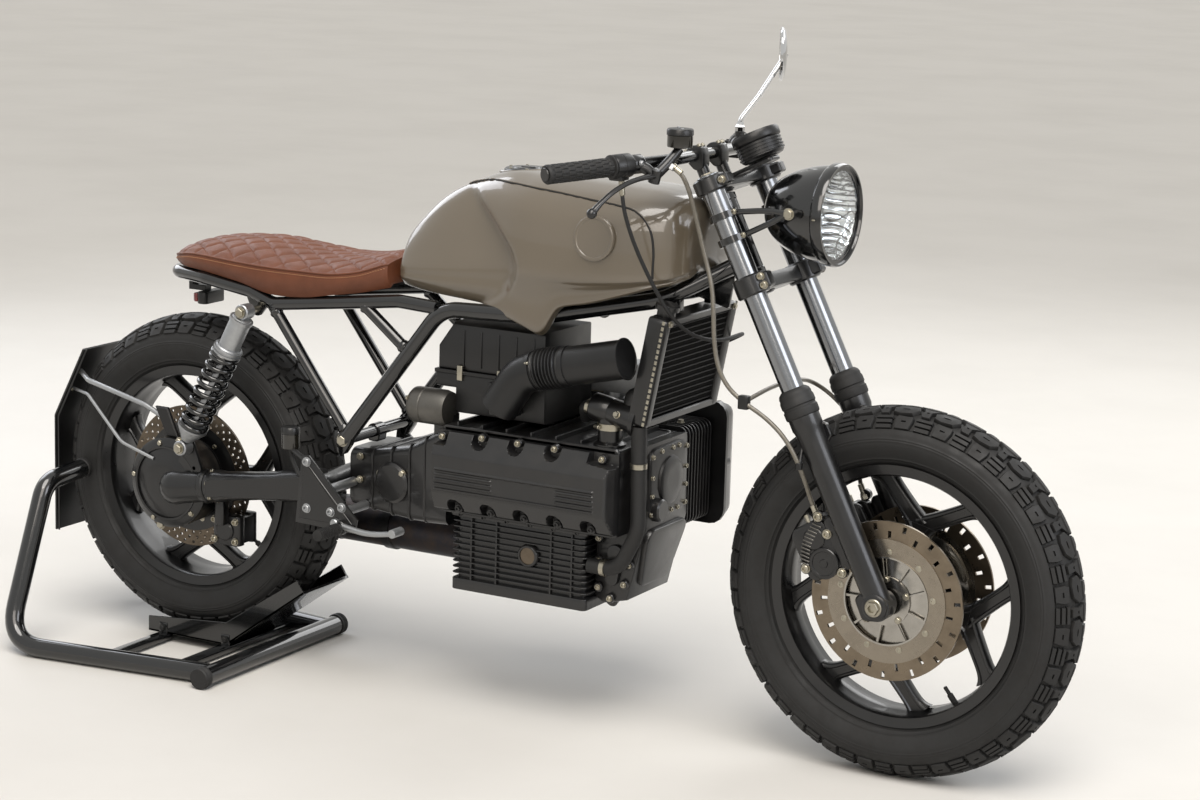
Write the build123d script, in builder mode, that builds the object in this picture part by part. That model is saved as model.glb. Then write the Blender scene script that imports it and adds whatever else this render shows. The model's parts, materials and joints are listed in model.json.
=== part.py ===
"""Cafe racer motorcycle, parked upright on its rear wheel stand.

Row frame, in millimetres: +X forward, +Y to the rider's left, +Z up. The ground is z = 0 and
x = 0 is midway between the axles. Spans are (low, high). Places are (x, y, z).
"""
import os
from math import cos, radians, sin, tan

from build123d import *

# Clearances
FIT = 0.06
GAP = 0.3
PAD_GAP = 5.0
TYRE_GAP = 0.6

# Wheels and stance
WHEELBASE = 1516.0
FRONT_TYRE_R = 333.8
FRONT_TYRE_HALF = 59.0
FRONT_RIM_R = 232.0
FRONT_RIM_HALF = 44.0
REAR_TYRE_R = 321.7
REAR_TYRE_HALF = 68.0
REAR_RIM_R = 219.0
REAR_RIM_HALF = 54.0
REAR_LIFT = 23.4
RIM_WALL = 17.0
CROWN_DROP = 30.0
SHOULDER_IN = 8.0
BEAD_IN = 6.0
SPOKE_PAIRS = 4
SPOKE_WIDTH = 24.0
SPOKE_DEPTH = 26.0
SPOKE_SPREAD = 20.0
SPOKE_FORK_R = 128.0
FRONT_SPOKE_PHASE = 68.0
REAR_SPOKE_PHASE = 76.0
HUB_R = 40.0
REAR_HUB_LEFT = 40.0

FRONT_AXLE_X = WHEELBASE / 2
FRONT_AXLE_Z = FRONT_TYRE_R
FRONT_AXLE_R = 10.0
REAR_AXLE_X = -WHEELBASE / 2
REAR_AXLE_Z = REAR_TYRE_R + REAR_LIFT
REAR_AXLE_R = 14.0

# Brakes
FRONT_DISC_R = 142.4
REAR_DISC_R = 142.0
REAR_DISC_Y = -50.0
DISC_T = 5.0
DISC_BAND = 36.0
CARRIER_T = 7.0
CARRIER_WINDOWS = 10
CALIPER_BACK = (-112.0, -36.0)
CALIPER_UP = (74.0, 176.0)

# Fork, measured along the legs from the front axle
RAKE = 26.95
FORK_HALF = 103.8
STEER_BACK = 45.0
STANCHION_R = 20.5
SLIDER_R = 24.5
SLIDER_FOOT = 330.0
DUST_CAP = (352.0, 402.0)
DUST_R = 31.0
LOWER_CLAMP = (577.0, 613.0)
UPPER_CLAMP = (770.0, 798.0)
STANCHION_TOP = 803.0
CLAMP_BOSS_R = 30.0
STEER_TURNS = (20.0, 30.0)
SWING_GAP = 6.0
STEM_R = 13.0
HEAD_TUBE_R = 28.0
AXLE_LUG_R = 23.0
AXLE_LUG_Y = (FORK_HALF - 24.8, FORK_HALF + 24.8)
FRONT_AXLE_HALF = FORK_HALF + 28.2
FRONT_DISC_Y = FORK_HALF - 32.8
CALIPER_Y = (FORK_HALF - 55.8, FORK_HALF + 6.2)

# Headlight, its ears as (x, z) and the clamp rings' places up the legs
LAMP_X = 607.0
LAMP_Z = 987.0
LAMP_R = 82.0
LAMP_RIM_R = 91.0
LAMP_RIM_DEPTH = 22.0
LAMP_SHELL_R = 86.0
LAMP_SHOULDER = (64.0, -94.0)
LAMP_TAIL_R = 20.0
LAMP_LENGTH = 138.0
LENS_T = 9.0
LAMP_EAR = (552.0, 995.0)
LAMP_EAR_Y = 98.0
LAMP_EAR_INNER_Y = 66.0
LAMP_RINGS = (681.0, 725.0)
RING_HEIGHT = 13.0
RING_WALL = 6.0
LAMP_STAY_R = 5.0
GAUGE_FORWARD = 64.0
GAUGE_R = 44.0
GAUGE_DEPTH = 48.0
GAUGE_TONGUE = ((0.0, 84.0), 40.0, 8.0)

# Handlebar and its controls; y is the half width
BAR_R = 11.0
BAR_BEND = 60.0
GRIP_R = 16.5
GRIP_END = (225.0, 365.0, 1060.0)
GRIP_LENGTH = 133.0
BAR_CORNER = (340.0, 127.0, 1073.9)
RISER_Y = 38.0
RISER_HALF = 13.0
RISER_R = 11.0
RISER_CLAMP_R = 19.0
HOUSING_LENGTH = 38.0
HOUSING_R = 21.0
PERCH_END = 62.0
PERCH_R = 17.0
MASTER_R = 9.5
LEVER_PIVOT = (338.0, 190.0, 1051.0)
LEVER_KNUCKLE = (325.0, 246.0, 1036.0)
LEVER_TIP = (296.0, 335.0, 996.0)
LEVER_R = 6.0
LEVER_BEND = 60.0
RESERVOIR_AT = (362.0, 148.0, 1098.0)
RESERVOIR_R = 23.5
RESERVOIR_HEIGHT = 34.0
MIRROR_AT = (351.0, 260.0, 1237.0)
MIRROR_R = 50.0
MIRROR_T = 12.0
MIRROR_TURN = 27.0
MIRROR_STEM_R = 5.0
MIRROR_KNEE = (330.0, 222.0, 1160.0)
MIRROR_BENDS = (30.0, 60.0)
MIRROR_BOSS = 26.0
MIRROR_BOSS_R = 9.0
MIRROR_RISE = 20.0

# Routes of the brake hoses and of the cable to the throttle bodies
HOSE_R = 4.0
HOSE_MAIN = [
    (359.0, -168.0, 1069.2),
    (377.1, -165.8, 1057.8),
    (386.0, -150.0, 1022.0),
    (392.0, -136.0, 980.0),
    (400.0, -128.0, 938.0),
    (412.0, -127.0, 898.0),
    (427.0, -132.0, 858.0),
    (434.0, -138.0, 814.0),
    (438.0, -141.0, 768.0),
    (447.0, -141.0, 722.0),
    (468.0, -139.0, 686.0),
    (502.0, -136.0, 662.0),
    (542.0, -135.0, 642.0),
    (580.0, -136.0, 612.0),
    (604.0, -134.0, 574.0),
    (614.0, -118.0, 534.0),
]
HOSE_CROSS = [
    (498.0, -134.0, 664.0),
    (503.0, -92.0, 672.0),
    (505.0, -40.0, 677.0),
    (505.0, 20.0, 677.0),
    (503.0, 76.0, 673.0),
    (508.0, 120.0, 664.0),
    (538.0, 136.0, 643.0),
    (578.0, 137.0, 610.0),
    (603.0, 134.0, 572.0),
    (614.0, 118.0, 534.0),
]
HOSE_END = (-50.0, 100.0)
HOSE_END_RISE = 34.0
CABLE_R = 3.5
THROTTLE_CABLE = [
    (292.0, -227.0, 1046.4),
    (295.0, -227.0, 1004.0),
    (304.0, -214.0, 954.0),
    (314.0, -190.0, 904.0),
    (328.0, -162.0, 852.0),
    (344.0, -132.0, 802.0),
    (362.0, -96.0, 766.0),
    (380.0, -50.0, 748.0),
    (388.0, 5.0, 742.0),
    (384.0, 62.0, 742.0),
    (370.0, 116.0, 736.0),
    (340.0, 160.0, 722.0),
    (296.0, 180.0, 700.0),
    (246.0, 180.0, 674.0),
    (220.0, 172.0, 652.0),
    (208.0, 150.0, 640.0),
    (208.0, 124.3, 640.0),
]

# Engine and gearbox
BLOCK_X = (-110.0, 262.0)
BLOCK_Y = (-150.0, 60.0)
BLOCK_Z = (388.0, 548.0)
COVER_X = (-112.0, 266.0)
COVER_Z = (396.0, 542.0)
COVER_DEPTH = 42.0
COVER_CORNER = 12.0
COVER_TAPER = 8.0
COVER_RIBS = 5
RIB_MARGIN = 36.0
RIB_T = 5.0
RIB_OUT = 5.0
HEAD_X = (-98.0, 268.0)
HEAD_Z = (366.0, 556.0)
HEAD_DEPTH = 122.0
HEAD_FINS = 6
FIN_T = 3.0
FIN_OUT = 16.0
FIN_MARGIN = 12.0
HEAD_COVER_X = (-102.0, 310.0)
HEAD_COVER_Z = (352.0, 588.0)
HEAD_COVER_DEPTH = 60.0
HEAD_COVER_CORNER = 30.0
HEAD_COVER_TAPER = 14.0
PAN_X = (-92.0, 196.0)
PAN_Y = (-140.0, 60.0)
PAN_Z = (238.0, 388.0)
PAN_FINS = 6
PAN_FIN_OUT = 8.0
TIMING_Y = (-106.0, 60.0)
TIMING_OUTLINE = [
    (BLOCK_X[1], BLOCK_Z[1]),
    (BLOCK_X[1] + 30, BLOCK_Z[1] + 4),
    (BLOCK_X[1] + 34, 400.0),
    (BLOCK_X[1], 262.0),
    (PAN_X[1] + 18, 250.0),
    (PAN_X[1], 262.0),
    (PAN_X[1], BLOCK_Z[0]),
    (BLOCK_X[1], BLOCK_Z[0]),
]
GEARBOX_SECTIONS = [
    # x, right side y, left side y, bottom z, top z
    (BLOCK_X[0], -132.0, 92.0, 352.0, 540.0),
    (-215.0, -96.0, 84.0, 340.0, 486.0),
    (-318.0, -74.0, 70.0, 342.0, 460.0),
    (-366.0, -74.0, 70.0, 346.0, 460.0),
]
GEARBOX_END_X = GEARBOX_SECTIONS[-1][0]
GEARBOX_TOP = GEARBOX_SECTIONS[-1][4]
GEARBOX_RIGHT = GEARBOX_SECTIONS[-1][1]
GEARBOX_LEFT = GEARBOX_SECTIONS[-1][2]
ALTERNATOR_R = 34.0
ALTERNATOR_X = (-196.0, BLOCK_X[0] - 4)
ALTERNATOR_AT = (-112.0, 572.0)

# Side stand: pivot, swing axis tilt from level, and leg
SIDE_PIVOT = (152.0, 68.0, 222.0)
SIDE_TILT = 20.0
SIDE_LEG = 195.0
SIDE_LEG_R = 9.0
SIDE_EYE_R = 13.0
SIDE_EYE_HALF = 9.5
SIDE_PIN_R = 5.0

# Intake, cooling and exhaust
AIRBOX_Y = (-112.0, 66.0)
AIRBOX_OUTLINE = [(-108, 566), (85, 566), (85, 735), (-118, 735), (-150, 690), (-150, 612), (-108, 612)]
AIRBOX_FEET = (-80.0, 55.0)
PLENUM_X = (-82.0, 222.0)
PLENUM_Y = (AIRBOX_Y[1] + GAP, 124.0)
PLENUM_Z = (604.0, 662.0)
THROTTLE_X = (-60.0, 27.0, 114.0, 200.0)
THROTTLE_Y = 100.0
THROTTLE_R = 20.0
DUCT_R = 36.0
DUCT_Y = -152.0
DUCT_ROUTE = [(12.0, 596.0), (58.0, 664.0), (110.0, 680.0), (272.0, 717.0)]
DUCT_BENDS = (70.0, 200.0)
DUCT_RIBS = 6
DUCT_RIB_PITCH = 7.0
DUCT_RIB_START = (100.0, 677.0)
DUCT_RIB_T = 3.5
DUCT_SLOPE = 13.0
RADIATOR_HALF = 142.0
RADIATOR_OUTLINE = [(345.0, 790.0), (308.0, 592.0), (270.6, 599.0), (307.6, 797.0)]
RADIATOR_LUG = ((318.0, 332.0), (52.0, 68.0), (795.6, 828.0))
WATER_R = 16.0
WATER_Y = -116.0
WATER_ROUTE = [(225.0, 548.3), (225.0, 640.0), (274.8, 640.0)]
WATER_BEND = 28.0
WATER_CLAMP = (556.0, 576.0)
LOWER_HOSE_R = 11.0
LOWER_HOSE_Y = -128.0
LOWER_HOSE = [(290.0, 592.6), (291.0, 520.0), (294.0, 400.0), (256.0, 324.0), (196.3, 324.0)]
LOWER_HOSE_BENDS = (200.0, 90.0, 50.0)
HEADER_R = 18.0
HEADERS = [
    # port x, pipe y, run z
    (200.0, 105.0, 262.0),
    (114.0, 148.0, 262.0),
    (28.0, 105.0, 300.0),
    (-58.0, 148.0, 300.0),
]
HEADER_BEND = 34.0
COLLECTOR_X = (-170.0, -110.0)
COLLECTOR_Y = (84.0, 169.0)
COLLECTOR_Z = (240.0, 322.0)
MUFFLER_AT = (150.0, 255.0)
MUFFLER_R = 46.0
MUFFLER_END_X = -560.0

# Frame; y is the half width
MAIN_TUBE_R = 15.0
MAIN_TUBE = [
    (424.0, 18.0, 888.0),
    (300.0, 70.0, 815.0),
    (60.0, 108.0, 764.0),
    (-140.0, 110.0, 757.0),
    (-352.0, 110.0, 482.0),
]
MAIN_BENDS = (160.0, 300.0, 80.0)
RAIL_R = 13.0
SEAT_LOOP = [
    (-150.0, 110.0, 757.0),
    (-235.0, 110.0, 761.0),
    (-520.0, 110.0, 726.0),
    (-575.0, 106.0, 744.0),
    (-690.0, 96.0, 757.0),
    (-792.0, 62.0, 757.0),
]
LOOP_BENDS = (60.0, 40.0, 40.0, 60.0, 40.0, 40.0, 60.0, 40.0, 40.0, 60.0)
TUBE_Y = 110.0
STAY_R = 11.0
STAYS = [
    # rear x, rear z, front x, front z
    (-521.0, 722.0, -345.0, 492.0),
    (-319.0, 751.0, -212.0, 668.0),
]
TUBE_CLEAR = 4.0
FRAME_LUG_HALF = 14.0

# Tank, as (x, then (half width, z) from the bottom edge to the top edge)
TANK_SECTIONS = [
    (-264.0, (70, 800), (85, 812), (85, 826), (72, 840), (42, 850)),
    (-235.0, (80, 795), (98, 808), (98, 850), (80, 893), (46, 914)),
    (-160.0, (86, 785), (106, 800), (103, 880), (86, 945), (50, 973)),
    (-48.0, (90, 785), (110, 803), (108, 900), (98, 985), (58, 1018)),
    (30.0, (118, 790), (147, 845), (144, 915), (118, 988), (60, 1016)),
    (170.0, (120, 797), (152, 845), (149, 930), (120, 988), (60, 1011)),
    (285.0, (104, 835), (126, 855), (128, 920), (108, 968), (56, 1005)),
    (345.0, (72, 850), (88, 862), (90, 915), (80, 955), (50, 986)),
]
TANK_LOBE = [
    (-60, 806),
    (-12, 770),
    (30, 742),
    (75, 735),
    (100, 745),
    (122, 800),
    (122, 846),
    (-60, 846),
]
TANK_LOBE_Y = (100.0, 141.0)
HEAD_NOTCH_X = 296.0
HEAD_NOTCH_HALF = 52.0
CAP_X = -30.0
CAP_Z = 1010.0
CAP_R = 42.0
CAP_T = 10.0
CAP_HINGE_X = CAP_X + CAP_R + 6
CAP_KNUCKLE_HALF = 16.0

# Seat, in the same form as the tank
SEAT_SECTIONS = [
    (-800.0, (40, 771), (48, 788), (20, 797)),
    (-720.0, (98, 771), (105, 808), (55, 824)),
    (-690.0, (105, 770.8), (112, 812), (60, 829)),
    (-575.0, (118, 758), (126, 803), (68, 834)),
    (-520.0, (119, 742), (130, 801), (72, 824)),
    (-380.0, (118, 758), (130, 802), (72, 822)),
    (-268.0, (108, 779), (115, 826), (62, 843)),
]

# Shaft drive, shock and rear brake
ARM_Y = -125.0
ARM_R = 32.0
ARM_END = (-655.0, 352.0)
YOKE_AT = (-402.0, 388.0)
YOKE_Y = (-147.0, 50.0)
YOKE_R = 27.0
YOKE_LUG_Z = (372.0, 402.0)
YOKE_LUG_HALF = 30.0
DRIVE_NECK = 100.0
DRIVE_R = 90.0
DRIVE_Y = (-134.0, -64.0)
AXLE_NUT_R = 22.0
AXLE_NUT_T = 9.0
SHOCK_Y = -152.0
SHOCK_HALF = 14.0
SHOCK_TOP = (-556.0, 712.0)
SHOCK_FOOT = (-702.0, 428.0)
SHOCK_EYE_R = 15.0
SHOCK_PIN_R = 7.0
SHOCK_LUG = [(-534, 728), (-578, 744), (-572, 700), (-540, 700)]
FOOT_LUG = [(-730, 372), (-716, 437), (-690, 437), (-672, 372)]
FOOT_LUG_Y = (-136.0, -126.0)
DAMPER_R = 21.0
DAMPER_SPANS = ((24.0, 50.0), (228.0, 306.0))
DAMPER_NECK_R = 11.0
DAMPER_NECK = 26.0
SPRING_SPAN = (48.0, 230.0)
SPRING_CORE_R = 20.0
SPRING_R = 29.0
SPRING_TURNS = 9
SPRING_WIRE = 9.0
REAR_CALIPER = (
    (REAR_AXLE_X + 76.0, REAR_AXLE_X + 142.0),
    (REAR_DISC_Y - 40.0, REAR_DISC_Y + 30.0),
    (REAR_AXLE_Z - 121.1, REAR_AXLE_Z - 57.1),
)
REAR_CALIPER_LUG = (
    (REAR_AXLE_X + 96.0, REAR_AXLE_X + 118.0),
    (REAR_DISC_Y - 58.0, REAR_DISC_Y - 34.0),
    (REAR_AXLE_Z - 75.1, 323.3),
)

# Foot controls
REARSET_Y = (162.0, 168.0)
REARSET_OUTLINE = [(-412, 455), (-396, 455), (-284, 345), (-290, 318), (-425, 322)]
REARSET_SPACERS = ((-354.0, 394.0), (-326.0, 352.0))
SPACER_R = 9.0
PEG_AT = (-318.0, 327.0)
PEG_END_Y = 250.0
PEG_R = 11.0
PEDAL_ROUTE = [(-330.0, 173.0, 334.0), (-250.0, 180.0, 326.0), (-182.0, 182.0, 340.0)]
PEDAL_R = 5.0
PEDAL_BEND = 60.0
ARM_Z = (446.0, 466.0)
REAR_RESERVOIR_AT = (-455.0, -142.0)
REAR_RESERVOIR_Z = (456.0, 500.0)
REAR_RESERVOIR_R = 17.0

# Number plate carrier and rear lamp
PANEL_HALF = 70.0
PANEL_T = 4.0
PANEL_X = REAR_AXLE_X - REAR_TYRE_R - PANEL_T - 8.3
PANEL_OUTLINE = [
    (PANEL_X, REAR_AXLE_Z - 155.1),
    (PANEL_X, REAR_AXLE_Z + 84.9),
    (PANEL_X + 74, REAR_AXLE_Z + 229.9),
    (PANEL_X + 74 + PANEL_T, REAR_AXLE_Z + 227.9),
    (PANEL_X + PANEL_T, REAR_AXLE_Z + 82.9),
    (PANEL_X + PANEL_T, REAR_AXLE_Z - 155.1),
]
ROD_R = 4.0
ROD_LUG_Y = (-116.0, -106.0)
ROD_LUG_Z = REAR_AXLE_Z + DRIVE_R + GAP
ROD_LUG = [
    (REAR_AXLE_X - 42, REAR_AXLE_Z + 146.9),
    (REAR_AXLE_X - 12, REAR_AXLE_Z + 146.9),
    (REAR_AXLE_X + 14, ROD_LUG_Z),
    (REAR_AXLE_X - 14, ROD_LUG_Z),
]
UPPER_ROD = [
    (PANEL_X + 52, -48.0, REAR_AXLE_Z + 178.9),
    (REAR_AXLE_X - 227, -92.0, REAR_AXLE_Z + 172.9),
    (REAR_AXLE_X - 72, -108.0, REAR_AXLE_Z + 144.9),
    (REAR_AXLE_X - 22, -110.0, REAR_AXLE_Z + 124.9),
]
LOWER_ROD = [
    (PANEL_X + 32, -48.0, REAR_AXLE_Z + 140.9),
    (REAR_AXLE_X - 227, -94.0, REAR_AXLE_Z + 144.9),
    (REAR_AXLE_X - 107, -138.4, REAR_AXLE_Z + 69.9),
    (REAR_AXLE_X - 27, -138.4, REAR_AXLE_Z + 46.9),
]
ROD_BENDS = (30.0, 60.0)
PLATE_LAMP = (
    (PANEL_X - 16.0, PANEL_X + 1.0),
    (-16.0, 16.0),
    (REAR_AXLE_Z + 58.9, REAR_AXLE_Z + 82.9),
)
TAIL_LAMP = ((-770.0, -738.0), (-34.0, 34.0), (690.0, 714.0))
TAIL_BRACKET = [(-797, 743.6), (-787, 743.6), (-787, 724), (-756, 724), (-756, 713), (-797, 713)]
TAIL_BRACKET_HALF = 10.0

# Wheel stand; the front bar's ends stand on rubber caps
STAND_TUBE_R = 19.0
STAND_CAP_R = 21.5
STAND_CAP_T = 20.0
STAND_BAR_X = REAR_AXLE_X + 205.0
STAND_BAR_PAST = 24.0
STAND_SIDES = [
    # side, front y, rear y, upper y
    (-1, -258.0, -314.0, -200.0),
    (1, 134.0, 190.0, 150.0),
]
STAND_REAR_X = REAR_AXLE_X - 254.0
STAND_HORN = (REAR_AXLE_X - 250.0, 325.0)
STAND_HORN_END_Y = 82.0
STAND_BENDS = (75.0, 50.0)
CRADLE_HALF = 78.0
CRADLE_T = 5.0
CRADLE_ANGLE = 36.0
CRADLE_ARM = 228.0
CRADLE_REAR_X = REAR_AXLE_X - 88.0
CRADLE_WALL = 42.0
CROSS_BARS = (
    (REAR_AXLE_X + 90.0, REAR_AXLE_X + 118.0),
    (REAR_AXLE_X - 64.0, REAR_AXLE_X - 36.0),
)
CROSS_BAR_Z = (6.0, 18.0)

FORK = Plane(
    origin=(FRONT_AXLE_X, 0, FRONT_AXLE_Z),
    x_dir=(cos(radians(RAKE)), 0, sin(radians(RAKE))),
    z_dir=(-sin(radians(RAKE)), 0, cos(radians(RAKE))),
)


def fork_place(forward, left, up):
    """World place of a point given forward of the fork legs, to the left and up along them."""
    return FORK.from_local_coords(Vector(forward, left, up))


def wheel_plane(axle_x, axle_z):
    """Plane through an axle whose local x is the radius and local y runs along the axle."""
    return Plane(origin=(axle_x, 0, axle_z), x_dir=(0, 0, 1), z_dir=(-1, 0, 0))


def axle_plane(axle_x, axle_z, y):
    """Plane across an axle at one y, facing the rider's left."""
    return Plane(origin=(axle_x, y, axle_z), x_dir=(-1, 0, 0), z_dir=(0, 1, 0))


def mirrored(points):
    """Points followed by their mirror images on the other side of the bike, in return order."""
    return points + [(x, -y, z) for x, y, z in reversed(points)]


def middle(span):
    return (span[0] + span[1]) / 2


def length(span):
    return span[1] - span[0]


def span_box(x_span, y_span, z_span, mode=Mode.ADD):
    """Add or cut the block that fills three spans."""
    with Locations((middle(x_span), middle(y_span), middle(z_span))):
        Box(length(x_span), length(y_span), length(z_span), mode=mode)


def side_plate(outline, y_span, mode=Mode.ADD):
    """Add or cut a plate with an outline of (x, z) points, between two y values."""
    with BuildSketch(Plane.XZ.offset(-y_span[1])) as face:
        with BuildLine():
            Polyline(*outline, close=True)
        make_face()
    extrude(face.sketch, amount=length(y_span), mode=mode)


def round_bar(start, end, radius, mode=Mode.ADD):
    """Add or cut a straight round bar between two places."""
    run = Vector(*end) - Vector(*start)
    with BuildSketch(Plane(origin=start, z_dir=run)) as face:
        Circle(radius)
    extrude(face.sketch, amount=run.length, mode=mode)


def cord_bends(points, share=0.45):
    """Largest arc at each corner of a route: a share of its shorter run over the half turn's tangent."""
    places = [Vector(*point) for point in points]
    radii = []
    for before, corner, after in zip(places, places[1:], places[2:]):
        run_in = corner - before
        run_out = after - corner
        half_turn = radians(run_in.get_angle(run_out) / 2)
        radii.append(share * min(run_in.length, run_out.length) / tan(half_turn))
    return radii


def tube_run(points, radius, bends, mode=Mode.ADD):
    """Add or cut a round tube along straight runs joined by arcs."""
    with BuildLine() as path:
        FilletPolyline(*points, radius=bends)
    with BuildSketch(Plane(origin=path.line @ 0, z_dir=path.line % 0)) as face:
        Circle(radius)
    sweep(face.sketch, path=path.line, mode=mode)


def section_loft(sections):
    """Add a straight-sided loft through (x, outline) sections of (y, z) points."""
    faces = []
    for x, outline in sections:
        with BuildSketch(Plane(origin=(x, 0, 0), x_dir=(0, 1, 0), z_dir=(1, 0, 0))) as face:
            with BuildLine():
                Polyline(*outline, close=True)
            make_face()
        faces.append(face.sketch)
    loft(faces, ruled=True)


def both_sides(half):
    """Closed outline from one side's (y, z) points and their mirror images."""
    return half + [(-y, z) for y, z in reversed(half)]


def finish(piece, name):
    """Label a finished piece and write it."""
    piece.part.label = name
    export_step(piece.part, f"parts/{name}.step")


def wheel_rim(axle, rim_r, rim_half, hub_span, bore, phase):
    """Cast wheel: rim, hub and forked spokes, around an axle at (x, z)."""
    with BuildPart() as wheel:
        with BuildSketch(wheel_plane(*axle)):
            with BuildLine():
                Polyline(
                    (rim_r - RIM_WALL, -rim_half + 8),
                    (rim_r - 4, -rim_half),
                    (rim_r, -rim_half),
                    (rim_r, rim_half),
                    (rim_r - 4, rim_half),
                    (rim_r - RIM_WALL, rim_half - 8),
                    close=True,
                )
            make_face()
        revolve(axis=Axis((axle[0], 0, axle[1]), (0, 1, 0)))
        with BuildSketch(axle_plane(*axle, hub_span[0])):
            Circle(HUB_R)
        extrude(amount=length(hub_span))
        with BuildSketch(axle_plane(*axle, -SPOKE_DEPTH / 2)):
            for pair in range(SPOKE_PAIRS):
                turn = phase + pair * 360 / SPOKE_PAIRS
                with BuildLine():
                    Line((0, 0), (SPOKE_FORK_R * cos(radians(turn)), SPOKE_FORK_R * sin(radians(turn))))
                    for side in (-1, 1):
                        outer = turn + side * SPOKE_SPREAD
                        reach = rim_r - RIM_WALL / 2
                        Line(
                            (SPOKE_FORK_R * cos(radians(turn)), SPOKE_FORK_R * sin(radians(turn))),
                            (reach * cos(radians(outer)), reach * sin(radians(outer))),
                        )
                trace(line_width=SPOKE_WIDTH)
        extrude(amount=SPOKE_DEPTH)
        with BuildSketch(axle_plane(*axle, hub_span[0])):
            Circle(bore)
        extrude(amount=length(hub_span), mode=Mode.SUBTRACT)
    return wheel


def wheel_tyre(axle, rim_r, rim_half, tyre_r, tyre_half):
    """Closed tyre whose sides bulge from the rim to the widest point and over the crown."""
    shoulder_r = tyre_r - CROWN_DROP
    shoulder_half = tyre_half - SHOULDER_IN
    widest_r = (rim_r + shoulder_r) / 2
    bead = rim_half - BEAD_IN
    with BuildPart() as tyre:
        with BuildSketch(wheel_plane(*axle)):
            with BuildLine():
                ThreePointArc((rim_r, -bead), (widest_r, -tyre_half), (shoulder_r, -shoulder_half))
                ThreePointArc((shoulder_r, -shoulder_half), (tyre_r, 0), (shoulder_r, shoulder_half))
                ThreePointArc((shoulder_r, shoulder_half), (widest_r, tyre_half), (rim_r, bead))
                Line((rim_r, bead), (rim_r, -bead))
            make_face()
        revolve(axis=Axis((axle[0], 0, axle[1]), (0, 1, 0)))
    return tyre


def brake_disc(axle, disc_r, y_low, bore):
    """Braking band on a windowed carrier, both cut from one blank."""
    band_r = disc_r - DISC_BAND
    with BuildSketch(axle_plane(*axle, y_low)) as blank:
        Circle(disc_r)
        Circle(bore, mode=Mode.SUBTRACT)
        with PolarLocations((band_r + HUB_R) / 2, CARRIER_WINDOWS):
            SlotOverall(band_r - HUB_R - 12, 17, mode=Mode.SUBTRACT)
    extrude(blank.sketch, amount=DISC_T)


os.makedirs("parts", exist_ok=True)

# Front wheel
front_axle_place = (FRONT_AXLE_X, FRONT_AXLE_Z)
front_hub = (-FRONT_DISC_Y + DISC_T / 2, FRONT_DISC_Y - DISC_T / 2)
front_bore = FRONT_AXLE_R + FIT
finish(
    wheel_rim(front_axle_place, FRONT_RIM_R, FRONT_RIM_HALF, front_hub, front_bore, FRONT_SPOKE_PHASE),
    "front_rim",
)
finish(
    wheel_tyre(front_axle_place, FRONT_RIM_R, FRONT_RIM_HALF, FRONT_TYRE_R, FRONT_TYRE_HALF),
    "front_tyre",
)
with BuildPart() as front_discs:
    for disc_low in (front_hub[0] - DISC_T, front_hub[1]):
        brake_disc(front_axle_place, FRONT_DISC_R, disc_low, FRONT_AXLE_R + 8)
finish(front_discs, "front_discs")

# Rear wheel
rear_axle_place = (REAR_AXLE_X, REAR_AXLE_Z)
rear_hub = (REAR_DISC_Y + DISC_T / 2, REAR_HUB_LEFT)
finish(
    wheel_rim(rear_axle_place, REAR_RIM_R, REAR_RIM_HALF, rear_hub, REAR_AXLE_R + FIT, REAR_SPOKE_PHASE),
    "rear_rim",
)
finish(
    wheel_tyre(rear_axle_place, REAR_RIM_R, REAR_RIM_HALF, REAR_TYRE_R, REAR_TYRE_HALF),
    "rear_tyre",
)
with BuildPart() as rear_disc:
    brake_disc(rear_axle_place, REAR_DISC_R, rear_hub[0] - DISC_T, REAR_AXLE_R + FIT)
finish(rear_disc, "rear_disc")

# Fork clamps with the steering stem
with BuildPart() as fork_clamps:
    for low, high in (LOWER_CLAMP, UPPER_CLAMP):
        with BuildSketch(FORK.offset(low)):
            with Locations((0, FORK_HALF), (0, -FORK_HALF), (-STEER_BACK, 0)):
                Circle(CLAMP_BOSS_R)
            make_hull()
            with Locations((0, FORK_HALF), (0, -FORK_HALF)):
                Circle(STANCHION_R, mode=Mode.SUBTRACT)
        extrude(amount=high - low)
    with BuildSketch(FORK.offset(LOWER_CLAMP[1])):
        with Locations((-STEER_BACK, 0)):
            Circle(STEM_R)
    extrude(amount=UPPER_CLAMP[0] - LOWER_CLAMP[1])
    tongue_span, tongue_width, tongue_t = GAUGE_TONGUE
    with BuildSketch(FORK.offset(UPPER_CLAMP[1] - tongue_t)):
        with Locations((middle(tongue_span), 0)):
            Rectangle(length(tongue_span), tongue_width)
    extrude(amount=tongue_t)
finish(fork_clamps, "fork_clamps")

with BuildPart() as fork_stanchions:
    with BuildSketch(FORK.offset(SLIDER_FOOT)):
        with Locations((0, FORK_HALF), (0, -FORK_HALF)):
            Circle(STANCHION_R)
    extrude(amount=STANCHION_TOP - SLIDER_FOOT)
finish(fork_stanchions, "fork_stanchions")

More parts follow.
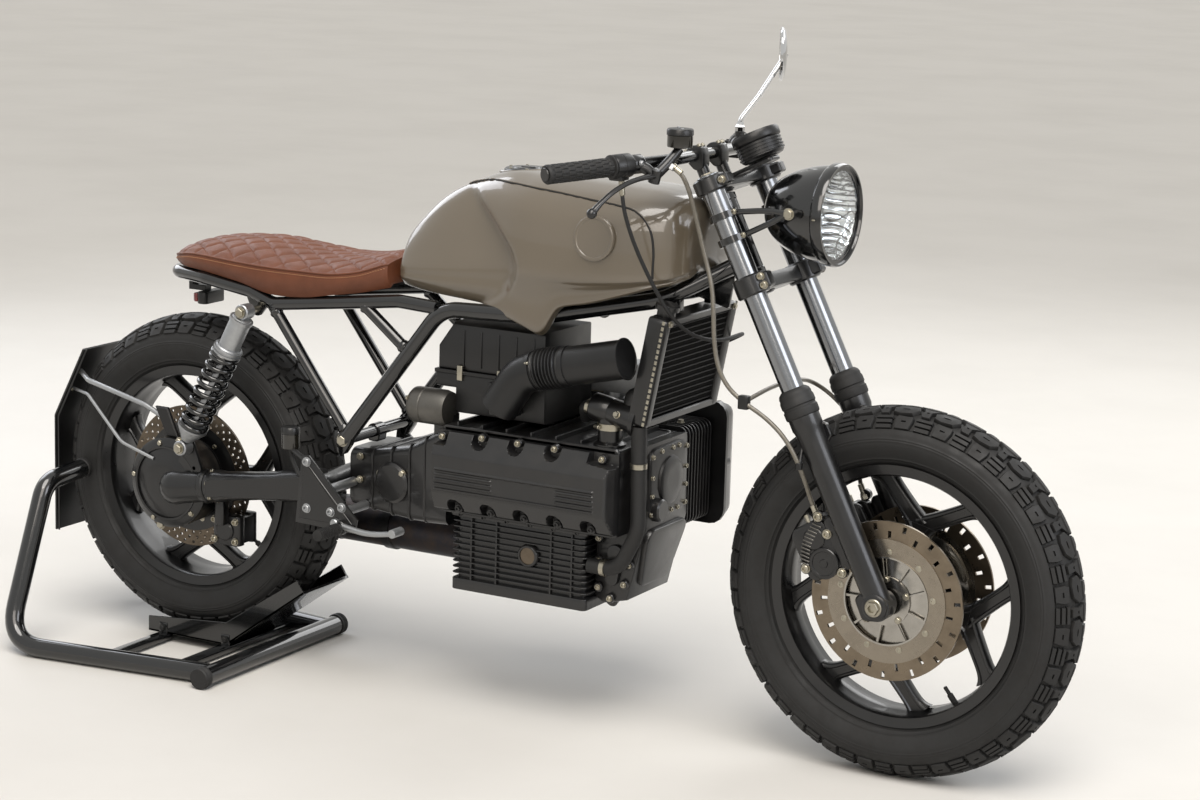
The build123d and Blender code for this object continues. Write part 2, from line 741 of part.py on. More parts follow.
with BuildPart() as fork_sliders:
    with BuildSketch(FORK):
        with Locations((0, FORK_HALF), (0, -FORK_HALF)):
            Circle(SLIDER_R)
    extrude(amount=DUST_CAP[0])
    with BuildSketch(FORK.offset(DUST_CAP[0])):
        with Locations((0, FORK_HALF), (0, -FORK_HALF)):
            Circle(DUST_R)
    extrude(amount=length(DUST_CAP))
    with BuildSketch(FORK.offset(SLIDER_FOOT)):
        with Locations((0, FORK_HALF), (0, -FORK_HALF)):
            Circle(STANCHION_R)
    extrude(amount=DUST_CAP[1] - SLIDER_FOOT, mode=Mode.SUBTRACT)
    for side in (-1, 1):
        near = (FRONT_AXLE_X, side * AXLE_LUG_Y[0], FRONT_AXLE_Z)
        far = (FRONT_AXLE_X, side * AXLE_LUG_Y[1], FRONT_AXLE_Z)
        round_bar(near, far, AXLE_LUG_R)
        with BuildSketch(FORK.offset(CALIPER_UP[0] + 6)):
            with Locations((CALIPER_BACK[1] / 2 - 6, side * (FORK_HALF - 4))):
                Rectangle(-CALIPER_BACK[1] - 12, 12)
        extrude(amount=length(CALIPER_UP) - 12)
        round_bar(near, far, FRONT_AXLE_R, mode=Mode.SUBTRACT)
finish(fork_sliders, "fork_sliders")

with BuildPart() as front_axle:
    round_bar(
        (FRONT_AXLE_X, -FRONT_AXLE_HALF, FRONT_AXLE_Z),
        (FRONT_AXLE_X, FRONT_AXLE_HALF, FRONT_AXLE_Z),
        FRONT_AXLE_R,
    )
    for side in (-1, 1):
        round_bar(
            (FRONT_AXLE_X, side * AXLE_LUG_Y[1], FRONT_AXLE_Z),
            (FRONT_AXLE_X, side * (FRONT_AXLE_HALF + 6), FRONT_AXLE_Z),
            FRONT_AXLE_R + 6,
        )
finish(front_axle, "front_axle")

with BuildPart() as front_calipers:
    for side in (-1, 1):
        with BuildSketch(FORK.offset(CALIPER_UP[0])):
            with Locations((middle(CALIPER_BACK), side * middle(CALIPER_Y))):
                RectangleRounded(length(CALIPER_BACK), length(CALIPER_Y), 8)
        extrude(amount=length(CALIPER_UP))
        slot_half = DISC_T / 2 + PAD_GAP
        with BuildSketch(axle_plane(*front_axle_place, side * FRONT_DISC_Y - slot_half)):
            Circle(FRONT_DISC_R + PAD_GAP)
        extrude(amount=2 * slot_half, mode=Mode.SUBTRACT)
finish(front_calipers, "front_calipers")

# Headlight with its two stays to each fork leg
lamp_plane = Plane(origin=(LAMP_X, 0, LAMP_Z), x_dir=(0, 0, 1), z_dir=(0, 1, 0))
with BuildPart() as headlight:
    with BuildSketch(lamp_plane):
        with BuildLine():
            Polyline(
                (0, -LAMP_LENGTH),
                (0, -LENS_T),
                (LAMP_R, -LENS_T),
                (LAMP_R, 0),
                (LAMP_RIM_R, 0),
                (LAMP_RIM_R, -LAMP_RIM_DEPTH),
                (LAMP_SHELL_R, -LAMP_RIM_DEPTH),
            )
            ThreePointArc((LAMP_SHELL_R, -LAMP_RIM_DEPTH), LAMP_SHOULDER, (LAMP_TAIL_R, -LAMP_LENGTH))
            Line((LAMP_TAIL_R, -LAMP_LENGTH), (0, -LAMP_LENGTH))
        make_face()
    revolve(axis=Axis((LAMP_X, 0, LAMP_Z), (1, 0, 0)))
    for side in (-1, 1):
        ear = (LAMP_EAR[0], side * LAMP_EAR_Y, LAMP_EAR[1])
        round_bar((LAMP_EAR[0], side * LAMP_EAR_INNER_Y, LAMP_EAR[1]), ear, STAY_R)
        for up in LAMP_RINGS:
            with BuildSketch(FORK.offset(up - RING_HEIGHT / 2)):
                with Locations((0, side * FORK_HALF)):
                    Circle(STANCHION_R + RING_WALL)
                    Circle(STANCHION_R + FIT, mode=Mode.SUBTRACT)
            extrude(amount=RING_HEIGHT)
            round_bar(fork_place(STANCHION_R + 4, side * FORK_HALF, up), ear, LAMP_STAY_R)
finish(headlight, "headlight")

with BuildPart() as headlight_lens:
    round_bar((LAMP_X - LENS_T, 0, LAMP_Z), (LAMP_X - 1, 0, LAMP_Z), LAMP_R - GAP)
finish(headlight_lens, "headlight_lens")

with BuildPart() as gauge:
    gauge_floor = UPPER_CLAMP[1] + GAP
    round_bar(
        fork_place(GAUGE_FORWARD, 0, gauge_floor),
        fork_place(GAUGE_FORWARD, 0, gauge_floor + GAUGE_DEPTH),
        GAUGE_R,
    )
finish(gauge, "gauge")

# Handlebar: straight across the risers, then swept back through both grips
with BuildPart() as handlebar:
    right_half = [(x, -y, z) for x, y, z in (GRIP_END, BAR_CORNER)]
    left_half = [BAR_CORNER, GRIP_END]
    tube_run(right_half + left_half, BAR_R, BAR_BEND)
    for side in (-1, 1):
        riser_y = side * RISER_Y
        bar_middle = Vector(BAR_CORNER[0], riser_y, BAR_CORNER[2])
        bar_local = FORK.to_local_coords(bar_middle)
        round_bar(fork_place(bar_local.X, riser_y, UPPER_CLAMP[1] + GAP), bar_middle, RISER_R)
        round_bar(
            (BAR_CORNER[0], riser_y - RISER_HALF, BAR_CORNER[2]),
            (BAR_CORNER[0], riser_y + RISER_HALF, BAR_CORNER[2]),
            RISER_CLAMP_R,
        )
finish(handlebar, "handlebar")


def bar_place(side, inward):
    """World place on the bar, a distance inward from the grip's inner end."""
    corner = Vector(BAR_CORNER[0], side * BAR_CORNER[1], BAR_CORNER[2])
    end = Vector(GRIP_END[0], side * GRIP_END[1], GRIP_END[2])
    return end + (corner - end).normalized() * (GRIP_LENGTH + inward)


with BuildPart() as grips:
    for side in (-1, 1):
        round_bar(bar_place(side, 0), bar_place(side, -GRIP_LENGTH - 4), GRIP_R)
        round_bar(bar_place(side, 0), bar_place(side, -GRIP_LENGTH - GAP), BAR_R + FIT, mode=Mode.SUBTRACT)
finish(grips, "grips")

# Switch housings, lever perches and levers; the right one carries the brake reservoir
with BuildPart() as hand_controls:
    for side in (-1, 1):
        pivot = (LEVER_PIVOT[0], side * LEVER_PIVOT[1], LEVER_PIVOT[2])
        knuckle = (LEVER_KNUCKLE[0], side * LEVER_KNUCKLE[1], LEVER_KNUCKLE[2])
        tip = (LEVER_TIP[0], side * LEVER_TIP[1], LEVER_TIP[2])
        round_bar(bar_place(side, 1), bar_place(side, HOUSING_LENGTH), HOUSING_R)
        round_bar(bar_place(side, HOUSING_LENGTH - 1), bar_place(side, PERCH_END), PERCH_R)
        round_bar(bar_place(side, middle((HOUSING_LENGTH, PERCH_END))), pivot, MASTER_R)
        tube_run([pivot, knuckle, tip], LEVER_R, LEVER_BEND)
        bore_end = bar_place(side, PERCH_END + 2 * MASTER_R)
        round_bar(bar_place(side, 0), bore_end, BAR_R + FIT, mode=Mode.SUBTRACT)
    perch = bar_place(1, middle((HOUSING_LENGTH, PERCH_END)))
    round_bar(perch + Vector(0, 0, PERCH_R - 3), perch + Vector(0, 0, MIRROR_BOSS), MIRROR_BOSS_R)
    master_end = (RESERVOIR_AT[0], -RESERVOIR_AT[1], RESERVOIR_AT[2])
    round_bar((LEVER_PIVOT[0], -LEVER_PIVOT[1], LEVER_PIVOT[2]), master_end, MASTER_R)
    round_bar(master_end, (master_end[0], master_end[1], master_end[2] + RESERVOIR_HEIGHT), RESERVOIR_R)
finish(hand_controls, "hand_controls")

with BuildPart() as rear_mirror:
    mirror_centre = Vector(*MIRROR_AT)
    mirror_back = Vector(cos(radians(MIRROR_TURN)), sin(radians(MIRROR_TURN)), 0)
    mirror_foot = perch + Vector(0, 0, MIRROR_BOSS + GAP)
    mirror_route = [
        mirror_foot,
        mirror_foot + Vector(0, 0, MIRROR_RISE),
        MIRROR_KNEE,
        mirror_centre + mirror_back * MIRROR_T,
    ]
    tube_run(mirror_route, MIRROR_STEM_R, MIRROR_BENDS)
    round_bar(mirror_centre, mirror_centre + mirror_back * MIRROR_T, MIRROR_R)
finish(rear_mirror, "rear_mirror")

# Brake hoses, held by the fork all the way, and the cables that cross the steering head
with BuildPart() as brake_hoses:
    for side, route in ((-1, HOSE_MAIN), (1, HOSE_CROSS)):
        hose_back, hose_y = HOSE_END
        end = [
            fork_place(hose_back, side * hose_y, CALIPER_UP[1] + HOSE_END_RISE),
            fork_place(hose_back, side * hose_y, CALIPER_UP[1] + GAP),
        ]
        tube_run(route + end, HOSE_R, cord_bends(route + end))
finish(brake_hoses, "brake_hoses")

with BuildPart() as control_cables:
    tube_run(THROTTLE_CABLE, CABLE_R, cord_bends(THROTTLE_CABLE))
finish(control_cables, "control_cables")

# Frame: head tube, two bent main tubes, the seat loop and the stays between them
with BuildPart() as main_frame:
    with BuildSketch(FORK.offset(LOWER_CLAMP[1] + GAP)):
        with Locations((-STEER_BACK, 0)):
            Circle(HEAD_TUBE_R)
            Circle(STEM_R + GAP, mode=Mode.SUBTRACT)
    extrude(amount=UPPER_CLAMP[0] - LOWER_CLAMP[1] - 2 * GAP)
    for side in (-1, 1):
        tube_run([(x, side * y, z) for x, y, z in MAIN_TUBE], MAIN_TUBE_R, MAIN_BENDS)
        for rear_x, rear_z, front_x, front_z in STAYS:
            round_bar((rear_x, side * TUBE_Y, rear_z), (front_x, side * TUBE_Y, front_z), STAY_R)
        lug_x, lug_y, lug_z = RADIATOR_LUG
        span_box(lug_x, tuple(sorted((side * lug_y[0], side * lug_y[1]))), lug_z)
    tube_run(mirrored([(x, -y, z) for x, y, z in SEAT_LOOP]), RAIL_R, LOOP_BENDS)
    foot_x, foot_z = MAIN_TUBE[-1][0], MAIN_TUBE[-1][2]
    round_bar((foot_x, -TUBE_Y, foot_z), (foot_x, TUBE_Y, foot_z), STAY_R)
    with BuildSketch(FORK.offset(LOWER_CLAMP[1] - 10)):
        with Locations((-STEER_BACK, 0)):
            Circle(STEM_R + GAP)
    extrude(amount=UPPER_CLAMP[0] - LOWER_CLAMP[1] + 20, mode=Mode.SUBTRACT)
    span_box(
        (foot_x - FRAME_LUG_HALF, foot_x + FRAME_LUG_HALF),
        (-FRAME_LUG_HALF, FRAME_LUG_HALF),
        (GEARBOX_TOP + GAP, foot_z),
    )
    round_bar(
        (SHOCK_TOP[0], -TUBE_Y, SHOCK_TOP[1]),
        (SHOCK_TOP[0], SHOCK_Y - SHOCK_HALF - 2, SHOCK_TOP[1]),
        SHOCK_PIN_R,
    )
    side_plate(SHOCK_LUG, (-TUBE_Y - 5, -TUBE_Y + 5))
finish(main_frame, "main_frame")

# Tank: straight-sided sections, wide flanks in front of the knee recess
with BuildPart() as fuel_tank:
    section_loft([(row[0], both_sides(list(row[1:]))) for row in TANK_SECTIONS])
    for side in (-1, 1):
        side_plate(TANK_LOBE, tuple(sorted((side * TANK_LOBE_Y[0], side * TANK_LOBE_Y[1]))))
        tube_run(
            [(x, side * y, z) for x, y, z in MAIN_TUBE],
            MAIN_TUBE_R + TUBE_CLEAR,
            MAIN_BENDS,
            mode=Mode.SUBTRACT,
        )
    span_box((HEAD_NOTCH_X, 400), (-HEAD_NOTCH_HALF, HEAD_NOTCH_HALF), (700, 1100), mode=Mode.SUBTRACT)
    for side in (-1, 1):
        for turn in STEER_TURNS:
            swung = Vector(STEER_BACK, side * FORK_HALF).rotate(Axis.Z, side * turn)
            with BuildSketch(FORK.offset(UPPER_CLAMP[0] - SWING_GAP)):
                with Locations((-STEER_BACK, 0), (swung.X - STEER_BACK, swung.Y)):
                    Circle(CLAMP_BOSS_R + SWING_GAP)
                make_hull()
            extrude(amount=length(UPPER_CLAMP) + 4 * SWING_GAP, mode=Mode.SUBTRACT)
    round_bar((CAP_X, 0, CAP_Z - GAP), (CAP_X, 0, CAP_Z + 40), CAP_R + 3, mode=Mode.SUBTRACT)
    span_box(
        (CAP_HINGE_X - 8, CAP_HINGE_X + 8),
        (-CAP_KNUCKLE_HALF - 3, CAP_KNUCKLE_HALF + 3),
        (CAP_Z - GAP, CAP_Z + 40),
        mode=Mode.SUBTRACT,
    )
finish(fuel_tank, "fuel_tank")

with BuildPart() as fuel_cap:
    round_bar((CAP_X, 0, CAP_Z), (CAP_X, 0, CAP_Z + CAP_T), CAP_R)
    span_box((CAP_X + CAP_R - 8, CAP_HINGE_X), (-12, 12), (CAP_Z + 1, CAP_Z + CAP_T - 1))
    hinge_z = CAP_Z + CAP_T / 2
    round_bar((CAP_HINGE_X, -CAP_KNUCKLE_HALF, hinge_z), (CAP_HINGE_X, CAP_KNUCKLE_HALF, hinge_z), CAP_T / 2)
finish(fuel_cap, "fuel_cap")

with BuildPart() as seat:
    section_loft([(row[0], both_sides(list(row[1:]))) for row in SEAT_SECTIONS])
finish(seat, "seat")

# Engine: a closed block with its castings seated on each face
with BuildPart() as engine_block:
    span_box(BLOCK_X, BLOCK_Y, BLOCK_Z)
finish(engine_block, "engine_block")

with BuildPart() as crankcase_cover:
    with BuildSketch(Plane.XZ.offset(-BLOCK_Y[0])):
        with Locations((middle(COVER_X), middle(COVER_Z))):
            RectangleRounded(length(COVER_X), length(COVER_Z), COVER_CORNER)
    extrude(amount=COVER_DEPTH, taper=COVER_TAPER)
    for rib in range(COVER_RIBS):
        rib_z = COVER_Z[0] + RIB_MARGIN + rib * (length(COVER_Z) - 2 * RIB_MARGIN) / (COVER_RIBS - 1)
        span_box(
            (COVER_X[0] + 22, COVER_X[1] - 22),
            (BLOCK_Y[0] - COVER_DEPTH - RIB_OUT, BLOCK_Y[0] - COVER_DEPTH + 2),
            (rib_z - RIB_T / 2, rib_z + RIB_T / 2),
        )
finish(crankcase_cover, "crankcase_cover")

head_y = (BLOCK_Y[1], BLOCK_Y[1] + HEAD_DEPTH)
with BuildPart() as cylinder_head:
    span_box(HEAD_X, head_y, HEAD_Z)
    for fin in range(HEAD_FINS):
        fin_y = head_y[0] + FIN_MARGIN + fin * (HEAD_DEPTH - 2 * FIN_MARGIN) / (HEAD_FINS - 1)
        span_box(
            (HEAD_X[0], HEAD_X[1] + FIN_OUT),
            (fin_y - FIN_T / 2, fin_y + FIN_T / 2),
            (HEAD_Z[0], HEAD_Z[1]),
        )
finish(cylinder_head, "cylinder_head")

with BuildPart() as head_cover:
    with BuildSketch(Plane.XZ.offset(-head_y[1])):
        with Locations((middle(HEAD_COVER_X), middle(HEAD_COVER_Z))):
            RectangleRounded(length(HEAD_COVER_X), length(HEAD_COVER_Z), HEAD_COVER_CORNER)
    extrude(amount=-HEAD_COVER_DEPTH, taper=HEAD_COVER_TAPER)
finish(head_cover, "head_cover")

side_axis = Vector(0, -cos(radians(SIDE_TILT)), -sin(radians(SIDE_TILT)))
side_pivot = Vector(*SIDE_PIVOT)
pan_core_x = (PAN_X[0] + PAN_FIN_OUT, PAN_X[1] - PAN_FIN_OUT)
with BuildPart() as oil_pan:
    span_box(pan_core_x, (PAN_Y[0] + PAN_FIN_OUT, PAN_Y[1]), (PAN_Z[0] + PAN_FIN_OUT, PAN_Z[1]))
    for fin in range(PAN_FINS):
        fin_z = PAN_Z[0] + FIN_T + fin * (length(PAN_Z) - 4 * FIN_T) / (PAN_FINS - 1)
        span_box(PAN_X, PAN_Y, (fin_z - FIN_T, fin_z + FIN_T))
    round_bar(
        side_pivot + side_axis * (SIDE_EYE_HALF + GAP),
        side_pivot + side_axis * (SIDE_EYE_HALF + 20),
        SIDE_EYE_R,
    )
    round_bar(side_pivot, side_pivot + side_axis * (SIDE_EYE_HALF + 10), SIDE_PIN_R)
    span_box(
        (SIDE_PIVOT[0] - 12, SIDE_PIVOT[0] + 12),
        (SIDE_PIVOT[1] - 34, SIDE_PIVOT[1] - 20),
        (SIDE_PIVOT[2] - 10, PAN_Z[0] + 12),
    )
finish(oil_pan, "oil_pan")

with BuildPart() as timing_cover:
    side_plate(TIMING_OUTLINE, TIMING_Y)
finish(timing_cover, "timing_cover")

with BuildPart() as gearbox:
    section_loft(
        [
            (x, [(right, bottom), (left, bottom), (left, top), (right, top)])
            for x, right, left, bottom, top in GEARBOX_SECTIONS
        ]
    )
    alternator_y, alternator_z = ALTERNATOR_AT
    round_bar(
        (ALTERNATOR_X[0], alternator_y, alternator_z),
        (ALTERNATOR_X[1], alternator_y, alternator_z),
        ALTERNATOR_R,
    )
    span_box(
        (middle(ALTERNATOR_X), ALTERNATOR_X[1]),
        (alternator_y, alternator_y + ALTERNATOR_R),
        (500, alternator_z),
    )
finish(gearbox, "gearbox")

with BuildPart() as side_stand:
    leg_end = side_pivot - Vector(SIDE_LEG, 0, 0)
    round_bar(side_pivot - side_axis * SIDE_EYE_HALF, side_pivot + side_axis * SIDE_EYE_HALF, SIDE_EYE_R)
    round_bar(side_pivot, leg_end, SIDE_LEG_R)
    with BuildSketch(Plane(origin=leg_end, x_dir=(1, 0, 0), z_dir=side_axis)):
        RectangleRounded(14, 22, 4)
    extrude(amount=SIDE_LEG_R, both=True)
    round_bar(
        side_pivot - side_axis * (SIDE_EYE_HALF + 1),
        side_pivot + side_axis * (SIDE_EYE_HALF + 1),
        SIDE_PIN_R + FIT,
        mode=Mode.SUBTRACT,
    )
finish(side_stand, "side_stand")

# Intake: box on the block, ribbed duct on the right, throttle bodies down to the head
with BuildPart() as airbox:
    side_plate(AIRBOX_OUTLINE, AIRBOX_Y)
    for foot_x in AIRBOX_FEET:
        span_box((foot_x - 12, foot_x + 12), (-40, 40), (BLOCK_Z[1] + GAP, AIRBOX_OUTLINE[0][1] + 1))
finish(airbox, "airbox")

with BuildPart() as intake_duct:
    tube_run([(x, DUCT_Y, z) for x, z in DUCT_ROUTE], DUCT_R, DUCT_BENDS)
    span_box(
        (DUCT_ROUTE[0][0] - 26, DUCT_ROUTE[0][0] + 28),
        (DUCT_Y, AIRBOX_Y[0] - GAP),
        (DUCT_ROUTE[0][1] - 16, DUCT_ROUTE[0][1] + 44),
    )
    for rib in range(DUCT_RIBS):
        along = rib * DUCT_RIB_PITCH
        rib_x = DUCT_RIB_START[0] + along * cos(radians(DUCT_SLOPE))
        rib_z = DUCT_RIB_START[1] + along * sin(radians(DUCT_SLOPE))
        rib_run = Vector(cos(radians(DUCT_SLOPE)), 0, sin(radians(DUCT_SLOPE))) * DUCT_RIB_T
        round_bar((rib_x, DUCT_Y, rib_z), Vector(rib_x, DUCT_Y, rib_z) + rib_run, DUCT_R + 3.5)
finish(intake_duct, "intake_duct")

with BuildPart() as throttle_bodies:
    span_box(PLENUM_X, PLENUM_Y, PLENUM_Z)
    for x in THROTTLE_X:
        round_bar((x, THROTTLE_Y, HEAD_Z[1] + GAP), (x, THROTTLE_Y, PLENUM_Z[0] + 10), THROTTLE_R)
finish(throttle_bodies, "throttle_bodies")

# Cooling
with BuildPart() as radiator:
    side_plate(RADIATOR_OUTLINE, (-RADIATOR_HALF, RADIATOR_HALF))
finish(radiator, "radiator")

with BuildPart() as coolant_hoses:
    tube_run([(x, WATER_Y, z) for x, z in WATER_ROUTE], WATER_R, WATER_BEND)
    round_bar(
        (WATER_ROUTE[0][0], WATER_Y, WATER_CLAMP[0]),
        (WATER_ROUTE[0][0], WATER_Y, WATER_CLAMP[1]),
        WATER_R + 6,
    )
    tube_run([(x, LOWER_HOSE_Y, z) for x, z in LOWER_HOSE], LOWER_HOSE_R, LOWER_HOSE_BENDS)
finish(coolant_hoses, "coolant_hoses")

# Exhaust on the left: one header from each port into a collector and muffler
with BuildPart() as exhaust:
    for port_x, pipe_y, run_z in HEADERS:
        tube_run(
            [
                (port_x, pipe_y, HEAD_Z[0] - GAP),
                (port_x, pipe_y, run_z),
                (middle(COLLECTOR_X), pipe_y, run_z),
            ],
            HEADER_R,
            HEADER_BEND,
        )
    span_box(COLLECTOR_X, COLLECTOR_Y, COLLECTOR_Z)
    muffler_y, muffler_z = MUFFLER_AT
    round_bar((COLLECTOR_X[0] + 10, muffler_y, muffler_z), (MUFFLER_END_X, muffler_y, muffler_z), MUFFLER_R)
finish(exhaust, "exhaust")

# Single-sided shaft drive
with BuildPart() as swingarm:
    yoke_x, yoke_z = YOKE_AT
    round_bar((yoke_x, YOKE_Y[0], yoke_z), (yoke_x, YOKE_Y[1], yoke_z), YOKE_R)
    round_bar((yoke_x, ARM_Y, yoke_z), (ARM_END[0], ARM_Y, ARM_END[1]), ARM_R)
    span_box((yoke_x, GEARBOX_END_X - GAP), (-YOKE_LUG_HALF, YOKE_LUG_HALF), YOKE_LUG_Z)
finish(swingarm, "swingarm")

with BuildPart() as final_drive:
    round_bar((REAR_AXLE_X, DRIVE_Y[0], REAR_AXLE_Z), (REAR_AXLE_X, DRIVE_Y[1], REAR_AXLE_Z), DRIVE_R)
    arm_run = (Vector(yoke_x, ARM_Y, yoke_z) - Vector(ARM_END[0], ARM_Y, ARM_END[1])).normalized()
    neck_end = Vector(ARM_END[0], ARM_Y, ARM_END[1]) - arm_run * GAP
    round_bar(neck_end, neck_end - arm_run * DRIVE_NECK, ARM_R)
    round_bar(
        (REAR_AXLE_X, DRIVE_Y[1], REAR_AXLE_Z),
        (REAR_AXLE_X, REAR_HUB_LEFT + AXLE_NUT_T, REAR_AXLE_Z),
        REAR_AXLE_R,
    )
    round_bar(
        (REAR_AXLE_X, REAR_HUB_LEFT + GAP, REAR_AXLE_Z),
        (REAR_AXLE_X, REAR_HUB_LEFT + AXLE_NUT_T, REAR_AXLE_Z),
        AXLE_NUT_R,
    )
    side_plate(FOOT_LUG, FOOT_LUG_Y)
    round_bar(
        (SHOCK_FOOT[0], FOOT_LUG_Y[0] + 1, SHOCK_FOOT[1]),
        (SHOCK_FOOT[0], SHOCK_Y - SHOCK_HALF - 2, SHOCK_FOOT[1]),
        SHOCK_PIN_R,
    )
finish(final_drive, "final_drive")

with BuildPart() as rear_shock:
    foot = Vector(SHOCK_FOOT[0], SHOCK_Y, SHOCK_FOOT[1])
    top = Vector(SHOCK_TOP[0], SHOCK_Y, SHOCK_TOP[1])
    run = (top - foot).normalized()
    for low, high in DAMPER_SPANS:
        round_bar(foot + run * low, foot + run * high, DAMPER_R)
    round_bar(foot, foot + run * DAMPER_NECK, DAMPER_NECK_R)
    round_bar(foot + run * SPRING_SPAN[0], foot + run * SPRING_SPAN[1], SPRING_CORE_R)
    for turn in range(SPRING_TURNS):
        start = SPRING_SPAN[0] + turn * (length(SPRING_SPAN) - SPRING_WIRE) / (SPRING_TURNS - 1)
        round_bar(foot + run * start, foot + run * (start + SPRING_WIRE), SPRING_R)
    for eye in (foot, top):
        round_bar(eye + Vector(0, -SHOCK_HALF, 0), eye + Vector(0, SHOCK_HALF, 0), SHOCK_EYE_R)
    for eye in (foot, top):
        round_bar(
            eye + Vector(0, -SHOCK_HALF, 0),
            eye + Vector(0, SHOCK_HALF, 0),
            SHOCK_PIN_R + GAP,
            mode=Mode.SUBTRACT,
        )
finish(rear_shock, "rear_shock")

with BuildPart() as rear_caliper:
    span_box(*REAR_CALIPER)
    span_box(*REAR_CALIPER_LUG)
    with BuildSketch(axle_plane(*rear_axle_place, REAR_DISC_Y - DISC_T / 2 - PAD_GAP)):
        Circle(REAR_DISC_R + PAD_GAP)
    extrude(amount=DISC_T + 2 * PAD_GAP, mode=Mode.SUBTRACT)
finish(rear_caliper, "rear_caliper")

# Foot controls: a plate, two spacers, peg and pedal on each side
with BuildPart() as foot_controls:
    for side, gearbox_face in ((-1, GEARBOX_RIGHT - GAP), (1, GEARBOX_LEFT + GAP)):
        side_plate(REARSET_OUTLINE, tuple(sorted((side * REARSET_Y[0], side * REARSET_Y[1]))))
        for x, z in REARSET_SPACERS:
            round_bar((x, side * REARSET_Y[0], z), (x, gearbox_face, z), SPACER_R)
        peg_x, peg_z = PEG_AT
        round_bar((peg_x, side * REARSET_Y[0], peg_z), (peg_x, side * PEG_END_Y, peg_z), PEG_R)
        tube_run([(x, side * y, z) for x, y, z in PEDAL_ROUTE], PEDAL_R, PEDAL_BEND)
        round_bar(
            (PEDAL_ROUTE[0][0], side * REARSET_Y[0], PEDAL_ROUTE[0][2]),
            (PEDAL_ROUTE[0][0], side * (PEDAL_ROUTE[0][1] + PEDAL_R), PEDAL_ROUTE[0][2]),
            PEDAL_R + 4,
        )
    reservoir_x, reservoir_y = REAR_RESERVOIR_AT
    round_bar(
        (reservoir_x, reservoir_y, REAR_RESERVOIR_Z[0]),
        (reservoir_x, reservoir_y, REAR_RESERVOIR_Z[1]),
        REAR_RESERVOIR_R,
    )
    arm_foot = (REARSET_OUTLINE[0][0] + 6, -middle(REARSET_Y), ARM_Z[0])
    round_bar(arm_foot, (reservoir_x, reservoir_y, ARM_Z[1]), PEDAL_R)
finish(foot_controls, "foot_controls")

with BuildPart() as plate_carrier:
    side_plate(PANEL_OUTLINE, (-PANEL_HALF, PANEL_HALF))
    tube_run(UPPER_ROD, ROD_R, ROD_BENDS)
    tube_run(LOWER_ROD, ROD_R, ROD_BENDS)
    side_plate(ROD_LUG, ROD_LUG_Y)
    span_box(*PLATE_LAMP)
finish(plate_carrier, "plate_carrier")

with BuildPart() as tail_lamp:
    span_box(*TAIL_LAMP)
    side_plate(TAIL_BRACKET, (-TAIL_BRACKET_HALF, TAIL_BRACKET_HALF))
finish(tail_lamp, "tail_lamp")

# Wheel stand: floor tubes with horns beside the tyre, and the cradle that the tyre sits in
seat_r = REAR_TYRE_R + TYRE_GAP
floor_z = REAR_AXLE_Z - seat_r
vee_x = REAR_AXLE_X + seat_r * tan(radians(CRADLE_ANGLE / 2))
slope = (cos(radians(CRADLE_ANGLE)), sin(radians(CRADLE_ANGLE)))
tip = (vee_x + CRADLE_ARM * slope[0], floor_z + CRADLE_ARM * slope[1])
with BuildPart() as stand_frame:
    for side, front_y, rear_y, upper_y in STAND_SIDES:
        tube_run(
            [
                (STAND_BAR_X, front_y, STAND_CAP_R),
                (STAND_REAR_X, rear_y, STAND_TUBE_R),
                (STAND_HORN[0], upper_y, STAND_HORN[1]),
                (STAND_HORN[0], side * STAND_HORN_END_Y, STAND_HORN[1] + 8),
            ],
            STAND_TUBE_R,
            STAND_BENDS,
        )
    bar_ends = [row[1] + row[0] * STAND_BAR_PAST for row in STAND_SIDES]
    round_bar((STAND_BAR_X, bar_ends[0], STAND_CAP_R), (STAND_BAR_X, bar_ends[1], STAND_CAP_R), STAND_TUBE_R)
    for bar_x in CROSS_BARS:
        span_box(bar_x, (STAND_SIDES[0][1], STAND_SIDES[1][1]), CROSS_BAR_Z)
    side_plate(
        [
            (CRADLE_REAR_X, floor_z),
            (vee_x, floor_z),
            tip,
            (tip[0] + CRADLE_T * slope[1], tip[1] - CRADLE_T * slope[0]),
            (vee_x + CRADLE_T * tan(radians(CRADLE_ANGLE / 2)), floor_z - CRADLE_T),
            (CRADLE_REAR_X, floor_z - CRADLE_T),
        ],
        (-CRADLE_HALF, CRADLE_HALF),
    )
    wall = [
        (CRADLE_REAR_X, floor_z - CRADLE_T),
        (CRADLE_REAR_X, floor_z + CRADLE_WALL * 0.6),
        (vee_x, floor_z + CRADLE_WALL),
        (tip[0] - CRADLE_WALL * slope[1] * 0.6, tip[1] + CRADLE_WALL * slope[0] * 0.6),
        (tip[0] + CRADLE_T * slope[1], tip[1] - CRADLE_T * slope[0]),
        (vee_x + CRADLE_T * tan(radians(CRADLE_ANGLE / 2)), floor_z - CRADLE_T),
    ]
    side_plate(wall, (-CRADLE_HALF, -CRADLE_HALF + CRADLE_T))
    side_plate(wall, (CRADLE_HALF - CRADLE_T, CRADLE_HALF))
finish(stand_frame, "stand_frame")

with BuildPart() as stand_caps:
    for row, bar_end in zip(STAND_SIDES, bar_ends):
        cap_low = bar_end + row[0] * GAP
        cap_high = bar_end + row[0] * STAND_CAP_T
        round_bar((STAND_BAR_X, cap_low, STAND_CAP_R), (STAND_BAR_X, cap_high, STAND_CAP_R), STAND_CAP_R)
finish(stand_caps, "stand_caps")
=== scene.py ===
"""Looks of a cafe racer motorcycle parked on its rear wheel stand.

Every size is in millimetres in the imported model's frame: +X forward, +Y to the rider's left, +Z up.
"""

import json
import logging
import math
from dataclasses import dataclass
from enum import Enum
from typing import Sequence

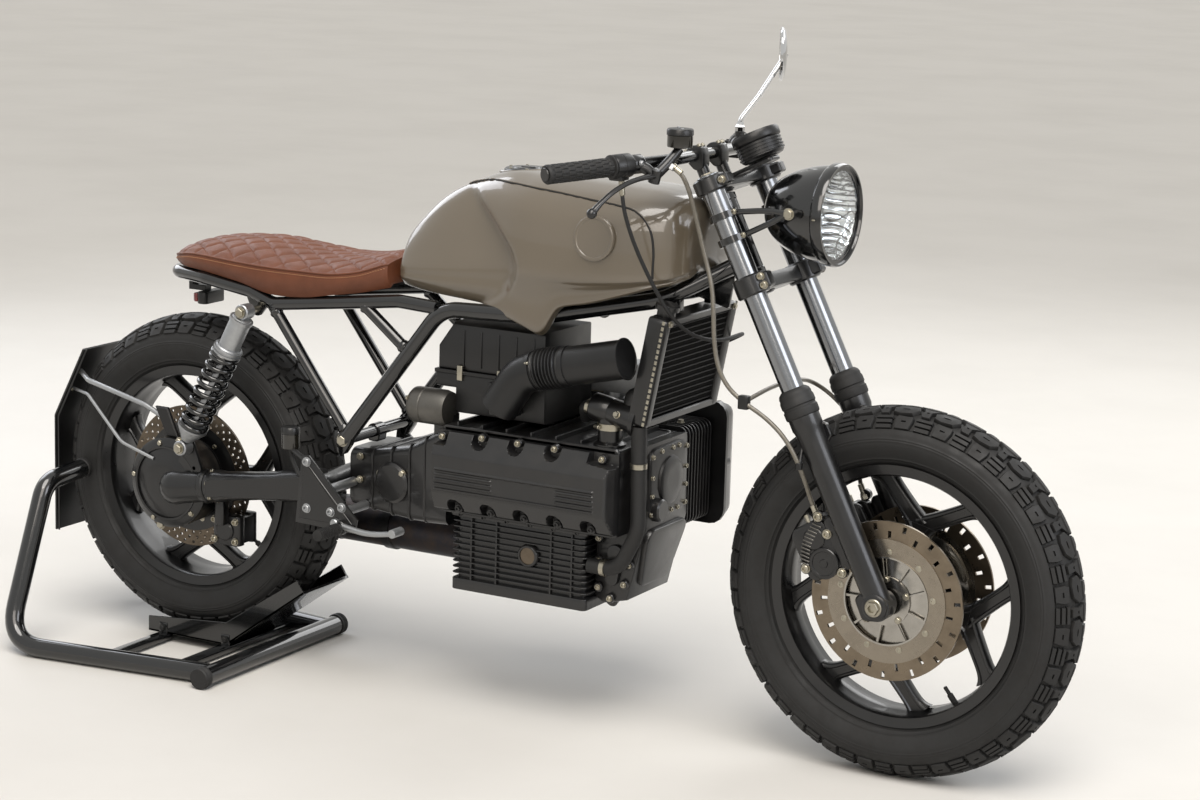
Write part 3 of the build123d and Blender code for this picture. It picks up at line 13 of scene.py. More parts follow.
import bpy
import numpy as np
from mathutils import Matrix

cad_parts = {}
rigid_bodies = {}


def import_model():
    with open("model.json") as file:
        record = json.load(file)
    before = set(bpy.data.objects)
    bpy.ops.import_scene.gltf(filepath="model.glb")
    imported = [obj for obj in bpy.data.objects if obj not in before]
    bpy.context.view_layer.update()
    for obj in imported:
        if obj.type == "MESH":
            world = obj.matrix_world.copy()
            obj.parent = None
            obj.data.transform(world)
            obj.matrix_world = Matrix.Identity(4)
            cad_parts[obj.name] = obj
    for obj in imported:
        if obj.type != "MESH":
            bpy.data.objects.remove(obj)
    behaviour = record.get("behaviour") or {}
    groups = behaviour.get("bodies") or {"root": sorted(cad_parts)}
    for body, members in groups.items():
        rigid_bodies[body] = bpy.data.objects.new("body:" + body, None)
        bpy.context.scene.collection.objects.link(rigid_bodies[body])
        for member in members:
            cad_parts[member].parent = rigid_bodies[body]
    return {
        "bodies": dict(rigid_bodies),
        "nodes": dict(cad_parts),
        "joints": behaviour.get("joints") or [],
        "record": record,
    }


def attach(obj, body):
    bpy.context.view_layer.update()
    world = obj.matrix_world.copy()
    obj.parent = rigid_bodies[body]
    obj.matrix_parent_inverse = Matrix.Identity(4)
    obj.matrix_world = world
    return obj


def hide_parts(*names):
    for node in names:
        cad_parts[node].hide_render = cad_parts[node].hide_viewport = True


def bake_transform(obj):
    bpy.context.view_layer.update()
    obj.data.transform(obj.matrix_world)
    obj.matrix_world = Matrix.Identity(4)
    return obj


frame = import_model()

MM = 0.001
log = logging.getLogger("cafe_racer")
Array = np.ndarray


# Meshes


@dataclass
class Shape:
    """Points in millimetres, with faces grouped by their number of corners.

    Attributes:
        points: Array of shape (n, 3).
        faces: Index arrays, each of shape (faces, corners).
    """

    points: Array
    faces: list[Array]

    def flipped(self) -> "Shape":
        """The same surface facing the other way."""
        return Shape(self.points, [group[:, ::-1] for group in self.faces])

    def outward(self) -> "Shape":
        """The closed surface with its faces outwards: turned round where its signed volume is negative."""
        total = 0.0
        for group in self.faces:
            first = self.points[group[:, 0]]
            for corner in range(1, group.shape[1] - 1):
                second, third = self.points[group[:, corner]], self.points[group[:, corner + 1]]
                total += float(np.einsum("ij,ij->", first, np.cross(second, third)))
        return self if total > 0 else self.flipped()

    def mirrored(self) -> "Shape":
        """The mirror image on the other side of the bike."""
        return Shape(self.points * (1, -1, 1), self.faces).flipped()

    def moved(self, offset: Sequence[float], turn: Array | None = None) -> "Shape":
        """The shape turned by a matrix about the origin, then moved.

        Args:
            offset: Move in millimetres.
            turn: 3 by 3 matrix whose columns are the new axes.

        Returns:
            The placed shape.
        """
        points = self.points if turn is None else self.points @ np.asarray(turn, float).T
        return Shape(points + np.asarray(offset, float), self.faces)


def joined(shapes: Sequence[Shape]) -> Shape:
    """Several shapes as one, with their faces kept.

    Args:
        shapes: Shapes to join.

    Returns:
        One shape.
    """
    faces, start = [], 0
    for shape in shapes:
        faces += [group + start for group in shape.faces]
        start += len(shape.points)
    return Shape(np.concatenate([shape.points for shape in shapes]), faces)


def both_sides(shape: Shape) -> Shape:
    """A shape with its mirror image."""
    return joined([shape, shape.mirrored()])


def unit(vector: Sequence[float] | Array) -> Array:
    """Vectors scaled to length one."""
    vector = np.asarray(vector, float)
    return vector / np.linalg.norm(vector, axis=-1, keepdims=True)


def axes_for(direction: Sequence[float]) -> Array:
    """Axes whose third column is a direction.

    Args:
        direction: Any vector.

    Returns:
        A 3 by 3 rotation whose columns are two cross directions and the direction.
    """
    along = unit(direction)
    helper = np.array((0.0, 0.0, 1.0)) if abs(along[2]) < 0.9 else np.array((1.0, 0.0, 0.0))
    across = unit(np.cross(helper, along))
    return np.stack([across, np.cross(along, across), along], axis=1)


def lattice(points: Array, wrap_u: bool = False, wrap_v: bool = True, caps: bool = True) -> Shape:
    """Grid of points as quads: cell (i, j) joins points (i, j), (i+1, j), (i+1, j+1) and (i, j+1).

    Args:
        points: Array of shape (rows, columns, 3).
        wrap_u: Whether the last row joins the first.
        wrap_v: Whether the last column joins the first.
        caps: Whether the first and last rows are closed with a face each.

    Returns:
        The surface, faces outwards where it is closed.
    """
    rows, columns = points.shape[:2]
    index = np.arange(rows * columns).reshape(rows, columns)
    if wrap_u:
        index = np.concatenate([index, index[:1]])
    if wrap_v:
        index = np.concatenate([index, index[:, :1]], axis=1)
    quads = np.stack([index[:-1, :-1], index[1:, :-1], index[1:, 1:], index[:-1, 1:]], axis=-1)
    faces = [quads.reshape(-1, 4)]
    if caps and wrap_v and not wrap_u:
        faces += [index[:1, :columns], index[-1:, :columns][:, ::-1]]
    return Shape(points.reshape(-1, 3), faces).outward()


def revolved(
    profile: Sequence[tuple[float, float]],
    centre: Sequence[float],
    axis: Sequence[float],
    ring: bool = False,
    sides: int = 48,
) -> Shape:
    """Profile of (radius, height) turned round an axis: centre + height * axis + radius * (cos a, sin a).

    Args:
        profile: Rows of radius and height along the axis.
        centre: Where the height is zero.
        axis: Direction of the axis.
        ring: Whether the profile closes on itself, as in a ring, and else its ends are capped.
        sides: Steps round the axis.

    Returns:
        A closed surface.
    """
    rows = np.asarray(profile, float)
    turn = np.linspace(0, 2 * math.pi, sides, endpoint=False)
    cross = axes_for(axis)
    outward = np.cos(turn)[:, None] * cross[:, 0] + np.sin(turn)[:, None] * cross[:, 1]
    points = np.asarray(centre, float) + rows[:, None, :1] * outward + rows[:, None, 1:] * cross[:, 2]
    return lattice(points, wrap_u=ring)


def rod(
    start: Sequence[float], end: Sequence[float], radius: float, sides: int = 24, edge: float = 0.6
) -> Shape:
    """Straight round bar with its two edges broken.

    Args:
        start: Centre of one end.
        end: Centre of the other end.
        radius: Bar radius.
        sides: Steps round it.
        edge: Width of the broken edge.

    Returns:
        A closed surface.
    """
    run = np.asarray(end, float) - np.asarray(start, float)
    length = float(np.linalg.norm(run))
    profile = [(radius - edge, 0), (radius, edge), (radius, length - edge), (radius - edge, length)]
    return revolved(profile, start, run, sides=sides)


def smooth_path(corners: Sequence[Sequence[float]], radius: float | Sequence[float], steps: int = 7) -> Array:
    """Straight runs with each corner rounded by a quadratic curve that starts a tangent length from it.

    Args:
        corners: Places that the runs join.
        radius: Bend radius, or one for each bend. The tangent length is radius * tan(half the turn),
            and at most half a run.
        steps: Points in each bend.

    Returns:
        Array of shape (points, 3).
    """
    places = np.asarray(corners, float)
    path = [places[:1]]
    share = np.linspace(0, 1, steps)[:, None]
    radii = np.broadcast_to(np.asarray(radius, float), (len(places) - 2,))
    for before, corner, after, bend in zip(places, places[1:], places[2:], radii):
        run_in, run_out = corner - before, after - corner
        cosine = float(np.clip(unit(run_in) @ unit(run_out), -1, 1))
        reach = bend * math.tan(math.acos(cosine) / 2)
        reach = min(reach, 0.48 * np.linalg.norm(run_in), 0.48 * np.linalg.norm(run_out))
        first, last = corner - unit(run_in) * reach, corner + unit(run_out) * reach
        path.append((1 - share) ** 2 * first + 2 * share * (1 - share) * corner + share**2 * last)
    return np.concatenate(path + [places[-1:]])


def spline(corners: Sequence[Sequence[float]], steps: int = 8) -> Array:
    """Centripetal curve through places, as a cubic with each place's tangent along its two neighbours.

    Args:
        corners: Places that the curve passes.
        steps: Points from one place to the next.

    Returns:
        Array of shape (points, 3).
    """
    places = np.asarray(corners, float)
    ends = np.concatenate([2 * places[:1] - places[1:2], places, 2 * places[-1:] - places[-2:-1]])
    before, start, stop, after = ends[:-3, None], ends[1:-2, None], ends[2:-1, None], ends[3:, None]
    t = np.linspace(0, 1, steps, endpoint=False)[None, :, None]
    curve = (
        start
        + 0.5 * t * (stop - before)
        + t**2 * (before - 2.5 * start + 2 * stop - 0.5 * after)
        + 0.5 * t**3 * (after - before + 3 * (start - stop))
    )
    return np.concatenate([curve.reshape(-1, places.shape[1]), places[-1:]])


def frames_along(path: Array, closed: bool = False) -> tuple[Array, Array]:
    """Two cross directions at each point of a path, turned as little as the path allows.

    Args:
        path: Array of shape (points, 3).
        closed: Whether the path closes on itself.

    Returns:
        Two arrays of unit vectors, each of the path's shape.
    """
    tangent = unit(np.gradient(path, axis=0))
    if closed:
        tangent = unit(np.roll(path, -1, axis=0) - np.roll(path, 1, axis=0))
    across = np.empty_like(path)
    across[0] = axes_for(tangent[0])[:, 0]
    for step in range(1, len(path)):
        across[step] = unit(across[step - 1] - tangent[step] * (across[step - 1] @ tangent[step]))
    return across, np.cross(tangent, across)


def tube(path: Array, radius: float | Array, sides: int = 20, closed: bool = False) -> Shape:
    """Circle carried along a path: path + radius * (cos a * across + sin a * over).

    Args:
        path: Array of shape (points, 3).
        radius: One radius, or one for each point.
        sides: Steps round the tube.
        closed: Whether the path closes on itself.

    Returns:
        A closed surface.
    """
    across, over = frames_along(path, closed)
    turn = np.linspace(0, 2 * math.pi, sides, endpoint=False)
    ring = np.cos(turn)[:, None] * across[:, None] + np.sin(turn)[:, None] * over[:, None]
    size = np.broadcast_to(np.asarray(radius, float), (len(path),))[:, None, None]
    return lattice(path[:, None] + size * ring, wrap_u=closed)


def inset_outline(outline: Array, amount: float) -> Array:
    """Closed outline moved inwards along the mean normal of each corner's two edges.

    Args:
        outline: Array of shape (points, 2), in either order.
        amount: Distance moved.

    Returns:
        The smaller outline.
    """
    ahead = unit(np.roll(outline, -1, axis=0) - outline)
    behind = np.roll(ahead, 1, axis=0)
    area = np.sum(outline[:, 0] * np.roll(outline[:, 1], -1) - np.roll(outline[:, 0], -1) * outline[:, 1])
    inward = np.sign(area) * np.stack([-(ahead + behind)[:, 1], (ahead + behind)[:, 0]], axis=1)
    inward = inward / np.maximum(np.sum(inward**2, axis=1, keepdims=True) / 2, 0.35)
    return outline + inward * amount


def hull_outline(circles: Sequence[tuple[float, float, float]], steps: int = 96) -> Array:
    """Outline drawn tight round circles: in each direction, the circle that reaches furthest gives its point.

    Args:
        circles: Rows of centre and radius.
        steps: Directions looked in.

    Returns:
        Array of shape (points, 2).
    """
    turn = np.linspace(0, 2 * math.pi, steps, endpoint=False)
    way = np.stack([np.cos(turn), np.sin(turn)], axis=1)
    rows = np.asarray(circles, float)
    best = np.argmax(rows[:, :2] @ way.T + rows[:, 2:], axis=0)
    return rows[best, :2] + rows[best, 2:] * way


def slab(
    outline: Sequence[tuple[float, float]] | Array,
    low: float,
    high: float,
    axes: Array,
    origin: Sequence[float] = (0, 0, 0),
    edge: float = 1.5,
    round_edge: bool = False,
) -> Shape:
    """Flat outline carried along a direction, with both rims bevelled.

    Args:
        outline: Points in the first two axes.
        low: Place of the near face along the third axis.
        high: Place of the far face.
        axes: 3 by 3 matrix whose columns are the outline's two axes and its normal.
        origin: Where the outline's zero lies.
        edge: Width of the bevel.
        round_edge: Whether the bevel has a middle row, for a rounded rim.

    Returns:
        A closed surface.
    """
    flat = np.asarray(outline, float)
    rows = [(edge, 0.0), (0.0, edge)]
    if round_edge:
        rows.insert(1, (0.29 * edge, 0.29 * edge))
    steps = [(inset, low + up) for inset, up in rows] + [(inset, high - up) for inset, up in reversed(rows)]
    layers = [
        np.concatenate([inset_outline(flat, inset), np.full((len(flat), 1), place)], axis=1)
        for inset, place in steps
    ]
    points = np.stack(layers) @ np.asarray(axes, float).T + np.asarray(origin, float)
    return lattice(points)


ACROSS_BIKE = np.array([(1.0, 0, 0), (0, 0, 1.0), (0, 1.0, 0)])
"""Columns for a side outline: first along X, second along Z, normal along Y."""
ALONG_BIKE = np.array([(0, 0, 1.0), (1.0, 0, 0), (0, 1.0, 0)])
"""Columns for an end outline: first along Y, second along Z, normal along X."""
UPRIGHT = np.eye(3)
"""Columns for a plan outline: first along X, second along Y, normal along Z."""


def rounded_box(
    x_span: tuple[float, float], y_span: tuple[float, float], z_span: tuple[float, float], corner: float = 3.0
) -> Shape:
    """Block with its upright edges rounded and its rims bevelled.

    Args:
        x_span: Low and high X.
        y_span: Low and high Y.
        z_span: Low and high Z.
        corner: Radius of the upright edges.

    Returns:
        A closed surface.
    """
    outline = rounded_rectangle(x_span, y_span, corner)
    return slab(outline, z_span[0], z_span[1], UPRIGHT, edge=min(corner * 0.6, 2.0), round_edge=True)


def rounded_rectangle(first: tuple[float, float], second: tuple[float, float], corner: float) -> Array:
    """Outline of a rectangle whose corners are arcs of five points.

    Args:
        first: Low and high along the first axis.
        second: Low and high along the second axis.
        corner: Corner radius.

    Returns:
        Array of shape (20, 2).
    """
    corner = min(corner, 0.48 * (first[1] - first[0]), 0.48 * (second[1] - second[0]))
    turn = np.linspace(0, math.pi / 2, 5)
    quarter = np.arange(4)[:, None] * math.pi / 2 + turn
    middle = np.array(
        [(first[1], second[1]), (first[0], second[1]), (first[0], second[0]), (first[1], second[0])]
    )
    inner = middle + corner * np.array([(-1, -1), (1, -1), (1, 1), (-1, 1)])
    arcs = inner[:, None] + corner * np.stack([np.cos(quarter), np.sin(quarter)], axis=-1)
    return arcs.reshape(-1, 2)


def repeated(shape: Shape, places: Array, turns: Array | None = None) -> Shape:
    """Copies of one shape at many places, worked out as one array.

    Args:
        shape: Shape about the origin.
        places: Array of shape (copies, 3).
        turns: Array of shape (copies, 3, 3), or one matrix for all, or nothing.

    Returns:
        The copies as one shape.
    """
    places = np.asarray(places, float).reshape(-1, 3)
    turns = np.eye(3) if turns is None else np.asarray(turns, float)
    turns = np.broadcast_to(turns, (len(places), 3, 3))
    points = np.einsum("kij,nj->kni", turns, shape.points) + places[:, None]
    starts = (np.arange(len(places)) * len(shape.points))[:, None, None]
    faces = [(group[None] + starts).reshape(-1, group.shape[1]) for group in shape.faces]
    return Shape(points.reshape(-1, 3), faces)


class Head(Enum):
    """Kinds of bolt head."""

    HEX = 6
    SOCKET = 16


def bolts(
    places: Sequence[Sequence[float]] | Array,
    axis: Sequence[float],
    radius: float = 5.0,
    height: float = 5.0,
    head: Head = Head.HEX,
) -> Shape:
    """Bolt heads on washers: a flat disc, then a prism with a broken edge, and a recess in a socket head.

    Args:
        places: Where the washers' undersides lie.
        axis: Direction that the heads point.
        radius: Head radius over its corners.
        height: Head height above the surface.
        head: Kind of head.

    Returns:
        The heads as one shape.
    """
    washer = revolved(
        [(radius * 1.25, -0.4), (radius * 1.25, 0.9), (radius * 0.8, 1.1)], (0, 0, 0), (0, 0, 1), sides=14
    )
    profile = [(radius, 0.5), (radius, height * 0.85), (radius * 0.86, height)]
    if head is Head.SOCKET:
        profile += [(radius * 0.55, height), (radius * 0.5, height * 0.45)]
    body = revolved(profile, (0, 0, 0), (0, 0, 1), sides=head.value)
    return repeated(joined([washer, body]), np.asarray(places, float), axes_for(axis))


def polar_places(
    centre: Sequence[float], axis: Sequence[float], radius: float, count: int, phase: float = 0.0
) -> Array:
    """Evenly spaced places on a circle.

    Args:
        centre: Centre of the circle.
        axis: Its normal.
        radius: Its radius.
        count: Number of places.
        phase: Angle of the first one, in degrees.

    Returns:
        Array of shape (count, 3).
    """
    turn = math.radians(phase) + np.arange(count) * 2 * math.pi / count
    cross = axes_for(axis)
    return np.asarray(centre, float) + radius * (
        np.cos(turn)[:, None] * cross[:, 0] + np.sin(turn)[:, None] * cross[:, 1]
    )


def pierced_plate(near: Array, far: Array, solid: Array, wrap: bool) -> Shape:
    """Plate between two grids of points, kept only in the solid cells, with walls where solid meets open.

    Args:
        near: Array of shape (rows, columns, 3) on one face.
        far: The same on the other face.
        solid: Which cells are solid, of shape (rows - 1, columns - 1), or (rows - 1, columns) wrapped.
        wrap: Whether the last column joins the first.

    Returns:
        A closed surface with real holes.
    """
    rows, columns = near.shape[:2]
    index = np.arange(rows * columns).reshape(rows, columns)
    if wrap:
        index = np.concatenate([index, index[:, :1]], axis=1)
    shift = rows * columns
    a, b, c, d = index[:-1, :-1], index[1:, :-1], index[1:, 1:], index[:-1, 1:]
    cells = np.stack([a, b, c, d], axis=-1)[solid]
    faces = [cells, cells[:, ::-1] + shift]
    padded = np.pad(solid, 1)
    if wrap:
        padded[:, 0], padded[:, -1] = padded[:, -2], padded[:, 1]
    inside = padded[1:-1, 1:-1]
    for neighbour, (p, q) in (
        (padded[:-2, 1:-1], (d, a)),
        (padded[2:, 1:-1], (b, c)),
        (padded[1:-1, :-2], (a, b)),
        (padded[1:-1, 2:], (c, d)),
    ):
        edge = inside & ~neighbour
        faces.append(np.stack([q[edge], p[edge], p[edge] + shift, q[edge] + shift], axis=-1))
    return Shape(np.concatenate([near.reshape(-1, 3), far.reshape(-1, 3)]), faces).outward()


# Finishes


def linear(colour: str) -> tuple[float, float, float, float]:
    """sRGB hex colour as linear RGBA: below 0.04045 divided by 12.92, above it ((c + 0.055) / 1.055) ** 2.4.

    Args:
        colour: Text such as "#7d7261".

    Returns:
        Four numbers from 0 to 1.
    """
    parts = [int(colour[place : place + 2], 16) / 255 for place in (1, 3, 5)]
    red, green, blue = (c / 12.92 if c <= 0.04045 else ((c + 0.055) / 1.055) ** 2.4 for c in parts)
    return red, green, blue, 1.0


def add_node(tree: bpy.types.NodeTree, kind: str, settings: dict[str, object] | None = None, **links: object):
    """Adds one node with its settings, and sets or links its inputs.

    Args:
        tree: Node tree of the material.
        kind: Node type's name.
        settings: The node's own properties.
        **links: Input names with underscores for spaces, or i0, i1 for places. Each is a value or
            an output socket.

    Returns:
        The node.
    """
    node = tree.nodes.new(kind)
    for name, value in (settings or {}).items():
        setattr(node, name, value)
    for name, value in links.items():
        place = int(name[1:]) if name[0] == "i" and name[1:].isdigit() else name.replace("_", " ")
        if isinstance(value, bpy.types.NodeSocket):
            tree.links.new(value, node.inputs[place])
        else:
            node.inputs[place].default_value = value
    return node


def blended(tree: bpy.types.NodeTree, share: object, first: object, second: object) -> bpy.types.NodeSocket:
    """Colour between two colours.

    Args:
        tree: Node tree.
        share: Output socket or value, 0 for the first colour.
        first: Colour or socket.
        second: Colour or socket.

    Returns:
        The mixed colour's socket.
    """
    node = add_node(tree, "ShaderNodeMix", {"data_type": "RGBA"})
    for place, value in ((0, share), (6, first), (7, second)):
        if isinstance(value, bpy.types.NodeSocket):
            tree.links.new(value, node.inputs[place])
        else:
            node.inputs[place].default_value = value
    return node.outputs[2]


def ranged(
    tree: bpy.types.NodeTree, value: bpy.types.NodeSocket, span: Sequence[float]
) -> bpy.types.NodeSocket:
    """Value carried from one range to another.

    Args:
        tree: Node tree.
        value: Output socket.
        span: From low, from high, to low, to high.

    Returns:
        The new value's socket.
    """
    low, high, to_low, to_high = span
    return add_node(
        tree, "ShaderNodeMapRange", None, i0=value, i1=low, i2=high, i3=to_low, i4=to_high
    ).outputs[0]


class Grain(Enum):
    """How a finish's surface was made, which sets its small relief."""

    SMOOTH = "smooth"
    CAST = "cast"
    MOULDED = "moulded"
    BRUSHED = "brushed"
    TURNED = "turned"
    LEATHER = "leather"
    BRAIDED = "braided"


@dataclass(frozen=True)
class Finish:
    """One real finish, with its colour, gloss and relief.

    Attributes:
        name: Material and process in plain words.
        slot: The record's material slot.
        colour: Main sRGB colour.
        second: sRGB colour that it drifts towards, for dust, wear or heat.
        drift_mm: Size of that drift's patches.
        drift: Most of the second colour.
        rough: Lowest and highest roughness.
        metallic: Metallic share.
        coat: Clear coat weight.
        grain: Kind of relief.
        grain_mm: Size of the relief's grains.
        depth_mm: Height of the relief.
        see_through: Transmission share, for glass.
    """

    name: str
    slot: str
    colour: str
    second: str
    drift_mm: float = 60.0
    drift: float = 0.35
    rough: tuple[float, float] = (0.35, 0.5)
    metallic: float = 0.0
    coat: float = 0.0
    grain: Grain = Grain.MOULDED
    grain_mm: float = 0.6
    depth_mm: float = 0.02
    see_through: float = 0.0

    def relief(self, tree: bpy.types.NodeTree, place: bpy.types.NodeSocket) -> bpy.types.NodeSocket:
        """Height pattern of the surface, from its real grain size.

        Args:
            tree: Node tree.
            place: Object coordinates in metres.

        Returns:
            Height socket, about 0 to 1.
        """
        scale = 1.0 / (self.grain_mm * MM)
        if self.grain is Grain.LEATHER:
            cells = add_node(
                tree, "ShaderNodeTexVoronoi", {"feature": "DISTANCE_TO_EDGE"}, Vector=place, Scale=scale,
                Randomness=0.9
            )
            pores = add_node(tree, "ShaderNodeTexNoise", None, Vector=place, Scale=scale * 2.3, Detail=4.0)
            edge = ranged(tree, cells.outputs["Distance"], (0.0, 0.28, 0.0, 1.0))
            return add_node(
                tree, "ShaderNodeMath", {"operation": "MULTIPLY_ADD"}, i0=pores.outputs[0], i1=0.35, i2=edge
            ).outputs[0]
        if self.grain in (Grain.BRUSHED, Grain.TURNED):
            along = (0.06, 1.0, 1.0) if self.grain is Grain.BRUSHED else (1.0, 0.05, 1.0)
            stretched = add_node(tree, "ShaderNodeMapping", None, Vector=place, Scale=along)
            return add_node(
                tree, "ShaderNodeTexNoise", None, Vector=stretched.outputs[0], Scale=scale, Detail=3.0
            ).outputs[0]
        if self.grain is Grain.BRAIDED:
            first = add_node(
                tree, "ShaderNodeTexWave", {"bands_direction": "DIAGONAL"}, Vector=place, Scale=scale * 0.16,
                Distortion=1.0
            )
            turned = add_node(tree, "ShaderNodeMapping", None, Vector=place, Rotation=(0.4, 0.9, 1.57))
            second = add_node(
                tree,
                "ShaderNodeTexWave",
                {"bands_direction": "DIAGONAL"},
                Vector=turned.outputs[0],
                Scale=scale * 0.16,
                Distortion=1.0,
            )
            return add_node(
                tree, "ShaderNodeMath", {"operation": "MAXIMUM"}, i0=first.outputs[1], i1=second.outputs[1]
            ).outputs[0]
        detail = 6.0 if self.grain is Grain.CAST else 2.0
        return add_node(
            tree, "ShaderNodeTexNoise", None, Vector=place, Scale=scale, Detail=detail, Roughness=0.6
        ).outputs[0]

    def build(self) -> bpy.types.Material:
        """Makes the material, or finds it where it is made already.

        Returns:
            The material.
        """
        found = bpy.data.materials.get(self.name)
        if found:
            return found
        material = bpy.data.materials.new(self.name)
        material.use_nodes = True
        tree = material.node_tree
        shader = tree.nodes["Principled BSDF"]
        place = add_node(tree, "ShaderNodeTexCoord").outputs["Object"]
        patches = add_node(
            tree, "ShaderNodeTexNoise", None, Vector=place, Scale=1.0 / (self.drift_mm * MM), Detail=5.0,
            Roughness=0.62
        ).outputs[0]
        amount = ranged(tree, patches, (0.42, 0.72, 0.0, self.drift))
        tree.links.new(
            blended(tree, amount, linear(self.colour), linear(self.second)), shader.inputs["Base Color"]
        )
        gloss = ranged(tree, patches, (0.3, 0.7, *self.rough))
        tree.links.new(gloss, shader.inputs["Roughness"])
        if self.grain is not Grain.SMOOTH:
            bump = add_node(tree, "ShaderNodeBump", None, Strength=1.0, Distance=self.depth_mm * MM)
            tree.links.new(self.relief(tree, place), bump.inputs["Height"])
            tree.links.new(bump.outputs[0], shader.inputs["Normal"])
        shader.inputs["Metallic"].default_value = self.metallic
        shader.inputs["Coat Weight"].default_value = self.coat
        shader.inputs["Coat Roughness"].default_value = 0.04
        shader.inputs["Transmission Weight"].default_value = self.see_through
        return material


# Moulded tyre rubber: nearly black, dusty in patches, with a fine mould texture.
TYRE_RUBBER = Finish(
    "moulded tyre rubber", "tyre_rubber", "#101010", "#1f1d1b", 38, 0.45, (0.55, 0.8), grain_mm=1.4,
    depth_mm=0.05
)
# Satin powder coat on cast alloy: black, a little orange peel, soft shine.
CAST_BLACK = Finish(
    "satin powder coated casting", "cast_black", "#0a0a0b", "#161515", 70, 0.4, (0.26, 0.4), coat=0.25,
    grain=Grain.CAST, grain_mm=1.6, depth_mm=0.03,
)
# Gloss powder coat on steel tube: deep black with sharp lights. The same black also draws lines between the
# headlight reflector's facets, as painted shade and painted dark reflection.
GLOSS_BLACK_AND_FACET_SHADE = Finish(
    "gloss powder coated steel and painted reflector shade", "frame_black", "#0b0c0d", "#1a1a1b", 90, 0.3, (0.1, 0.2), coat=0.7,
    grain_mm=2.5, depth_mm=0.012,
)
# Two-coat car paint on pressed steel: warm taupe with a fine flake and clear coat.
TANK_PAINT = Finish(
    "sprayed taupe paint", "tank_paint", "#665d4f", "#605749", 140, 0.4, (0.28, 0.34), coat=1.0,
    grain_mm=0.5, depth_mm=0.002,
)
# Aniline leather: reddish tan with a pebbled grain and darker rubbed patches.
TAN_LEATHER = Finish(
    "stitched tan leather", "leather_tan", "#69391f", "#4d2815", 45, 0.5, (0.46, 0.6), grain=Grain.LEATHER,
    grain_mm=1.3, depth_mm=0.12,
)
# Sand cast aluminium with grey engine paint: dull, fine pits, oily drift.
ENGINE_GREY = Finish(
    "painted sand casting", "engine_grey", "#151516", "#22201e", 55, 0.45, (0.28, 0.42), coat=0.25,
    grain=Grain.CAST, grain_mm=1.2, depth_mm=0.05,
)
# Bead blasted aluminium casting: pale grey, even satin.
BARE_ALLOY = Finish(
    "bead blasted aluminium", "bare_alloy", "#a9abad", "#7f8082", 40, 0.45, (0.34, 0.5), metallic=0.9,
    grain=Grain.CAST, grain_mm=0.8, depth_mm=0.03,
)
# Injection moulded nylon: black with a fine etched texture.
BLACK_PLASTIC = Finish(
    "moulded black nylon", "black_plastic", "#0b0b0c", "#161616", 80, 0.35, (0.3, 0.45), grain_mm=0.9,
    depth_mm=0.03
)
# Extruded and moulded rubber: matt black, slightly dusty. The same black also fills the tank's seam as
# painted shade in its gap.
BLACK_RUBBER_AND_SEAM_SHADE = Finish(
    "moulded black rubber and painted seam shade", "rubber_black", "#101010", "#201e1c", 50, 0.4, (0.55, 0.75), grain_mm=1.0,
    depth_mm=0.04
)
# Ground stainless disc: bright grey with turning marks.
DISC_STEEL = Finish(
    "ground stainless disc", "disc_steel", "#7d7263", "#5c5246", 30, 0.4, (0.24, 0.4), metallic=1.0,
    grain=Grain.TURNED, grain_mm=1.5, depth_mm=0.01,
)
# Stainless ring inside the swept band: the same steel, cleaner and warmer.
DISC_RING = Finish(
    "polished stainless ring", "disc_steel", "#8e867a", "#736c61", 30, 0.4, (0.2, 0.32), metallic=1.0,
    grain=Grain.TURNED, grain_mm=1.5, depth_mm=0.01,
)
# Aluminium casting polished by hand: bright with soft dark reflections.
POLISHED_ALLOY = Finish(
    "hand polished aluminium", "bare_alloy", "#a4a19b", "#86837c", 25, 0.4, (0.12, 0.22), metallic=1.0,
    grain_mm=1.2, depth_mm=0.01,
)
# Heat tinted disc steel: bronze brown.
DISC_BRONZE = Finish(
    "heat tinted disc", "disc_bronze", "#6a6054", "#453d34", 30, 0.5, (0.28, 0.45), metallic=1.0,
    grain=Grain.TURNED, grain_mm=1.5, depth_mm=0.01,
)
# Zinc plated fastener steel: pale warm grey.
ZINC = Finish(
    "zinc plated steel", "zinc_steel", "#a9a496", "#7c7768", 18, 0.5, (0.26, 0.42), metallic=1.0,
    grain_mm=0.8, depth_mm=0.01,
)
# Aluminium casting left raw: mid grey, oiled, uneven. On the front calipers' ribs the same pale grey is a
# painted highlight along their edges.
RAW_ALLOY_AND_RIB_HIGHLIGHT = Finish(
    "raw aluminium casting and painted rib highlight", "bare_alloy", "#64625e", "#45433f", 35, 0.5, (0.3, 0.48), metallic=0.85,
    grain=Grain.CAST, grain_mm=1.0, depth_mm=0.04,
)
# Hard chromed and polished tube: near mirror.
CHROME = Finish(
    "polished chrome", "chrome", "#c9cacb", "#b5b6b8", 120, 0.2, (0.05, 0.1), metallic=1.0, grain=Grain.SMOOTH
)
# Hard chromed fork tube: mirror with faint brushing.
FORK_CHROME = Finish(
    "ground fork chrome", "zinc_steel", "#8b8d90", "#6c6e72", 60, 0.3, (0.14, 0.24), metallic=1.0,
    grain=Grain.BRUSHED, grain_mm=0.9, depth_mm=0.004,
)
# Pressed clear lamp glass.
LAMP_GLASS = Finish(
    "pressed lamp glass", "lamp_glass", "#f4f7f8", "#e9eef0", 200, 0.2, (0.02, 0.05), see_through=1.0,
    grain=Grain.SMOOTH,
)
# Vacuum metallised reflector.
REFLECTOR = Finish(
    "metallised reflector", "chrome", "#f1f2f3", "#dcdee0", 90, 0.2, (0.04, 0.09), metallic=1.0,
    grain=Grain.SMOOTH
)
# Moulded red acrylic.
RED_LENS = Finish(
    "moulded red acrylic", "lens_red", "#7d1414", "#5a0d0e", 60, 0.3, (0.08, 0.16), coat=0.8, grain_mm=3.0,
    depth_mm=0.1,
)
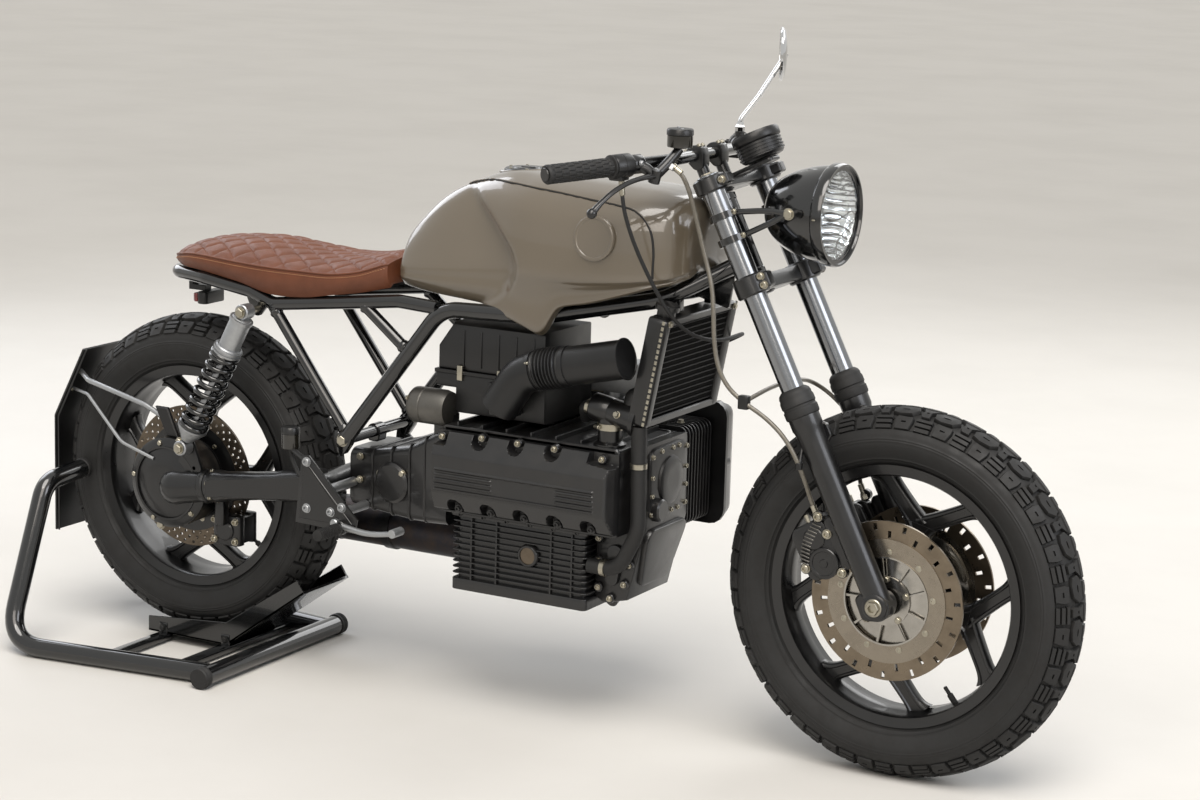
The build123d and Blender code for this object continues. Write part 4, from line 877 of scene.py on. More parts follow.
# Braided hose in a clear sleeve: light grey brown weave.
HOSE_BRAID = Finish(
    "sleeved braided hose", "hose_grey", "#6b665c", "#48443b", 12, 0.4, (0.3, 0.45), metallic=0.3, coat=0.4,
    grain=Grain.BRAIDED, grain_mm=1.2, depth_mm=0.15,
)
# Exhaust steel that has been hot: dark, blued near the ports.
HOT_STEEL = Finish(
    "heat stained steel", "dark_steel", "#37363a", "#57483c", 35, 0.6, (0.34, 0.55), metallic=0.9,
    grain=Grain.CAST, grain_mm=1.0, depth_mm=0.02,
)
# Smoked brown tub of a brake reservoir, opaque in its depth.
SMOKED = Finish(
    "smoked reservoir tub", "black_plastic", "#17150f", "#221f19", 80, 0.3, (0.1, 0.18), coat=0.6,
    grain=Grain.SMOOTH
)
# Clear glass over the dial.
CLEAR_GLASS = Finish(
    "clear glass", "lamp_glass", "#f4f6f6", "#eef1f1", 90, 0.1, (0.02, 0.04), grain=Grain.SMOOTH,
    see_through=1.0
)
# Waxed thread, a little paler than the leather, with the twist's relief.
SEAT_THREAD = Finish(
    "waxed seat thread", "leather_tan", "#b98a63", "#9c7250", 30, 0.4, (0.6, 0.75), grain=Grain.MOULDED,
    grain_mm=0.4, depth_mm=0.05
)
# Thin strip of the radiator core under matt paint.
CORE_ALLOY = Finish(
    "painted radiator core", "cast_black", "#080808", "#121110", 40, 0.4, (0.6, 0.75), grain=Grain.MOULDED,
    grain_mm=0.8, depth_mm=0.02,
)
# Studio floor: pale matt screed with a faint mottle.
STUDIO_FLOOR = Finish(
    "pale floor screed", "frame_black", "#d9d7d2", "#cfcdc8", 900, 0.5, (0.7, 0.85), grain=Grain.CAST,
    grain_mm=4.0, depth_mm=0.15
)
# Printed gauge card and its marks.
DIAL_CARD = Finish(
    "printed dial card",
    "black_plastic",
    "#0d0e0f",
    "#141516",
    100,
    0.2,
    (0.5, 0.6),
    grain_mm=0.5,
    depth_mm=0.004,
)
DIAL_MARKS = Finish(
    "screen printed marks",
    "lamp_glass",
    "#dcdcd6",
    "#c9c9c2",
    60,
    0.2,
    (0.5, 0.6),
    grain_mm=0.5,
    depth_mm=0.004,
)


# Placing pieces


def put(
    name: str,
    parts: Sequence[tuple[Shape, Finish]],
    body: str,
    replaces: Sequence[str] = (),
    sharp_deg: float = 32.0,
) -> bpy.types.Object:
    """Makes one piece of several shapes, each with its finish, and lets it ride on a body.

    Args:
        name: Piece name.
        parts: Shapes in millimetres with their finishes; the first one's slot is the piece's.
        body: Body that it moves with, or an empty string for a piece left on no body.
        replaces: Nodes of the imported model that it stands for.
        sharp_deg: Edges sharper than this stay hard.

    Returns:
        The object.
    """
    whole = joined([shape for shape, _ in parts])
    name = name.replace(" ", "_")
    mesh = bpy.data.meshes.new(name)
    mesh.vertices.add(len(whole.points))
    mesh.vertices.foreach_set("co", (whole.points * MM).astype(np.float32).ravel())
    corners = np.concatenate([group.ravel() for group in whole.faces])
    sizes = np.concatenate([np.full(len(group), group.shape[1]) for group in whole.faces])
    mesh.loops.add(len(corners))
    mesh.loops.foreach_set("vertex_index", corners.astype(np.int32))
    mesh.polygons.add(len(sizes))
    mesh.polygons.foreach_set("loop_start", np.concatenate([[0], np.cumsum(sizes)[:-1]]).astype(np.int32))
    finishes = list(dict.fromkeys(finish for _, finish in parts))
    counts = [(sum(len(group) for group in shape.faces), finishes.index(finish)) for shape, finish in parts]
    mesh.polygons.foreach_set(
        "material_index", np.concatenate([np.full(count, place) for count, place in counts]).astype(np.int32)
    )
    for finish in finishes:
        mesh.materials.append(finish.build())
    mesh.update(calc_edges=True)
    mesh.validate()
    mesh.shade_smooth()
    mesh.set_sharp_from_angle(angle=math.radians(sharp_deg))
    piece = bpy.data.objects.new(name, mesh)
    bpy.context.scene.collection.objects.link(piece)
    if body:
        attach(piece, body)
    if replaces:
        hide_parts(*replaces)
    log.info("%s: %d faces, rides on %s", name, len(sizes), body)
    return piece


# Wheels


@dataclass
class Tyre:
    """Dual-sport tyre: a carcass of revolution with blocks on the crown.

    Attributes:
        node: Node that it replaces.
        body: Body it moves with.
        axle: X and Z of the axle.
        radius: Radius over the blocks.
        half_width: Half the widest section.
        rim_r: Bead seat radius.
        bead: Half width at the beads.
        pitches: Block pitches round the crown.
    """

    node: str
    body: str
    axle: tuple[float, float]
    radius: float
    half_width: float
    rim_r: float
    bead: float
    pitches: int
    block_depth: float = 7.5
    crown_drop: float = 30.0

    @property
    def crown_r(self) -> float:
        """Radius of the crown's arc, from its half chord and its drop."""
        chord = self.half_width - 8
        return (chord**2 + self.crown_drop**2) / (2 * self.crown_drop)

    def section(self) -> Array:
        """Carcass profile from the right bead over the crown to the left bead and back inside.

        Returns:
            Rows of radius and place along the axle.
        """
        shoulder_r = self.radius - self.crown_drop
        reach = math.asin((self.half_width - 8) / self.crown_r)
        turn = np.linspace(-reach, reach, 25)
        depth = self.crown_r - self.block_depth
        crown = np.stack(
            [self.radius - self.crown_r + depth * np.cos(turn), depth * np.sin(turn)], axis=1
        )
        side = spline(
            [
                (shoulder_r - 4, self.half_width - 9),
                (shoulder_r - 14, self.half_width - 3.5),
                ((self.rim_r + shoulder_r) / 2 + 4, self.half_width - 0.5),
                (self.rim_r + 16, self.half_width - 9),
                (self.rim_r + 6, self.bead + 3),
                (self.rim_r + 0.5, self.bead),
            ],
            14,
        )
        for ring_r in (self.rim_r + 9, self.rim_r + 15, shoulder_r - 20, shoulder_r - 24):
            side[:, 1] += 1.1 * np.exp(-(((side[:, 0] - ring_r) / 1.2) ** 2))
        rim_line = [(self.rim_r + 0.5, self.bead - 6), (self.rim_r + 0.5, 6 - self.bead)]
        right = side[::-1] * (1, -1)
        return np.concatenate([right, crown, side, rim_line])

    def carcass(self) -> Shape:
        """Section turned round the axle."""
        return revolved(self.section(), (self.axle[0], 0, self.axle[1]), (0, 1, 0), ring=True, sides=144)

    def on_crown(self, around: Array, across: Array, rise: Array) -> Array:
        """Places on the tread: angle round the axle, arc across the crown, then out along its normal.

        Args:
            around: Angle round the axle in radians.
            across: Distance from the middle of the tread along the crown.
            rise: Height from the block tops.

        Returns:
            Array of places.
        """
        tilt = across / self.crown_r
        out = self.crown_r + rise
        radius = self.radius - self.crown_r + out * np.cos(tilt)
        return np.stack(
            [
                self.axle[0] + radius * np.cos(around),
                out * np.sin(tilt),
                self.axle[1] + radius * np.sin(around),
            ],
            axis=-1,
        )

    def blocks(self, outline: Sequence[tuple[float, float]], mirror: bool, slotted: bool) -> Shape:
        """One row of blocks: an outline in millimetres round and across, repeated at every pitch.

        Args:
            outline: Corners as (round, across).
            mirror: Whether the row lies on the other half, where it is half a pitch further on.
            slotted: Whether each block has a short slot in its top.

        Returns:
            The row.
        """
        flat = np.asarray(outline, float) * (1, -1 if mirror else 1)
        middle = flat.mean(axis=0)
        rows = [(1.08, 1.08, -self.block_depth - 2.0), (0.98, 0.98, -1.0), (0.93, 0.93, 0.0)]
        if slotted:
            rows += [(0.3, 0.12, 0.0), (0.28, 0.1, -3.5)]
        layers = np.array(rows)
        step = 2 * math.pi / self.pitches
        start = (np.arange(self.pitches) + 0.5 * mirror)[:, None, None] * step
        rings = middle + (flat - middle) * layers[:, None, :2]
        around = start + rings[None, :, :, 0] / self.radius
        across = np.broadcast_to(rings[None, :, :, 1], around.shape)
        places = self.on_crown(around, across, np.broadcast_to(layers[:, 2:], around.shape[1:])[None])
        levels = len(layers)
        count = len(flat)
        index = np.arange(levels * count).reshape(levels, count)
        ahead = np.roll(index, -1, axis=1)
        walls = np.stack([index[:-1], index[1:], ahead[1:], ahead[:-1]], axis=-1).reshape(-1, 4)
        one = Shape(places[0].reshape(-1, 3), [walls, index[:1], index[-1:, ::-1]])
        flip = one.outward() is not one
        starts = (np.arange(self.pitches) * levels * count)[:, None, None]
        groups = [(group[None] + starts).reshape(-1, group.shape[1]) for group in one.faces]
        whole = Shape(places.reshape(-1, 3), groups)
        return whole.flipped() if flip else whole

    def tread(self) -> list[Shape]:
        """Slanted centre blocks, then shoulder blocks of which every other one is cut into three bars.

        Returns:
            The rows of both halves.
        """
        pitch = 2 * math.pi * self.radius / self.pitches
        slotted = [
            [(2, 3), (34, 3), (46, 13), (44, 27), (30, 31), (8, 28), (-3, 15)],
            [(41, 3), (71, 3), (67, 14), (69, 26), (66, 32), (51, 32), (53, 14)],
            [(1, 37), (31, 36), (34, 45), (33, 63), (4, 63), (0, 47)],
        ]
        bars = [
            [(40, low), (71, low), (72, high), (40, high)]
            for low, high in ((37, 43), (46, 53), (56, 63))
        ]
        wide = self.half_width / 59.0
        rows = []
        for outline in slotted + bars:
            scaled = [(along * pitch / 77.7, across * wide) for along, across in outline]
            rows += [self.blocks(scaled, mirror, outline in slotted) for mirror in (False, True)]
        return rows

    def build(self) -> None:
        """Makes the tyre and hides its plain solid."""
        put(self.node, [(joined([self.carcass(), *self.tread()]), TYRE_RUBBER)], self.body, [self.node])


@dataclass
class CastWheel:
    """Cast wheel with forked spoke pairs, its hub and its valve stem.

    Attributes:
        body: Body it moves with.
        node: Rim node that it replaces.
        axle: X and Z of the axle.
        rim_r: Bead seat radius.
        rim_half: Half the rim's width over its flanges.
        hub: Low and high Y of the hub.
        phase: Angle of the first spoke pair, in degrees.
        bore: Radius of the axle's hole.
    """

    body: str
    node: str
    axle: tuple[float, float]
    rim_r: float
    rim_half: float
    hub: tuple[float, float]
    phase: float
    bore: float
    pairs: int = 4
    fork_r: float = 126.0
    spread: float = 25.0

    @property
    def centre(self) -> tuple[float, float, float]:
        """Middle of the axle on the bike's centre plane."""
        return self.axle[0], 0.0, self.axle[1]

    def at(self, radius: float, degrees: float, y: float = 0.0) -> Array:
        """Place at a radius and an angle, which is counted from the rear towards the top."""
        turn = math.radians(degrees)
        return np.array([self.axle[0] - radius * math.cos(turn), y, self.axle[1] + radius * math.sin(turn)])

    def rim(self) -> Shape:
        """Rim profile with lips, bead seats and a drop centre, turned round the axle."""
        half, radius = self.rim_half, self.rim_r
        outer = [
            (radius - 2, -half + 1), (radius + 3.4, -half), (radius + 3.6, -half + 3),
            (radius - 3, -half + 7),
            (radius - 5, -half + 20), (radius - 13, -half + 27), (radius - 13, half - 27),
            (radius - 5, half - 20),
            (radius - 3, half - 7), (radius + 3.6, half - 3), (radius + 3.4, half), (radius - 2, half - 1),
        ]
        inner = [
            (radius - 14, half - 3), (radius - 17, half - 8), (radius - 16, half - 22), (radius - 20, 12),
            (radius - 20, -12), (radius - 16, -half + 22), (radius - 17, -half + 8), (radius - 14, -half + 3),
        ]
        return revolved(outer + inner, self.centre, (0, 1, 0), ring=True, sides=128)

    def beam(self, start: Array, end: Array, first: tuple[float, float], last: tuple[float, float]) -> Shape:
        """Spoke with a shallow channel in both faces; it tapers, then flares into the rim.

        Args:
            start: Middle of the inner end.
            end: Middle of the outer end.
            first: Width and depth at the inner end.
            last: Width and depth at the outer end.

        Returns:
            A closed surface.
        """
        along = unit(end - start)
        side = np.cross(along, (0, 1, 0))
        share = np.linspace(0, 1, 19)[:, None]
        flare = 1 + 0.2 * (1 - share) ** 6 + 0.85 * share**11
        width = (first[0] + (last[0] - first[0]) * share) * flare
        depth = (first[1] + (last[1] - first[1]) * share) * (1 + 0.1 * share**8)
        half = np.array([(-0.5, 0.24), (-0.42, 0.46), (-0.36, 0.5), (-0.28, 0.5), (-0.22, 0.4)])
        front = np.concatenate([half, half[::-1] * (-1, 1)])
        corners = np.concatenate([front, front[::-1] * (1, -1)])
        middle = start + share * (end - start)
        points = (
            middle[:, None]
            + corners[None, :, :1] * width[:, None] * side
            + corners[None, :, 1:] * depth[:, None] * np.array((0.0, 1.0, 0.0))
        )
        return lattice(points)

    def spokes(self) -> Shape:
        """Forked pairs: a stem from the hub, then two arms to the rim."""
        beams = []
        for pair in range(self.pairs):
            turn = self.phase + pair * 360 / self.pairs
            fork = self.at(self.fork_r, turn)
            beams.append(self.beam(self.at(30, turn), self.at(self.fork_r + 6, turn), (48, 40), (40, 28)))
            for side in (-1, 1):
                beams.append(
                    self.beam(fork, self.at(self.rim_r - 14, turn + side * self.spread), (33, 27), (28, 24))
                )
        return joined(beams)

    def hub_shape(self) -> Shape:
        """Hub barrel with a waist, bored through."""
        low, high = self.hub
        profile = [
            (self.bore, low), (38, low), (40, low + 2), (40, low + 9), (33, low + 16), (33, high - 16),
            (40, high - 9), (40, high - 2), (38, high), (self.bore, high),
        ]
        return revolved(profile, self.centre, (0, 1, 0), ring=True, sides=64)

    def valve(self) -> Shape:
        """Rubber valve stem with its cap, on the inner side of the rim."""
        foot = self.at(self.rim_r - 18, self.phase + 135, -10)
        tip = self.at(self.rim_r - 52, self.phase + 135, -18)
        middle = foot + 0.55 * (tip - foot)
        return joined([rod(foot, middle, 5.5, 14), rod(middle, tip, 3.6, 12)])

    def build(self) -> None:
        """Makes the cast wheel."""
        put(
            self.node,
            [
                (joined([self.rim(), self.spokes(), self.hub_shape()]), CAST_BLACK),
                (self.valve(), BLACK_RUBBER_AND_SEAM_SHADE),
            ],
            self.body,
            [self.node],
            sharp_deg=40,
        )


@dataclass
class BrakeDisc:
    """Slotted braking band on rivets round a ribbed carrier.

    Attributes:
        axle: X and Z of the axle.
        y: Low and high Y of the band.
        outer: Outside radius.
        band: Finish of the band.
        carrier: Finish of the flat ring inside the band.
        centre: Finish of the ribbed middle.
        outside: Which way the bolt heads face, -1 for the right.
        bore: Radius of the carrier's hole.
        slots: How many slots or columns of holes the band has.
        ribs: How many ribs the carrier has.
        band_depth: Width of the band.
        drilled: Whether the band has round holes in place of slots.
    """

    axle: tuple[float, float]
    y: tuple[float, float]
    outer: float
    band: Finish
    carrier: Finish
    centre: Finish
    outside: int
    bore: float
    slots: int = 30
    ribs: int = 9
    band_depth: float = 34.0
    drilled: bool = False

    def ring(self, radii: Sequence[float], turns: Array, solid: Array, span: tuple[float, float]) -> Shape:
        """Flat ring kept in its solid cells between two places along the axle.

        Args:
            radii: Radius of each row, or of each point.
            turns: Angle of each column or point, in radians.
            solid: Solid cells.
            span: Low and high Y.

        Returns:
            A closed surface.
        """
        rows = np.asarray(radii, float)
        rows = rows[:, None] if rows.ndim == 1 else rows
        across, up = rows * np.cos(turns), rows * np.sin(turns)
        flat = np.stack([self.axle[0] + across, np.zeros_like(across), self.axle[1] + up], axis=-1)
        return pierced_plate(flat + (0, span[0], 0), flat + (0, span[1], 0), solid, wrap=True)

    def braking_band(self) -> Shape:
        """Band whose slots alternate between an inner and an outer row."""
        inner = self.outer - self.band_depth
        radii = [inner, inner + 4, inner + 17, inner + 18, inner + 30, self.outer]
        pitch = 2 * math.pi / self.slots
        slot = 6.5 / (inner + 17)
        marks = np.array([0.0, pitch / 2 - slot / 2, pitch / 2 + slot / 2, pitch * 0.82])
        turns = (np.arange(self.slots)[:, None] * pitch + marks).ravel()
        solid = np.ones((5, 4 * self.slots), bool)
        solid[1, 5::8] = False
        solid[3, 1::8] = False
        return self.ring(radii, turns, solid, self.y)

    def drilled_band(self) -> Shape:
        """Band with three staggered rows of holes, each an octagon of grid points moved onto its circle."""
        inner = self.outer - self.band_depth
        hole = 3.3
        wide = hole / (inner + 17)
        pitch = 2 * math.pi / self.slots
        middles = inner + np.array([7.0, 17.0, 27.0])
        steps = np.array([-1.0, 0.0, 1.0])
        radii = np.concatenate([[inner], (middles[:, None] + hole * steps).ravel(), [self.outer]])
        marks = np.concatenate([pitch * 0.25 + wide * steps, pitch * 0.75 + wide * steps])
        turns = (np.arange(self.slots)[:, None] * pitch + marks).ravel()
        rows, turns = np.meshgrid(radii, turns, indexing="ij")
        solid = np.ones((len(radii) - 1, turns.shape[1]), bool)
        for row in range(3):
            low, left = 1 + 3 * row, 3 * (row % 2)
            for up in (0, 1):
                for over in (0, 1):
                    solid[low + up, left + over :: 6] = False
                    rows[low + 2 * up, left + 2 * over :: 6] += (1 - 2 * up) * 0.3 * hole
                    turns[low + 2 * up, left + 2 * over :: 6] += (1 - 2 * over) * 0.3 * wide
        return self.ring(rows, turns, solid, self.y)

    def carrier_shape(self) -> Shape:
        """Flat ring that meets the band, with the carrier's wide opening in it."""
        inner = self.outer - self.band_depth
        low, high = self.y
        span = (low + 0.8, high + 1.6) if self.outside > 0 else (low - 1.6, high - 0.8)
        turns = np.linspace(0, 2 * math.pi, 97)[:-1]
        return self.ring([inner - 30, inner - 27, inner + 2.5], turns, np.ones((2, 96), bool), span)

    def spider(self) -> Shape:
        """Polished inner carrier: a boss and ribs that reach the flat ring."""
        inner = self.outer - self.band_depth
        low, high = self.y
        span = (low + 0.8, high + 0.6) if self.outside > 0 else (low - 0.6, high - 0.8)
        radii = [self.bore, 34.0, 44.0, inner - 29]
        pitch = 2 * math.pi / self.ribs
        marks = pitch * np.array([0.0, 0.44, 0.46, 0.54, 0.56, 0.8])
        turns = (np.arange(self.ribs)[:, None] * pitch + marks).ravel()
        solid = np.ones((3, 6 * self.ribs), bool)
        solid[2].reshape(self.ribs, 6)[:, [0, 1, 3, 4, 5]] = False
        return self.ring(radii, turns, solid, span)

    def parts(self) -> list[tuple[Shape, Finish]]:
        """Band, carrier, rivets and bolts with their finishes.

        Returns:
            Shapes with finishes.
        """
        inner = self.outer - self.band_depth
        face = self.y[1] + 1.4 if self.outside > 0 else self.y[0] - 1.4
        axis = (0, self.outside, 0)
        centre = (self.axle[0], face, self.axle[1])
        rivets = bolts(polar_places(centre, axis, inner - 20, self.ribs, 9), axis, 4.6, 2.0, Head.SOCKET)
        fixings = bolts(polar_places(centre, axis, 39, 5, 20), axis, 5.0, 4.0, Head.HEX)
        inside = self.y[0] if self.outside > 0 else self.y[1]
        bowl = [
            (self.bore, 0.2), (40, 0.2), (48, 3.5), (84, 3.5), (96, 0.2), (96, 2), (84, 5.5), (40, 5.5),
            (self.bore, 3),
        ]
        dish = revolved(
            bowl, (self.axle[0], inside, self.axle[1]), (0, -self.outside, 0), ring=True, sides=72
        )
        lip = [(inner - 32, -0.4), (inner - 29, -0.4), (inner - 28.6, 1.9), (inner - 31.6, 1.9)]
        edge = revolved(lip, centre, axis, ring=True, sides=72)
        band = self.drilled_band() if self.drilled else self.braking_band()
        return [
            (band, self.band),
            (self.carrier_shape(), self.carrier),
            (joined([self.spider(), dish, edge]), self.centre),
            (joined([rivets, fixings]), ZINC),
        ]


# Places shared by the wheels and the front end

FRONT_AXLE = (758.0, 333.8)
REAR_AXLE = (-758.0, 345.1)
FRONT_RIM_R, REAR_RIM_R = 232.0, 219.0
FRONT_DISC_R, REAR_DISC_R = 142.4, 142.0
RAKE = math.radians(26.95)
LEG_Y = 103.8
STEER_BACK = 45.0
# Columns: forward of the fork legs, to the left, and up along them; then with the last two changed over
FORK_AXES = np.array([(math.cos(RAKE), 0, -math.sin(RAKE)), (0, 1.0, 0), (math.sin(RAKE), 0, math.cos(RAKE))])
FORK_ACROSS = FORK_AXES[:, [0, 2, 1]]
UP_LEG = tuple(FORK_AXES[:, 2])
FORK_ORIGIN = np.array([FRONT_AXLE[0], 0, FRONT_AXLE[1]])


def fork_place(forward: float, left: float, up: float) -> Array:
    """World place from places forward of the fork legs, to the left, and up along them."""
    return FORK_ORIGIN + FORK_AXES @ np.array([forward, left, up], float)


def on_leg(profile: Sequence[tuple[float, float]], forward: float, left: float, sides: int = 48) -> Shape:
    """Profile of radius and height up the leg, turned round a line beside the fork legs."""
    return revolved(profile, fork_place(forward, left, 0), UP_LEG, sides=sides)


def grooved(
    start: float, end: float, radius: float, depth: float, pitch: float, crest: float = 0.55
) -> list[tuple[float, float]]:
    """Profile with square ribs from one height to another.

    Args:
        start: First height.
        end: Last height.
        radius: Radius over the ribs.
        depth: Depth of the grooves.
        pitch: Distance from rib to rib.
        crest: Share of the pitch that a rib takes.

    Returns:
        Rows of radius and height.
    """
    count = max(1, round((end - start) / pitch))
    step = (end - start) / count
    rows = [(radius - depth, start)]
    for place in start + step * np.arange(count):
        low, high = place + step * (0.5 - crest / 2), place + step * (0.5 + crest / 2)
        rows += [(radius - depth, low), (radius, low + 0.4), (radius, high - 0.4), (radius - depth, high)]
    return rows + [(radius - depth, end)]


@dataclass
class Fork:
    """Telescopic fork with its clamps, brake calipers and axle."""

    slider_r: float = 24.5
    stanchion_r: float = 20.5
    axle_lug: tuple[float, float] = (79.0, 128.6)

    def stanchions(self) -> None:
        """Chromed tubes with an anodised cap in each top."""
        tubes, caps = [], []
        for side in (-1, 1):
            r = self.stanchion_r
            tubes.append(on_leg([(r - 1, 330), (r, 331), (r, 800), (r - 1.5, 801.5)], 0, side * LEG_Y, 64))
            caps.append(on_leg([(18, 799), (18, 802), (15.5, 803)], 0, side * LEG_Y, 40))
            caps.append(
                on_leg([(11, 802), (11, 804.5), (9.5, 805.5), (5, 805.5), (4.5, 803)], 0, side * LEG_Y, 6)
            )
        put(
            "fork tubes",
            [(joined(tubes), FORK_CHROME), (joined(caps), ZINC)],
            "steering",
            ["fork_stanchions"],
        )

    def sliders(self) -> None:
        """Cast lower legs with dust caps, axle lugs, pinch bolts and caliper lugs."""
        legs, caps, fixings = [], [], []
        r = self.slider_r
        for side in (-1, 1):
            y = side * LEG_Y
            leg = [
                (12, -24), (19, -22), (22.5, -14), (23, 20), (r - 1.4, 70), (r - 0.8, 180), (r, 300),
                (r + 1.5, 326),
            ]
            legs.append(on_leg(leg + [(r + 3.5, 332), (r + 3.5, 351), (r + 2, 353)], 0, y, 56))
            caps.append(
                on_leg(
                    [
                        (27, 350), (30, 352), (31, 355), (31, 366), (29.3, 368), (29.3, 371), (31, 373),
                        (31, 383), (29, 388), (29.6, 391), (27.5, 397), (23, 401), (21.2, 402), (20.6, 399),
                    ],
                    0,
                    y,
                    56,
                )
            )
            near, far = self.axle_lug
            legs.append(
                revolved(
                    [
                        (20, near), (23, near + 2), (23, near + 12), (21, near + 16), (21, far - 12),
                        (23, far - 8), (23, far - 2), (20, far),
                    ],
                    (FRONT_AXLE[0], 0, FRONT_AXLE[1]),
                    (0, side, 0),
                )
            )
            foot = hull_outline([(0, -4, 23), (-22, 18, 11), (-24, -8, 10)])
            legs.append(
                slab(
                    foot, min(side * 84, side * 122), max(side * 84, side * 122), FORK_ACROSS, FORK_ORIGIN, 3
                )
            )
            for up in (-10, 20):
                fixings.append(
                    bolts([fork_place(-33, side * 100, up - 4)], -FORK_AXES[:, 0], 6.5, 7, Head.SOCKET)
                )
            lug = hull_outline([(-8, 92, 14), (-30, 86, 11), (-30, 162, 11), (-8, 158, 14)])
            low, high = sorted((side * 94, side * 106))
            legs.append(slab(lug, low, high, FORK_ACROSS, FORK_ORIGIN, 3, True))
            guard = hull_outline([(10, 300, 9), (24, 306, 6), (24, 322, 6), (10, 330, 9)])
            low, high = sorted((side * 82, side * 92))
            legs.append(slab(guard, low, high, FORK_ACROSS, FORK_ORIGIN, 2))
        put(
            "fork sliders",
            [(joined(legs), CAST_BLACK), (joined(caps), BLACK_RUBBER_AND_SEAM_SHADE), (joined(fixings), ZINC)],
            "steering",
            ["fork_sliders"],
            sharp_deg=36,
        )

    def axle(self) -> None:
        """Hollow axle with its head and locking nut."""
        x, z = FRONT_AXLE
        parts = [rod((x, -131, z), (x, 131, z), 10)]
        for side in (-1, 1):
            parts.append(
                revolved(
                    [(16, 128), (16, 131), (14.5, 132.5), (9, 132.5), (8, 130)],
                    (x, 0, z),
                    (0, side, 0),
                    sides=32,
                )
            )
            hexagon = [(13, 131.5), (13, 136.5), (12, 138), (7.5, 138), (7, 133)]
            parts.append(revolved(hexagon, (x, 0, z), (0, side, 0), sides=6))
        put("front axle", [(joined(parts), ZINC)], "steering", ["front_axle"])

    def clamps(self) -> None:
        """Upper and lower clamps with bosses, pinch slots, stem nut and bolts."""
        cast, metal = [], []
        for low, high, upper in ((577, 613, False), (770, 798, True)):
            web = hull_outline(
                [(-6, LEG_Y, 16), (-6, -LEG_Y, 16), (-45, 26, 12), (-45, -26, 12), (-26, 0, 18)]
            )
            cast.append(slab(web, low + 5, high - 4, FORK_AXES, FORK_ORIGIN, 3, True))
            cast.append(on_leg([(26, low + 1), (30, low + 4), (30, high - 3), (27, high)], -STEER_BACK, 0))
            for side in (-1, 1):
                cast.append(
                    on_leg([(27, low), (30, low + 3), (30, high - 3), (27, high)], 0, side * LEG_Y, 56)
                )
                ear = hull_outline(
                    [
                        (24, side * LEG_Y - 9, 8), (36, side * LEG_Y - 7, 6), (24, side * LEG_Y + 9, 8),
                        (36, side * LEG_Y + 7, 6),
                    ]
                )
                cast.append(slab(ear, low + 4, high - 4, FORK_AXES, FORK_ORIGIN, 3))
                for up in ((low + 10, high - 10) if not upper else ((low + high) / 2,)):
                    metal.append(
                        bolts([fork_place(31, side * (LEG_Y + 14), up)], (0, side, 0), 6, 6, Head.SOCKET)
                    )
        metal.append(on_leg([(17, 797), (17, 803), (15, 805)], -STEER_BACK, 0, 6))
        metal.append(on_leg([(10, 804), (10, 807), (8, 808)], -STEER_BACK, 0, 24))
        cast.append(on_leg([(13, 600), (13, 780)], -STEER_BACK, 0))
        tongue = hull_outline([(10, -14, 12), (10, 14, 12), (78, -12, 8), (78, 12, 8)])
        cast.append(slab(tongue, 788, 796, FORK_AXES, FORK_ORIGIN, 2, True))
        put(
            "fork clamps",
            [(joined(cast), CAST_BLACK), (joined(metal), ZINC)],
            "steering",
            ["fork_clamps"],
            sharp_deg=36,
        )

    def calipers(self) -> None:
        """Calipers: two halves with a ribbed edge, a bridge over the disc, a round cap, pins and bolts."""
        body, metal, ribs = [], [], []
        half = hull_outline([(-52, 92, 15), (-92, 92, 17), (-94, 156, 18), (-56, 160, 15)])
        for side in (-1, 1):
            for near, far in ((79.5, 104), (49, 63)):
                low, high = sorted((side * near, side * far))
                body.append(slab(half, low, high, FORK_ACROSS, FORK_ORIGIN, 4, True))
            bridge = hull_outline([(-104, 118, 8), (-98, 164, 10), (-66, 167, 10), (-96, 148, 8)])
            low, high = sorted((side * 52, side * 102))
            body.append(slab(bridge, low, high, FORK_ACROSS, FORK_ORIGIN, 3, True))
            cap = [(28, 100), (28, 109), (26.5, 110.5), (22, 110.5), (21, 109), (8, 109), (7, 110.5)]
            body.append(revolved(cap, fork_place(-68, 0, 100), (0, side, 0), sides=56))
            body.append(revolved([(20, 100), (20, 106), (18, 107.5)], fork_place(-70, 0, 146), (0, side, 0)))
            low, high = sorted((side * 84, side * 108))
            # the ribs are drawn in pale raw alloy as a painted highlight along their edges
            for share in np.linspace(0, 1, 12):
                bow = math.sin(math.pi * share)
                forward, up = -60 - 50 * share - 6 * bow, 172 - 55 * share + 4 * bow
                rib = hull_outline([(forward, up, 1.3), (forward + 12, up - 11, 1.3)], 16)
                ribs.append(slab(rib, low, high, FORK_ACROSS, FORK_ORIGIN, 0.5))
            for forward, up in ((-46, 180), (-42, 146), (-106, 103), (-43, 74)):
                boss = [(10, 96), (10, 106), (9, 107)]
                body.append(revolved(boss, fork_place(forward, 0, up), (0, side, 0), sides=32))
                metal.append(bolts([fork_place(forward, side * 106.6, up)], (0, side, 0), 7, 6, Head.SOCKET))
            metal.append(rod(fork_place(-74, side * 92, 176), fork_place(-74, side * 92, 190), 4, 6))
            metal.append(rod(fork_place(-50, side * 100, 172), fork_place(-50, side * 100, 181), 8, 6))
            metal.append(rod(fork_place(-84, side * 58, 125), fork_place(-84, side * 96, 125), 3))
        put(
            "front calipers",
            [(joined(body), CAST_BLACK), (joined(metal), ZINC), (joined(ribs), RAW_ALLOY_AND_RIB_HIGHLIGHT)],
            "steering",
            ["front_calipers"],
            sharp_deg=36,
        )

    def build(self) -> None:
        """Makes every piece of the fork."""
        self.stanchions()
        self.sliders()
        self.axle()
        self.clamps()
        self.calipers()


